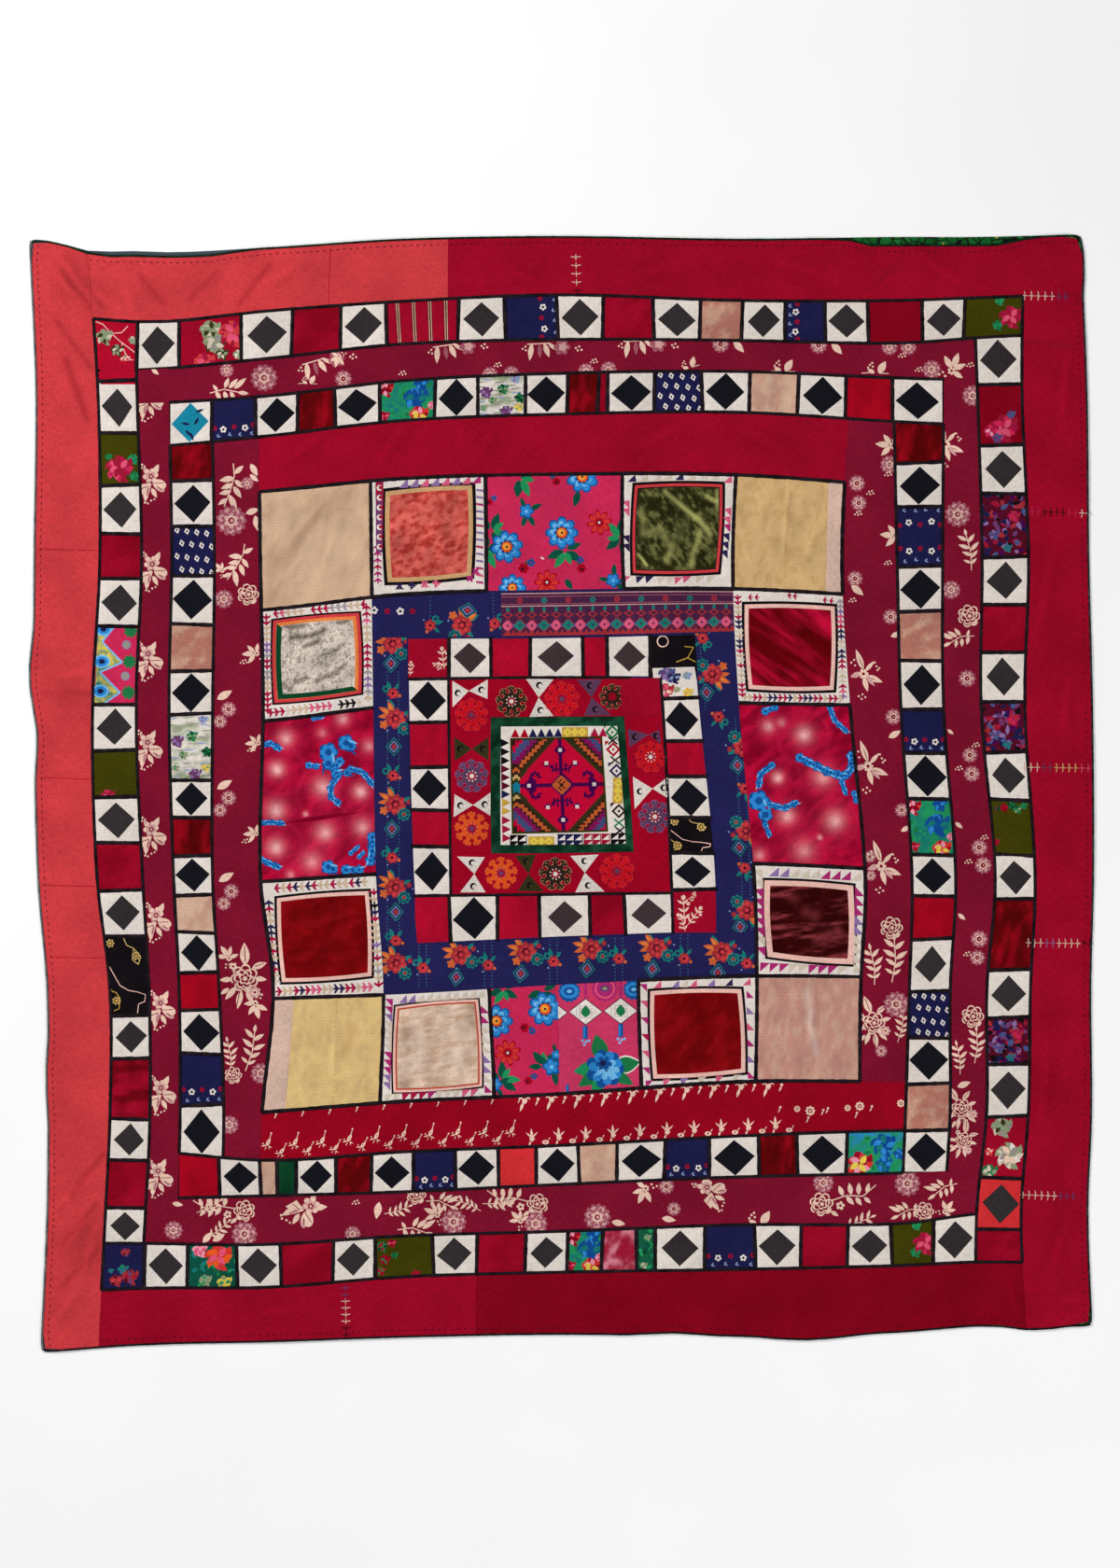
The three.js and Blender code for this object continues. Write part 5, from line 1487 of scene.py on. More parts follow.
FLOWERS = read_book("""
leaves: leaf garden_green 0 0 21 10 205, leaf print_green 2 2 22 9 235, leaf garden_green 2 1 22 10 -30,
  leaf garden_green 3 -2 18 8 20, leaf print_green 3 2 15 7 -70;
blue_flower: petals deep_sky 0 0 18 8 0.25, petals sky 0 0 16 8 0.3, petals light_sky -1 -1 12 8 0.45,
  petals sky 0 0 9.5 8 0.3, petals navy 0 0 7.2 8 0.2, petals orange 0 0 6 9 0.2,
  petals marigold -0.5 -0.5 4.2 8 0.35, disc brown 0 0 1.4 7;
small_blue: leaf garden_green 0 4 14 6 250, leaf garden_green 2 4 14 6 300,
  leaf garden_green 4 -2 14 6 25, leaf garden_green -2 -4 12 5 110, petals deep_sky 0 0 8.5 5 0.35,
  petals sky 0 -0.5 6.6 5 0.4, disc light_sky 0 0 1.8 7;
red_bloom: petals bright_red 0 0 14 8 0.5, petals poppy 0 0 12 8 0.6, petals bright_red 0 0 5.5 8 0.3,
  disc maroon 0 0 2.4 8, disc white 0 0 1.4 7;
buds: leaf garden_green 2 -2 7 3 80, petals bright_red 0 0 6 6 0.3, disc maroon -1 1 2.4 7,
  petals deep_sky 8 -6 4.6 5 0.3, disc purple 8 -6 1.8 7;
oval_bloom: petals deep_sky 0 0 12 14 0.15, oval sky 0 0 10 8 0, oval deep_sky 0 0 6 4.4 0,
  oval light_sky 0 0 3 2 0;
medallion: petals magenta 0 0 14 16 0.12, disc rose_pink 0 0 11 16, disc magenta 0 0 9 14,
  oval purple 0 0 5.5 3.6 0, oval sage 0 0 2.6 1.6 0;
checked: lozenge black 0 0 18.6 14.6, lozenge white 0 0 17.4 13.4;
blue_tuft: bar deep_sky 0 -7 0 7 5.5, bar sky -1 -6 -1 6 2, disc light_sky -3 9 1.6 6,
  disc light_sky 1 10 1.6 6, disc light_sky 4 9 1.6 6, disc light_sky -1 13 1.6 6;
big_blue: leaf leaf_green -4 -6 30 18 105, leaf print_green -6 0 30 16 190,
  leaf leaf_green -6 4 30 14 215, leaf white 6 0 32 20 10, leaf leaf_green 7 0 29 17 10,
  leaf leaf_green 6 6 26 12 -30, leaf print_green -4 8 26 14 245, petals deep_sky -2 2 21 7 0.3,
  petals sky -1 1 18.5 7 0.4 20, petals light_sky 2 3 12 6 0.5, petals deep_sky -3 -3 9 6 0.45,
  leaf light_sky 0 2 16 5 -40, leaf light_sky -2 2 14 4 215, petals navy -4 -4 3.6 6 0.4;
hanging_leaf: leaf garden_green 0 0 18 8 255;
small_leaf: leaf garden_green 0 0 14 7 300;
highlight: leaf white 0 0 5 2 -30
""")
FLOWERS["checked"] += [
    ("bar", "grey", x - 6, -6 + abs(x) * 0.3, x - 6, 6 - abs(x) * 0.3, 0.5) for x in (-4, 0, 4, 8, 12, 16)]
FLOWERS["checked"] += [("bar", "grey", -8, y, 8, y, 0.5) for y in (-6, -3, 0, 3, 6)]
FLOWERS["checked"] += [("leaf", "leaf_green", 0, 6, 13, 10, 90)]
Panel("block_pink_top", "pink", pitch=2.4)
pink_low = Panel("block_pink_bottom", "pink", pitch=2.4)
# block, then flower, place, size and turn
GARDEN = read_book("""
block_pink_top: leaves 604 590 0.95 0, leaves 527 570 0.9 100, leaves 556 514 0.95 60,
  leaves 520 592 0.9 60, leaves 666 575 0.9 250, blue_flower 543 586 1.0 10, blue_flower 602 571 1.0 0,
  hanging_leaf 620 526 1.0 0, blue_flower 624 511 1.0 20, blue_flower 549 630 0.85 0,
  small_blue 564 548 1.0 0, red_bloom 642 560 1.0 10, red_bloom 586 624 1.0 0, buds 561 609 1.0 0,
  buds 623 609 0.9 60, buds 596 516 0.8 80, small_blue 657 622 1.0 60, small_leaf 606 620 1.0 0,
  buds 524 538 0.7 0, highlight 579 597 1.0 0;
block_pink_bottom: leaves 538 1060 0.8 0, leaves 580 1062 0.8 0, blue_flower 532 1094 1.0 0,
  blue_flower 584 1081 1.05 15, red_bloom 544 1128 1.05 15, buds 562 1101 0.9 -60,
  leaves 584 1142 0.85 160, small_blue 591 1143 1.2 30, small_blue 596 1130 0.7 80,
  leaves 538 1158 0.9 120, small_blue 531 1162 0.9 0, buds 566 1158 0.8 0
""")
for node, run in GARDEN.items():
    for flower, x, y, size, turn in run:
        stamp(panels[node], FLOWERS[flower], x, y, size, turn)

SECOND_PRINT = [(597, 1040), (690, 1040), (692, 1180), (600, 1180)]
second_print = pink_low.lay(SECOND_PRINT, "deep_pink", "cotton", seam=True)
OTHER_PINK = read_rows("""
oval_bloom 610 1062 1.0, medallion 648 1059 1.0, oval_bloom 679 1060 0.95, checked 627.5 1084 1.0,
checked 665 1083 1.0, checked 590 1085 1.0, blue_tuft 627 1106 1.0, blue_tuft 665 1104 1.0,
big_blue 650 1143 1.0, blue_tuft 608 1166 0.6
""")
for flower, x, y, size in OTHER_PINK:
    stamp(pink_low, FLOWERS[flower], x, y, size, within=second_print)
for x in (627.5, 665):
    pink_low.lay(bar(x, 1050, x, 1070, 3), "magenta", within=second_print)
print("garden stamps:", sum(map(len, GARDEN.values())) + len(OTHER_PINK))

# %% [markdown]
# The red cottons are printed with soft round bubbles, bright in the middle, and ragged blue trails. A bubble
# fades out, so it is a spot in the dye and not a cut shape, and the sheet is cut finer here to carry it. A
# trail is built up from overlapping dabs, as a brush would leave it.

# %% Bubble prints
def strand(panel, points, width):
    """A painted blue trail: a ragged dark band, a lighter one on it, and thin lights and shades along it."""
    path = walk(points, width * 0.42, closed=False)
    ways = np.gradient(np.array(path), axis=0) if len(path) > 1 else [(1.0, 0.0)]
    headings = [-math.degrees(math.atan2(way[1], way[0])) for way in ways]
    for ink, size, lobes in (("royal", 0.54, 5), ("sky", 0.44, 6), ("deep_sky", 0.2, 4)):
        for number, (x, y) in enumerate(path):
            swell = size * (1 + 0.2 * math.sin(number * 2.3 + 4 * size))
            panel.lay(petals(x, y, width * swell, lobes, 0.22, number * 47), ink)
    for number, ((x, y), heading) in enumerate(zip(path, headings)):
        side = (-1) ** number
        turn = math.radians(heading + 90 * side)
        at = (x + 0.24 * width * math.cos(turn), y - 0.24 * width * math.sin(turn))
        ink = "royal" if number % 3 == 1 else "light_sky"
        panel.lay(leaf(*at, width * 0.75, width * 0.17, heading + 10 * side), ink)


def bubble_glows(lights, rims, hollows):
    """Soft spots of a bubble print: dark hollows, a halo and a bright middle for each light, faint rims."""
    spots = [(x, y, 0, size, 0.75, "bubble_dark") for x, y, size in hollows]
    for x, y, size, strength in lights:
        spots.append((x, y, 0, size * 1.35, 0.6, "bubble_pink"))
        spots.append((x - 1, y - 1, 0, size * 0.7, 0.5 * strength, "glow"))
        spots.append((x, y, 0, size * 0.36, 0.6 * strength, "glow"))
    return spots + [(x, y, radius, 2.2, 0.16, "bubble_pink") for x, y, radius in rims]


# lights as place, size and strength, rims as place and radius, hollows as place and size, and trails as width
# and the points that they run through
BUBBLES = read_book("""
left lights: 307 792 11 0.6, 368 771 9 0.55, 297.5 825 10 0.85, 347 844 13 0.6, 387 849 10 0.75,
  296.5 869 13 0.7, 328.5 873 3.4 0.9, 349 893 13 0.6, 389 887 12 0.5, 296.5 909 12 0.75, 335 924 14 0.35,
  396 800 9 0.35, 346 786 7 0.25, 312 938 6 0.4;
left rims: 300 826 26, 386 852 24, 300 906 24, 348 850 29;
left hollows: 322 808 12, 320 848 10, 366 876 14, 322 898 10, 372 908 11, 340 880 12, 376 822 12,
  286 847 9, 330 778 12, 286 775 10, 310 885 10;
right lights: 824 779 9 0.55, 838 775 6 0.4, 862 788 12 0.75, 834 834 8 0.85, 882 833 14 0.5,
  844 875 12 0.6, 895 880 14 0.65, 879 898 3.6 0.9, 814 917 9 0.4, 862 912 15 0.35;
right rims: 861 790 28, 836 836 22, 892 882 26;
right hollows: 858 852 13, 812 800 12, 908 800 14, 870 870 12, 826 905 10, 846 808 11, 880 806 9,
  914 905 11, 820 848 8, 840 765 9;
left trails: 17 352 806 352 818, 15 371 796 376 799, 7 331 820 339 821, 9 364 816 358 824,
  11 361 829 372 828, 7 362 832 354 843 355 854 362 860, 7 376 824 388 827 399 840,
  7 280 800 289 796 299 802, 6 277 882 290 881 303 882, 7 280 921 289 925 298 929, 13 352 929 357 931,
  10 371 932 385 932, 10 399 897 399 912 397 922, 5 376 914 384 907, 5 385 918 389 914, 5 336 770 346 768;
right trails: 9 857 812 873 820 887 827 904 832 913 824 912 810, 6 889 758 894 772 907 784,
  8 820 762 830 758, 7 827 820 815 829 813 842, 19 813 858 815 866 820 873, 7 825 862 840 866 853 860,
  6 820 884 824 894, 6 902 838 906 850, 6 915 850 917 858
""")
for side in ("left", "right"):
    print_cloth = Panel("block_bubbles_" + side, "bubble_red", pitch=1.7)
    print_cloth.layers[0].mottle = ("bubble_dark", 7, 2.2, 40, 0.9, 1.0)
    spots = [BUBBLES[side + kind] for kind in (" lights", " rims", " hollows")]
    print_cloth.layers[0].glows = bubble_glows(*spots)
    for width, *points in BUBBLES[side + " trails"]:
        strand(print_cloth, np.reshape(points, (-1, 2)), width)
# a thin dark leaf along a crease of the left print is painted shade of that crease
panels["block_bubbles_left"].lay(leaf(306, 881.5, 82, 5, 8), "bubble_dark")
print("bubble marks:", sum(map(len, BUBBLES.values())))

# %% [markdown]
# The blue frame is a navy cotton with posies of an orange and a teal flower, smaller ones between them and
# dotted stems. Its upper run was cut across another part of the same cloth, with a striped edge, drops and
# stepped diamonds, so it is charted along that strip instead.

# %% Blue printed frame
FRAME_MARKS = SMALL_PRINTS | read_book("""
posy: leaf teal 3 7 11 4.4 -65, leaf teal -6 4 9 4 215, leaf amber 5 4 13 5 -20, leaf amber 5 2 12 4.6 12,
  leaf amber 3 5 12 5 -58, petals amber 10 -7 4.4 5 0.45 40, leaf apricot 7 4 8 2 -24,
  leaf apricot 5 7 7 2 -60, petals brick 0 0 9.8 8 0.25, petals coral -1 -1 7.4 7 0.35 20,
  petals brick 0 0 5.6 6 0.35, petals maroon 0.5 0.5 3.8 6 0.35, petals coral 0 0 2.2 5 0.3,
  petals teal -9 -8 6.4 8 0.25, petals frame_blue -9 -8 4.6 7 0.2, petals teal -9 -8 3.6 6 0.3,
  disc brick -9 -8 1.7 8, disc pale_blue 6 -12 0.9 6, disc pale_blue -16 1 0.9 6, petals brick -12 4 2.6 5;
small: leaf teal 1 4 9 3.4 -70, leaf teal -2 3 8 3 230, petals brick 0 0 5.6 6 0.3,
  petals coral -0.5 -0.5 3.8 5 0.35, disc maroon 0 0 1.6 6, petals teal 6 5 3.6 6 0.3,
  disc frame_blue 6 5 1.6 7, disc amber -6 -3 1.7 6, disc pale_blue 5 -6 0.8 6;
lozenge: lozenge teal 0 0 7.6 9, lozenge frame_blue 0 0 6.4 7.6, lozenge pale_blue 0 0 4.6 5.6,
  lozenge frame_blue 0 0 3.7 4.6, lozenge brick 0 0 2.4 3.0
""")
blue = {side: Panel("blue_frame_" + side, "frame_blue") for side in SIDES}
DOTTED = read_rows("""
left 415 720 415 1050, left 427 720 428 1050, right 750 690 756 760, right 788 770 797 1010,
right 797 770 806 1010, top 461 640 461 664, top 528 636 529 664
""")
DOTTED += [
    ("bottom", x + shift, 1002, x + shift, 1056) for x in (453, 523, 593, 663, 733) for shift in (-4, 4)]
DOT_STEP = 3.4
for side, x0, y0, x1, y1 in DOTTED:
    for number, (x, y) in enumerate(walk([(x0, y0), (x1, y1)], DOT_STEP, closed=False)):
        blue[side].lay(disc(x, y, 0.75, 6), ("slate_blue", "teal")[number % 2])
FRAME_PRINT = read_book("""
top: ring 401 654, red 415 655, ring 429 655, red 442 655, small 461 670, posy 495 670, lozenge 501 654,
  small 530 668;
left: posy 421 690, lozenge 419 711, small 421 743, posy 424 770, lozenge 422 800, small 421 831,
  posy 424 862, lozenge 420 888, small 420 919, posy 424 951, lozenge 424 977, small 424 1008;
right: small 753 684, posy 763 722, lozenge 757 742, posy 796 800, small 770 768, lozenge 790 820,
  small 798 845, posy 799 890, lozenge 792 908, small 798 930, posy 800 975, lozenge 793 993;
bottom: posy 425 1032, small 453 1037, posy 494 1023, lozenge 489 1047, small 523 1034, posy 564 1020,
  lozenge 558 1043, small 593 1030, posy 634 1017, lozenge 629 1038, small 663 1027, posy 704 1016,
  lozenge 699 1038, small 733 1027, posy 774 1020, lozenge 769 1042, small 800 1032
""")
FRAME_TURN = {"top": 90, "left": 180, "right": 0, "bottom": 180}
for side, run in FRAME_PRINT.items():
    for number, (name, x, y) in enumerate(run):
        stamp(blue[side], FRAME_MARKS[name], x, y, 1.15, FRAME_TURN[side] + 8 * (number % 3) - 8)
STEPPED_FROM = 537.0
STEPPED_TO = 790.0
STEPPED_STEP = 13.0
# share across the strip where each line starts and ends, and its ink
EDGE_LINES = read_rows("""
0.05 0.97 frame_plum, 0.06 0.08 pale_haze, 0.13 0.145 haze, 0.29 0.305 haze, 0.33 0.35 pale_haze
""")
for start, end, ink in EDGE_LINES:
    along = np.linspace(STEPPED_FROM, STEPPED_TO, 12)
    upper = [blue["top"].place(x, start) for x in along]
    lower = [blue["top"].place(x, end) for x in along[::-1]]
    blue["top"].lay(upper + lower, ink)
STEPS = (
    -0.5, -2.5, 0.5, -2.5, 0.5, -1.5, 1.5, -1.5, 1.5, -0.5, 2.5, -0.5, 2.5, 0.5, 1.5, 0.5, 1.5, 1.5, 0.5, 1.5,
    0.5, 2.5)
STEPS += tuple(-value for value in STEPS)[2:-2]
STEPPED = read_book("""
drop: leaf teal 0 3 7 3.4 90;
diamond: lozenge brick 0 0 5.8 3.6, lozenge frame_plum 0 0 3.4 2.0;
stepped: lozenge frame_plum 0 0 1.7 1.7;
star: petals ink 0 0 2.7 4 0.35, petals ink 0 0 2.4 4 0.5 45;
dot: disc frame_plum 0 0 1.3 6;
tooth: corners brick -6 3 0 -3 6 3;
flower: petals ink 0 0 3.4 5, disc frame_plum 0 0 1 6;
lattice: bar brick -5.5 -6 5.5 6 0.9, bar brick -5.5 6 5.5 -6 0.9, petals slate_blue 0 0 2 4 0.5;
small_tooth: corners brick -4 2 0 -4 4 2
""")
STEPPED["stepped"].insert(0, ("corners", "brick", *STEPS))
# figure, share across the strip, and size
STEPPED_RUN = read_rows(
    "drop 0.42 1, diamond 0.53 1, stepped 0.63 0.9, star 0.76 2.1, dot 0.76 1, tooth 0.92 1")
upper_run = blue["top"]
for number, x in enumerate(np.arange(STEPPED_FROM + 7, STEPPED_TO - 4, STEPPED_STEP)):
    inks = {"ink": ("thread_pink", "teal")[number % 2]}
    for name, across, size in STEPPED_RUN:
        stamp(upper_run, STEPPED[name], *upper_run.place(x, across), size, inks=inks)
    if number % 2:
        inks = {"ink": ("brick", "teal")[number // 2 % 2]}
        stamp(upper_run, STEPPED["flower"], *upper_run.place(x, 0.22), inks=inks)
    between = x + STEPPED_STEP / 2
    stamp(upper_run, STEPPED["lattice"], *upper_run.place(between, 0.76))
    stamp(upper_run, STEPPED["small_tooth"], *upper_run.place(between, 0.93))
print("blue frame layers:", sum(len(panel.layers) for panel in blue.values()))

# %% [markdown]
# The ring round the centre was cut from a chain-stitched cloth: rosettes whose arms end in three lobes, and
# pairs of triangles that meet point to point. Every figure crosses two strips of the ring where it has to,
# because the strips were cut through the pattern.

# %% Embroidered ring
ring = {side: Panel("star_ring_" + side, "star_red", "thread", pitch=2.0) for side in SIDES}
TREFOILS = 9


def rosette(arms, rim, middle):
    """A toothed wheel of three-lobed arms with a thin outline, for a rosette one unit in radius."""
    marks = []
    for ink, grow in ((rim, 0.024), (arms, 0.0)):
        for number in range(TREFOILS):
            turn = FULL_TURN / TREFOILS * number + 0.2
            for reach, size, lean in ((0.92, 0.07, 0), (0.84, 0.1, 9), (0.84, 0.1, -9)):
                place = turn + math.radians(lean)
                marks.append(("disc", ink, reach * math.cos(place), -reach * math.sin(place), size + grow, 8))
            marks.append(("bar", ink, 0, 0, 0.78 * math.cos(turn), -0.78 * math.sin(turn), 0.19 + 2 * grow))
        marks.append(("disc", ink, 0, 0, 0.56 + grow, 18))
    return marks + [("disc", "star_red", 0, 0, 0.25, 10), ("disc", middle, 0, 0, 0.14, 10)]


# x, y, radius, arms, outline and middle
ROSETTES = read_rows("""
505 766 18 wheel_red coral dull_purple, 505.5 831.5 18 dull_purple violet white,
505.5 888 19 orange brick purple, 537 935.6 18 orange brick purple, 595 936.4 18 brown tan white,
661 933.5 19 wheel_red coral dull_purple, 548 751.5 17 brown tan white,
602 749 19 wheel_red coral dull_purple, 656 746.5 14 brown tan star_red, 697 811 17 wheel_red coral white,
701.5 875 18 dull_purple violet white
""")
# the two bases and the point between them, and the ink
BOW_TIES = read_rows("""
484.7 729.4 485 758 502.3 740.3 522.7 728 522.3 749 white,
486.7 789.5 487.5 815.3 505.5 802.5 523.4 790 523.4 815 olive_dark,
487 851 486 875.5 507 862.5 525.8 849 525.3 874 white,
489.8 917.7 519.5 918.4 508.2 936.4 493 956 520.3 956 white,
551.6 917 574.2 915.5 566.4 936.4 554.7 954.5 582.8 955.2 olive_dark,
611 917 641.4 915.5 626.6 935 616.4 956 647.7 955 white,
563.3 727 593 728 577.2 747.4 567.2 768.4 593 767 white,
618 728.6 645.3 728 633.8 747.4 625.8 767 654.7 766 dull_purple,
672.7 781 674.2 801 695 787 706.5 782 708 797 dull_purple,
678 832 680 866.8 699 845 717 831 716.6 856 white
""")
PLAIN_ENDS = {
    "bottom": [(680.5, 900), (724, 900), (724, 962), (682, 962)],
    "top": [(664.5, 722), (712, 722), (712, 790), (667, 790)],
}
for side, panel in ring.items():
    for x0, y0, x1, y1, x, y, x2, y2, x3, y3, ink in BOW_TIES:
        for base in ((x0, y0, x1, y1), (x2, y2, x3, y3)):
            triangle = corners_of(*base, x, y)
            if panel.reaches(triangle):
                panel.lay(triangle, ink)
            hook = [("disc", "black", 0, 0, 3.7, 10), ("disc", ink, 1.1, 0.7, 2.4, 9)]
            stamp(panel, hook, *triangle.mean(axis=0), 1.0, 30 * (x0 > 600))
    for x, y, radius, arms, rim, middle in ROSETTES:
        stamp(panel, rosette(arms, rim, middle), x, y, radius)
    if side in PLAIN_ENDS:
        panel.lay(PLAIN_ENDS[side], "crimson", "cotton", seam=True)
print("rosettes and bow-ties:", len(ROSETTES), len(BOW_TIES))

# %% [markdown]
# In the middle a square of green velvet carries a white edging strip with small stitched triangles and
# diamonds, and on that lies a cross-stitched patch. The strip changes colour along its length in runs of
# a few figures.

# %% Green velvet and its edging
velvet = Panel("centre_velvet", "velvet_green", "velvet", pitch=1.6)
# lighter green patches in the pile are painted sheen of the crushed pile
velvet.layers[0].mottle = ("leaf_shade", 9, 1.4, 30, 0.5, 1.8)
edging = Panel("centre_patch", "white", "linen", pitch=2.0)
EDGING = read_book("""
tooth: corners ink -4.7 5.2 4.7 5.2 0 -4.4;
pair: corners ink -4.6 -7.5 4.6 -7.5 4.6 7.5 -4.6 7.5, corners white -3.9 -0.8 3.5 -0.8 3.5 -6.6,
  corners white -3.9 6.6 3.5 6.6 3.5 0.8;
hooked: lozenge ink 0 0 8 8, lozenge white 0 0 4.8 4.8, lozenge ink 0 0 1.8 1.8,
  corners ink -9 -9 -4 -9 -9 -4, corners ink 9 9 4 9 9 4;
cross: bar ink -5 -4 5 4 1.8, bar ink -5 4 5 -4 1.8;
block: corners gold -14 -5.5 14 -5.5 14 5.5 -14 5.5, lozenge ink -8 0 5 5, lozenge ink 8 0 5 5,
  lozenge ink 0 0 4 5, lozenge gold -8 0 1.6 1.6, lozenge gold 8 0 1.6 1.6
""")
# figure, start, end, how many, turn, inks
EDGING_RUNS = read_rows("""
tooth 552 785 562 785 2 0 bright_red, tooth 571 785 598 784.5 4 0 navy,
block 616 784.5 616 784.5 1 0 lemon, tooth 637 784 646 784 2 0 thread_red,
hooked 656 784.5 656 784.5 1 0 leaf_green, tooth 541.5 796 542 815 3 270 black,
tooth 542 824 542.5 842 3 270 maroon, tooth 542.5 851 542.5 851 1 270 navy,
tooth 543 860 543 869 2 270 gold, tooth 543 879 543.5 898 3 270 rose_red, pair 551 902 560 902 2 0 black,
block 580 901.5 580 901.5 1 0 lemon, pair 602 901 620 901 3 0 navy, pair 630 900.5 649 900.5 3 0 rose_red,
pair 659 900 667 900 2 0 black, hooked 657 803 657 803 1 0 bright_red,
hooked 660.5 826 660.5 826 1 0 thread_navy, block 662 847 662 847 1 88 lemon,
hooked 663 869 663 869 1 0 brown, cross 656.5 793.5 656.5 793.5 1 0 black,
cross 659 814.5 659 814.5 1 0 brown, cross 663 881.5 663 881.5 1 0 leaf_green,
cross 664 890 664 890 1 0 black
""")
for figure, x0, y0, x1, y1, count, turn, ink in EDGING_RUNS:
    for x, y in np.linspace((x0, y0), (x1, y1), count):
        stamp(edging, EDGING[figure], x, y, 1.0, turn, inks={"ink": ink})
PATCH_CORNERS = np.array(((546.5, 791.0), (645.0, 789.0), (651.5, 891.0), (548.5, 893.5)))
patch_layer = edging.lay(PATCH_CORNERS, "olive_dark", "thread", seam=True)
COUNTS = 52
FIELD_WIDE, FIELD_HIGH, FIELD_SHIFT = 1.03, 1.07, 0.08
# how far out each corner stripe reaches, and its dye
CORNER_STRIPES = read_rows("""
1.13 olive_dark, 1.2 brown, 1.3 amber, 1.36 brown, 1.5 plum, 1.66 slate_blue, 1.8 patch_red, 3.0 brown
""")
# figures down the left edge of the patch, as how far from the middle each reaches, and its dye
LEFT_COLUMN = read_rows("""
0.1 turquoise, 0.17 olive_dark, 0.24 pale_gold, 0.32 brown, 0.4 amber, 0.46 brown
""")
# white dots, and how far the dark ground round each one reaches
DOTS = [(0, 0.735, 0.14), (0.31, 0.45, 0.075), (0.69, 0, 0.13)]
HORN = (0.56, 0.17, 0.045, 0.12)
SIDE_LEAVES = [(0.1, 0.33), (0.17, 0.31), (0.2, 0.38), (0.1, 0.42)]


def count_dye(u, v):
    """Dye of the cross at -1 to 1 across and down the patch."""
    a, b = abs(u - FIELD_SHIFT), abs(v)
    field = a / FIELD_WIDE + b / FIELD_HIGH
    if max(abs(u), b) > 0.965:
        return "olive"
    if u < -0.8 and b < 0.46:
        peak = abs(v - 0.9 * abs(u + 0.88))
        return next(dye for reach, dye in LEFT_COLUMN if peak < reach or reach == 0.46)
    if field > 1.0:
        field += 0.04 * (int(13 * (a - b) + 50) % 2) * (field > 1.12)
        return next(dye for reach, dye in CORNER_STRIPES if field < reach)
    for x, y, ring_reach in DOTS:
        away = math.hypot(a - x, b - y)
        if away < 0.042:
            return "white"
        if abs(a - x) + abs(b - y) < ring_reach:
            return "plum_dark"
    middle = a + b
    if middle < 0.2:
        return "brown" if middle < 0.05 or 0.09 < middle < 0.13 and min(a, b) > 0.02 else "amber"
    x, y, inner, outer = HORN
    horn = inner < math.hypot(a - x, b - y) < outer and not (a < x and b < y)
    leaf_near = any(abs(a - x) + abs(b - y) < 0.05 for x, y in SIDE_LEAVES)
    if middle < 0.27 or a < 0.026 or b < 0.03 or horn or leaf_near or abs(a - 0.66) < 0.03 and b < 0.2:
        return "plum_dark"
    return "patch_red"


def count_place(column, row):
    """Chart point at a column and row of the counted patch."""
    a, b = column / COUNTS, row / COUNTS
    upper = PATCH_CORNERS[0] + (PATCH_CORNERS[1] - PATCH_CORNERS[0]) * a
    lower = PATCH_CORNERS[3] + (PATCH_CORNERS[2] - PATCH_CORNERS[3]) * a
    return upper + (lower - upper) * b


counted = []
middles = [2 * (count + 0.5) / COUNTS - 1 for count in range(COUNTS)]
for row in range(COUNTS):
    dyes = [count_dye(u, middles[row]) for u in middles]
    counted.append(dyes)
    first = 0
    for column in range(1, COUNTS + 1):
        if column == COUNTS or dyes[column] != dyes[first]:
            run = ((first, row), (column, row), (column, row + 1), (first, row + 1))
            edging.lay([count_place(*corner) for corner in run], dyes[first], within=patch_layer)
            first = column
print("edging runs:", len(EDGING_RUNS))

# %% [markdown]
# The lining is one printed sheet under everything, green leaves on a darker green. It is a thin closed
# plate here, flat below, because it is what lies on the floor, and it shows only where the top was cut
# short of it.

# %% Lining
GREY_END = (-0.3, -0.26)
LEAF_SCALE = 62.0


def printed_lining():
    """A green print of leaf-like cells with dark outlines and gold dots, faded to grey at the left."""
    material, tree = start_material("printed_lining")
    place = add(tree, "ShaderNodeTexCoord").outputs["Object"]
    grain = {"Vector": place, "Scale": LEAF_SCALE, "Randomness": 0.9}
    cells = add(tree, "ShaderNodeTexVoronoi", grain, feature="DISTANCE_TO_EDGE")
    tint = add(tree, "ShaderNodeTexVoronoi", grain)
    outline = spread(tree, cells.outputs["Distance"], 0.02, 0.09, 0.0, 1.0)
    pick = add(tree, "ShaderNodeSeparateColor", {"Color": tint.outputs["Color"]}).outputs["Red"]
    shades = mix(tree, pick, "lining_green", "lining_leaf")
    inked = mix(tree, outline, "black", shades)
    dots = spread(tree, tint.outputs["Distance"], 0.1, 0.16, 1.0, 0.0)
    dotted = mix(tree, dots, inked, "gold")
    across = add(tree, "ShaderNodeSeparateXYZ", {"Vector": place}).outputs["X"]
    faded = mix(tree, spread(tree, across, *GREY_END, 1.0, 0.0), dotted, "slate")
    thread = noise(tree, place, 420.0)
    bump = add(tree, "ShaderNodeBump", {"Strength": 0.3, "Distance": 0.2 * MM, "Height": thread})
    roughness = spread(tree, thread, 0.3, 0.7, 0.9, 0.8)
    close_material(tree, faded, bump.outputs["Normal"], roughness)
    return material


lining_loop, _ = cut_line("lining")
lining_places = to_frame(lining_loop)
lining_mesh = bpy.data.meshes.new("lining_cloth")
ring_count = len(lining_places)
lining_points = [(x, y, z) for z in (LINING_TOP, 0.0) for x, y in lining_places]
top_ring = list(range(ring_count))
bottom_ring = list(range(2 * ring_count - 1, ring_count - 1, -1))
walls = [
    (ring_count + k, ring_count + (k + 1) % ring_count, (k + 1) % ring_count, k) for k in range(ring_count)]
lining_mesh.from_pydata(lining_points, [], [top_ring, bottom_ring] + walls)
lining_mesh.materials.append(printed_lining())
lining = finish_piece("lining_cloth", lining_mesh, "lining")

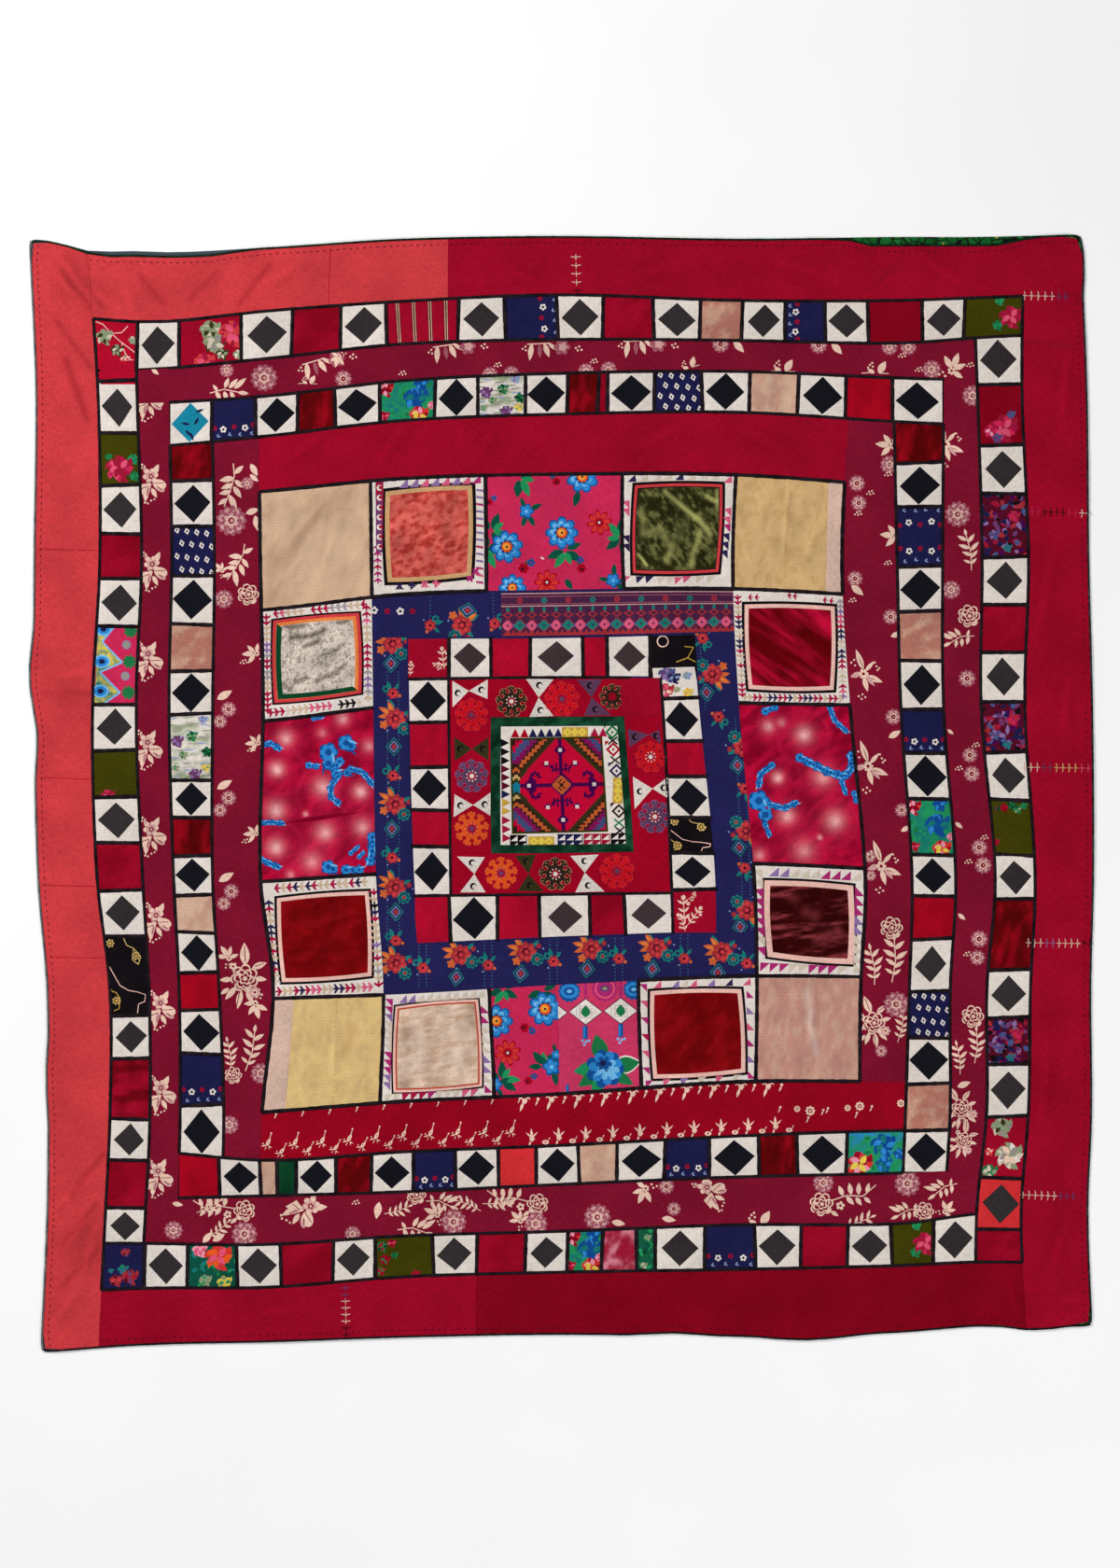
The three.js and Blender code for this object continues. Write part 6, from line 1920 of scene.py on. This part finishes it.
# %% [markdown]
# Tapes and bindings follow a path, so Geometry Nodes sweep them. The path is a chain of edges on the cloth,
# resampled to even steps, and a circle pressed low is drawn along it. Its width comes from the path, and a
# little randomness keeps it from looking machine-made.

# %% Swept cord tree
CORD_STEP = 6.5 * MM
CORD_SIDES = 8
CORD_RISE = 0.3
PATH_STEP = 4.0


def new_tree(name, inputs):
    """A geometry node tree with the named inputs, and its in and out nodes."""
    tree = bpy.data.node_groups.new(name, "GeometryNodeTree")
    tree.interface.new_socket("Geometry", in_out="INPUT", socket_type="NodeSocketGeometry")
    for label, kind in read_rows(inputs):
        tree.interface.new_socket(label, in_out="INPUT", socket_type="NodeSocket" + kind)
    tree.interface.new_socket("Geometry", in_out="OUTPUT", socket_type="NodeSocketGeometry")
    return tree, tree.nodes.new("NodeGroupInput").outputs


def read_point(tree, name):
    reader = add(tree, "GeometryNodeInputNamedAttribute", {"Name": name}, data_type="FLOAT")
    return reader.outputs["Attribute"]


def uneven(tree, given):
    """A random factor about one for each point."""
    least = math_node(tree, "SUBTRACT", 1.0, given["Unevenness"])
    most = math_node(tree, "ADD", 1.0, given["Unevenness"])
    inputs = {2: least, 3: most, "Seed": given["Seed"]}
    return add(tree, "FunctionNodeRandomValue", inputs, data_type="FLOAT").outputs[1]


def close_tree(tree, geometry, material):
    real = add(tree, "GeometryNodeRealizeInstances", {"Geometry": geometry}).outputs["Geometry"]
    smooth = add(tree, "GeometryNodeSetShadeSmooth", {"Geometry": real}).outputs["Geometry"]
    dressed = add(tree, "GeometryNodeSetMaterial", {"Geometry": smooth, "Material": material})
    add(tree, "NodeGroupOutput", {"Geometry": dressed.outputs["Geometry"]})


def swept_cord():
    tree, given = new_tree("Swept cord", "Step Float, Unevenness Float, Seed Int, Material Material")
    curve = add(tree, "GeometryNodeMeshToCurve", {"Mesh": given["Geometry"]}).outputs["Curve"]
    steps = {"Curve": curve, "Length": given["Step"]}
    even = add(tree, "GeometryNodeResampleCurve", steps, mode="LENGTH").outputs["Curve"]
    flat = add(tree, "GeometryNodeSetCurveNormal", {"Curve": even}, mode="Z_UP").outputs["Curve"]
    radius = math_node(tree, "MULTIPLY", read_point(tree, "Half"), uneven(tree, given))
    circle = add(tree, "GeometryNodeCurvePrimitiveCircle", {"Resolution": CORD_SIDES, "Radius": 1.0})
    pressed = {"Geometry": circle.outputs["Curve"], "Scale": (1.0, CORD_RISE, 1.0)}
    low = add(tree, "GeometryNodeTransform", pressed).outputs["Geometry"]
    shaped = add(tree, "GeometryNodeSetCurveRadius", {"Curve": flat, "Radius": radius}).outputs["Curve"]
    swept = add(tree, "GeometryNodeCurveToMesh", {
        "Curve": shaped, "Profile Curve": low, "Scale": radius, "Fill Caps": True}).outputs["Mesh"]
    close_tree(tree, swept, given["Material"])
    return tree


def grown(tree, mesh, settings, name):
    """Runs a tree on a mesh and hands back a plain mesh."""
    carrier = bpy.data.objects.new(name + "_path", mesh)
    bpy.context.scene.collection.objects.link(carrier)
    modifier = carrier.modifiers.new("grow", "NODES")
    modifier.node_group = tree
    for item in tree.interface.items_tree:
        if item.in_out == "INPUT" and item.name in settings:
            modifier[item.identifier] = settings[item.name]
    seen = carrier.evaluated_get(bpy.context.evaluated_depsgraph_get())
    plain = bpy.data.meshes.new_from_object(seen)
    carrier.modifiers.remove(modifier)
    bpy.data.objects.remove(carrier)
    plain.name = name
    places = np.array([plain.vertices[loop.vertex_index].co for loop in plain.loops])[:, :2]
    span = np.ptp(places, axis=0)
    flat = BAKE_MARGIN + (places - places.min(axis=0)) / span.max() * (1 - 2 * BAKE_MARGIN)
    plain.uv_layers.new(name="OFBake").data.foreach_set("uv", flat.ravel())
    return plain


def on_cloth(points, rest, lift=0.0):
    """Places on the cloth's surface for chart points."""
    height = np.maximum(rest + relief(points) + lift, LOWEST)
    return np.column_stack((to_frame(points), height))


def path_mesh(name, paths):
    """Chains of edges for (chart points, rest height, width in chart units, lift) rows."""
    places, edges, halves = [], [], []
    for points, rest, width, lift in paths:
        points = walk(points, PATH_STEP, closed=False)
        first = len(places)
        places.extend(on_cloth(points, rest, lift).tolist())
        edges.extend((first + k, first + k + 1) for k in range(len(points) - 1))
        halves.extend([width * CHART_UNIT / 2] * len(points))
    mesh = bpy.data.meshes.new(name)
    mesh.from_pydata(places, edges, [])
    mesh.attributes.new("Half", "FLOAT", "POINT").data.foreach_set("value", halves)
    return mesh


def twisted(name, dye, second):
    """A thread or tape with slanting plies, in one dye with a lighter one on the crowns."""
    material, tree = start_material(name)
    place = add(tree, "ShaderNodeTexCoord").outputs["Object"]
    plies = noise(tree, place, 1.0, 2.0, (520, 380, 200))
    wear_and_painted_light = noise(tree, place, 40.0, 3.0)
    crowns = spread(tree, math_node(tree, "MULTIPLY", plies, wear_and_painted_light), 0.15, 0.45, 0.0, 1.0)
    mixed = mix(tree, crowns, dye, second)
    bump = add(tree, "ShaderNodeBump", {"Strength": 0.5, "Distance": 0.3 * MM, "Height": plies})
    close_material(tree, mixed, bump.outputs["Normal"], spread(tree, wear_and_painted_light, 0.3, 0.7, 0.9, 0.75))
    return material


CORD = swept_cord()
print("cord tree nodes:", len(CORD.nodes))

# %% [markdown]
# The rim is bound with a narrow dark strip, black to slate, folded over the raw edge. A fold could be built,
# but only the strip's rounded back shows, so the cord tree sweeps it along the middle of each solid.

# %% Binding
# main dye of each run and the one that shows where it is worn
BINDING_DYES = {
    "top": ("black", "bottle_green"), "right": ("black", "slate"), "bottom": ("black", "tape_wear"),
    "left": ("slate", "grey"),
}
BINDING_LIFT = -0.4 * MM
for side in SIDES:
    node = "binding_" + side
    loop, rest = cut_line(node)
    top, right, bottom, left = four_sides(loop)
    near, far = (top, bottom) if side in ("top", "bottom") else (left, right)
    count = max(len(near), len(far)) * 2
    length = np.hypot(*np.diff(near, axis=0).T).sum()
    near, far = [walk(edge, length / count, closed=False) for edge in (near, far)]
    points = (near[:len(far)] + far[:len(near)]) / 2
    width = polygon_area(loop) / length
    material = twisted(node + "_strip", *BINDING_DYES[side])
    settings = {"Step": CORD_STEP, "Unevenness": 0.1, "Seed": 7, "Material": material}
    mesh = grown(CORD, path_mesh(node, [(points, rest, width, BINDING_LIFT)]), settings, node + "_strip")
    finish_piece(node + "_strip", mesh, node)

# %% [markdown]
# All the layers are charted now, so one loop sews the sheets. It follows the binding.

# %% Sew every sheet
cloths = {}
for node, panel in panels.items():
    cloths[node] = sew(panel)
print("sheets:", len(cloths), "triangles:", sum(len(piece.data.polygons) for piece in cloths.values()))

# %% [markdown]
# Along both edges of every band, across it between the patches, and between the blocks runs a dark tape.
# On the real cover these are black strips and couched cords that hide the joins.

# %% Dark tapes over the seams
EDGE_TAPE = 3.4
CROSS_TAPE = 4.2
BLOCK_TAPE = 4.2
TAPE_LIFT = -0.45 * MM
tape_paths = []
# the ring of patches has no tape where it meets the blue frame
BARE_EDGE = {"patch_ring_" + side: side for side in SIDES}
# where a corner patch runs on into the next band, only this part of the bottom edge has a tape
KEPT_PART = {"outer_band_top": (147, 1200), "patch_ring_top": (0, 699)}
for node in BANDS:
    band = panels[node]
    sides = (band.top, band.bottom) if band.lies_across else (band.left, band.right)
    for side in sides:
        if node in BARE_EDGE and side is getattr(band, BARE_EDGE[node]):
            continue
        if node in KEPT_PART and side is band.bottom:
            low, high = KEPT_PART[node]
            side = side[(side[:, 0] > low) & (side[:, 0] < high)]
        tape_paths.append((side, band.rest, EDGE_TAPE, TAPE_LIFT))
# band ends that meet a plain border
END_TAPES = {
    "outer_band_top": ("left", "right"), "outer_band_bottom": ("left",), "outer_band_right": ("bottom",),
}
for node, ends in END_TAPES.items():
    tape_paths += [(getattr(panels[node], end), panels[node].rest, EDGE_TAPE, TAPE_LIFT) for end in ends]
for band, along, lean in cross_seams:
    ends = [band.place(along + lean, 0), band.place(along - lean, 1)]
    tape_paths.append((ends, band.rest, CROSS_TAPE, TAPE_LIFT))
# block and the edges that carry a tape
BLOCK_EDGES = read_rows("""
block_beige_plush top left, block_coral_velvet top left right bottom, block_pink_top top,
block_olive_velvet top left right bottom, block_yellow_top top right, block_silver_velvet top left bottom,
block_bubbles_left left, block_red_velvet_left top left bottom, block_yellow_bottom left bottom,
block_cream_velvet left bottom right, block_pink_bottom bottom,
block_red_velvet_bottom left bottom right top, block_rose_plush bottom right,
block_crimson_velvet top bottom, block_bubbles_right right, block_maroon_velvet top right bottom left
""")
for node, *edges in BLOCK_EDGES:
    block = panels[node]
    tape_paths += [(getattr(block, edge), block.rest, BLOCK_TAPE, TAPE_LIFT) for edge in edges]
settings = {
    "Step": CORD_STEP, "Unevenness": 0.14, "Seed": 4, "Material": twisted("dark_tape", "black", "tape_wear"),
}
tape = grown(CORD, path_mesh("tape_paths", tape_paths), settings, "seam_tapes")
finish_piece("seam_tapes", tape)
print("tapes:", len(tape_paths), "triangles:", len(tape.polygons) * 2)

# %% [markdown]
# Hand stitches are short threads lying on the cloth. Each one is a small low spindle, set on a point that
# carries its length, heading and dye. The same tree makes the running stitches inside the rim, the feather
# stitches over the border's joins, the chain stitches of the ring and the crosses of the centre patch.

# %% Stitch tree
def hand_stitches():
    tree, given = new_tree(
        "Hand stitches", "Width Float, Height Float, Unevenness Float, Seed Int, Material Material")
    spindle = add(tree, "GeometryNodeMeshIcoSphere", {"Radius": 0.5, "Subdivisions": 1}).outputs["Mesh"]
    turn = add(tree, "ShaderNodeCombineXYZ", {"Z": read_point(tree, "Turn")}).outputs["Vector"]
    wide = math_node(tree, "MULTIPLY", given["Width"], uneven(tree, given))
    size = add(tree, "ShaderNodeCombineXYZ", {
        "X": read_point(tree, "Long"), "Y": wide, "Z": given["Height"]})
    placed = add(tree, "GeometryNodeInstanceOnPoints", {
        "Points": given["Geometry"], "Instance": spindle,
        "Rotation": add(tree, "FunctionNodeEulerToRotation", {"Euler": turn}).outputs["Rotation"],
        "Scale": size.outputs["Vector"]}).outputs["Instances"]
    close_tree(tree, placed, given["Material"])
    return tree


def floss():
    """Embroidery floss: the stitch's own dye with fine strands."""
    material, tree = start_material("floss")
    dye = add(tree, "ShaderNodeAttribute", attribute_name="Dye").outputs["Color"]
    place = add(tree, "ShaderNodeTexCoord").outputs["Object"]
    strands = noise(tree, place, 900.0, 2.0)
    shade = spread(tree, strands, 0.3, 0.7, 0.82, 1.12)
    colour = add(tree, "ShaderNodeVectorMath", {0: dye, "Scale": shade}, operation="SCALE").outputs["Vector"]
    bump = add(tree, "ShaderNodeBump", {"Strength": 0.4, "Distance": 0.15 * MM, "Height": strands})
    close_material(tree, colour, bump.outputs["Normal"], spread(tree, strands, 0.3, 0.7, 0.75, 0.6))
    return material


STITCH = hand_stitches()
FLOSS = floss()


def sew_stitches(name, rows, width, height, unevenness, seed):
    """Makes one piece from (x, y, heading, length, dye, rest) rows in chart units, degrees and metres."""
    points = np.array([row[:2] for row in rows], float)
    rests = np.array([row[5] for row in rows])
    mesh = bpy.data.meshes.new(name)
    mesh.from_pydata(on_cloth(points, rests).tolist(), [], [])
    lengths = np.array([row[3] for row in rows]) * CHART_UNIT
    turns = np.radians([row[2] for row in rows])
    colours = np.array([(*linear(row[4]), 1.0) for row in rows])
    mesh.attributes.new("Long", "FLOAT", "POINT").data.foreach_set("value", lengths)
    mesh.attributes.new("Turn", "FLOAT", "POINT").data.foreach_set("value", turns)
    mesh.attributes.new("Dye", "FLOAT_COLOR", "POINT").data.foreach_set("color", colours.ravel())
    plain = grown(STITCH, mesh, {
        "Width": width, "Height": height, "Unevenness": unevenness, "Seed": seed, "Material": FLOSS}, name)
    return finish_piece(name, plain)


print("stitch tree nodes:", len(STITCH.nodes))

# %% [markdown]
# Feather stitches in pale and dark threads hold the joins of the border, and running stitches follow its rim.
# Only their places are worked out here, step by step along a line, and the tree does the rest.

# %% Stitches on the border
feathers = []


def feather(panel, path, inks, size):
    """A stem with a pair of slanting stitches at each step, one ink after another along it."""
    spots = walk(path, size * 0.95, closed=False)
    way = spots[-1] - spots[0]
    heading = -math.degrees(math.atan2(way[1], way[0]))
    ahead = way / np.hypot(*way)
    aside = np.array((-ahead[1], ahead[0]))
    for number, spot in enumerate(spots):
        ink = inks[number * len(inks) // len(spots)]
        feathers.append((*spot, heading, size * 1.3, ink, panel.rest))
        for sign in (-1, 1):
            x, y = spot + aside * sign * size * 0.4 - ahead * size * 0.06
            feathers.append((x, y, heading + sign * 80, size * 0.95, ink, panel.rest))


# strip, ends of the line, stitch size and inks along it
FEATHERED = read_rows("""
border_top_crimson 617 276 618 312 7.0 cream_pink cream_pink cream_pink black,
border_right 1098 317 1142 318 6.5 cream_pink cream_pink purple,
border_right 1106 548 1166 550 6.5 pink black black pink cream_pink,
border_right 1098 822 1166 823 6.5 cream_pink dull_purple pale_gold pale_gold rose_pink,
border_right 1102 1010 1168 1011 6.5 cream_pink violet cream_pink cream_pink black,
border_right 1096 1280 1150 1282 6.5 cream_pink cream_pink purple,
border_bottom_crimson 370 1380 371 1430 6.5 purple cream_pink cream_pink black
""")
for node, x0, y0, x1, y1, size, *inks in FEATHERED:
    feather(panels[node], ((x0, y0), (x1, y1)), inks, size)
RIM_INSET = 5.5
RIM_STEP = 7.0
RIM_STITCH = 3.4
# strip, its outer edge, and the way inwards from it
RIM_RUNS = read_rows("""
border_left left 1 0, border_top_coral top 0 1, border_top_crimson top 0 1, border_right right -1 0,
border_bottom_crimson bottom 0 -1, border_bottom_dark bottom 0 -1
""")
for node, side, step_x, step_y in RIM_RUNS:
    border = panels[node]
    spots = walk(getattr(border, side) + np.array((step_x, step_y)) * RIM_INSET, RIM_STEP, closed=False)
    for (x0, y0), (x1, y1) in zip(spots, spots[1:]):
        heading = math.degrees(math.atan2(y0 - y1, x1 - x0))
        feathers.append(((x0 + x1) / 2, (y0 + y1) / 2, heading, RIM_STITCH, "maroon", border.rest))
sew_stitches(
    "border_stitches", feathers, width=1.9 * MM, height=1.0 * MM, unevenness=0.2, seed=3)
print("border stitches:", len(feathers))

# %% [markdown]
# The figures of the ring are filled with chain stitch. Its loops are too small to see at this distance, so
# short threads stand for them, along the arms of each rosette and in rows across each triangle.

# %% Chain stitches of the ring
chains = []
HOOK_ROOM = 5.2
ring_rest = panels["star_ring_top"].rest
for x, y, radius, arms, rim, middle in ROSETTES:
    for number in range(TREFOILS):
        turn = FULL_TURN / TREFOILS * number
        for reach in (0.3, 0.45, 0.6, 0.75, 0.9):
            at = (x + radius * reach * math.cos(turn), y - radius * reach * math.sin(turn))
            ink = middle if reach < 0.4 else arms
            chains.append((*at, math.degrees(turn), radius * 0.17, ink, ring_rest))
        for lean in (-13, 13):
            place = turn + math.radians(lean)
            at = (x + radius * 0.8 * math.cos(place), y - radius * 0.8 * math.sin(place))
            chains.append((*at, math.degrees(place) + 3 * lean, radius * 0.2, arms, ring_rest))
    for turn in np.arange(0, FULL_TURN, FULL_TURN / 18):
        at = (x + radius * 0.46 * math.cos(turn), y - radius * 0.46 * math.sin(turn))
        chains.append((*at, math.degrees(turn) + 90, radius * 0.18, arms, ring_rest))
for x0, y0, x1, y1, x, y, x2, y2, x3, y3, ink in BOW_TIES:
    for base in (((x0, y0), (x1, y1)), ((x2, y2), (x3, y3))):
        start, end = np.array(base)
        for share in np.linspace(0.12, 0.8, 6):
            row = walk([start + ((x, y) - start) * share, end + ((x, y) - end) * share], 3.2, closed=False)
            for (ax, ay), (bx, by) in zip(row, row[1:]):
                heading = math.degrees(math.atan2(ay - by, bx - ax))
                spot = np.array((ax + bx, ay + by)) / 2
                if np.hypot(*(spot - (start + end + (x, y)) / 3)) > HOOK_ROOM:
                    chains.append((*spot, heading, 3.6, ink, ring_rest))
# the plain end of the upper run has no chain stitches
PLAIN_FROM_X, PLAIN_TO_Y = 664.5, 775
inside_ring = [row for row in chains if not (row[0] > PLAIN_FROM_X and row[1] < PLAIN_TO_Y)]
sew_stitches(
    "ring_stitches", inside_ring, width=2.2 * MM, height=0.8 * MM, unevenness=0.25, seed=5)
print("ring stitches:", len(inside_ring))

# %% [markdown]
# The centre patch is all cross stitch, so it is charted by counting: a red diamond field with a purple cross
# that ends in hooks, a stepped diamond in the middle, and striped corners. Every count is two threads lying
# across each other.

# %% Crosses of the centre patch
crosses = []
patch_rest = panels["centre_patch"].rest
count_size = np.hypot(*(PATCH_CORNERS[1] - PATCH_CORNERS[0])) / COUNTS
for row, dyes in enumerate(counted):
    for column, dye in enumerate(dyes):
        x, y = count_place(column + 0.5, row + 0.5)
        crosses += [(x, y, heading, count_size * 1.45, dye, patch_rest) for heading in (45, -45)]
thread_width = count_size * CHART_UNIT * 0.62
sew_stitches(
    "patch_crosses", crosses, width=thread_width, height=0.8 * MM, unevenness=0.1, seed=9)
print("crosses:", len(crosses) // 2)

# %% [markdown]
# The photograph is a catalogue picture: the cover lies on white, the camera looks straight down, and the
# light is broad and even with a slight lead from the upper left.

# %% Floor, light and camera
FLOOR_HALF = 6.0
FLOOR_DROP = 0.3 * MM
SKY_STRENGTH = 0.38
floor_mesh = bpy.data.meshes.new("floor")
floor_mesh.from_pydata(
    [(-FLOOR_HALF, -FLOOR_HALF, -FLOOR_DROP), (FLOOR_HALF, -FLOOR_HALF, -FLOOR_DROP),
     (FLOOR_HALF, FLOOR_HALF, -FLOOR_DROP), (-FLOOR_HALF, FLOOR_HALF, -FLOOR_DROP)], [], [(0, 1, 2, 3)])
floor = bpy.data.objects.new("floor", floor_mesh)
bpy.context.scene.collection.objects.link(floor)
floor_paint, paint_tree = start_material("pale_floor")
paint_place = add(paint_tree, "ShaderNodeTexCoord").outputs["Object"]
paint_tone = spread(paint_tree, noise(paint_tree, paint_place, 3.0), 0.3, 0.7, 0.93, 0.95)
paint_shader = add(paint_tree, "ShaderNodeBsdfPrincipled", {
    "Base Color": add(paint_tree, "ShaderNodeCombineColor", {
        "Red": paint_tone, "Green": paint_tone, "Blue": paint_tone}).outputs["Color"],
    "Roughness": 0.9,
    "Specular IOR Level": 0.1,
})
add(paint_tree, "ShaderNodeOutputMaterial", {"Surface": paint_shader.outputs["BSDF"]})
floor_mesh.materials.append(floor_paint)

scene = bpy.context.scene
scene.view_settings.view_transform = "Standard"
world = bpy.data.worlds.new("studio")
scene.world = world
world.use_nodes = True
sky = world.node_tree.nodes["Background"].inputs
sky["Color"].default_value = (1.0, 1.0, 1.0, 1.0)
sky["Strength"].default_value = SKY_STRENGTH
# name, place, size and power of each soft light
LIGHTS = [
    ("key", (-3.9, 3.0, 3.7), 2.2, 250.0),
    ("fill", (3.0, -3.4, 4.4), 3.4, 150.0),
]
for name, place, size, power in LIGHTS:
    light = bpy.data.lights.new(name, "AREA")
    light.shape = "DISK"
    light.size = size
    light.energy = power
    lamp = bpy.data.objects.new(name, light)
    lamp.location = place
    lamp.rotation_mode = "QUATERNION"
    lamp.rotation_quaternion = (-Vector(place)).to_track_quat("-Z", "Y")
    scene.collection.objects.link(lamp)

CAMERA_HEIGHT = 6.0
PICTURE_MIDDLE = np.array((600.0, 840.0))
PICTURE_HEIGHT = 1680.0
SENSOR = 36.0
camera_data = bpy.data.cameras.new("camera")
camera_data.sensor_width = SENSOR
camera_data.lens = SENSOR * CAMERA_HEIGHT / (PICTURE_HEIGHT * CHART_UNIT)
camera_data.dof.use_dof = False
camera = bpy.data.objects.new("camera", camera_data)
camera.location = (*to_frame(PICTURE_MIDDLE), CAMERA_HEIGHT)
scene.collection.objects.link(camera)
scene.camera = camera
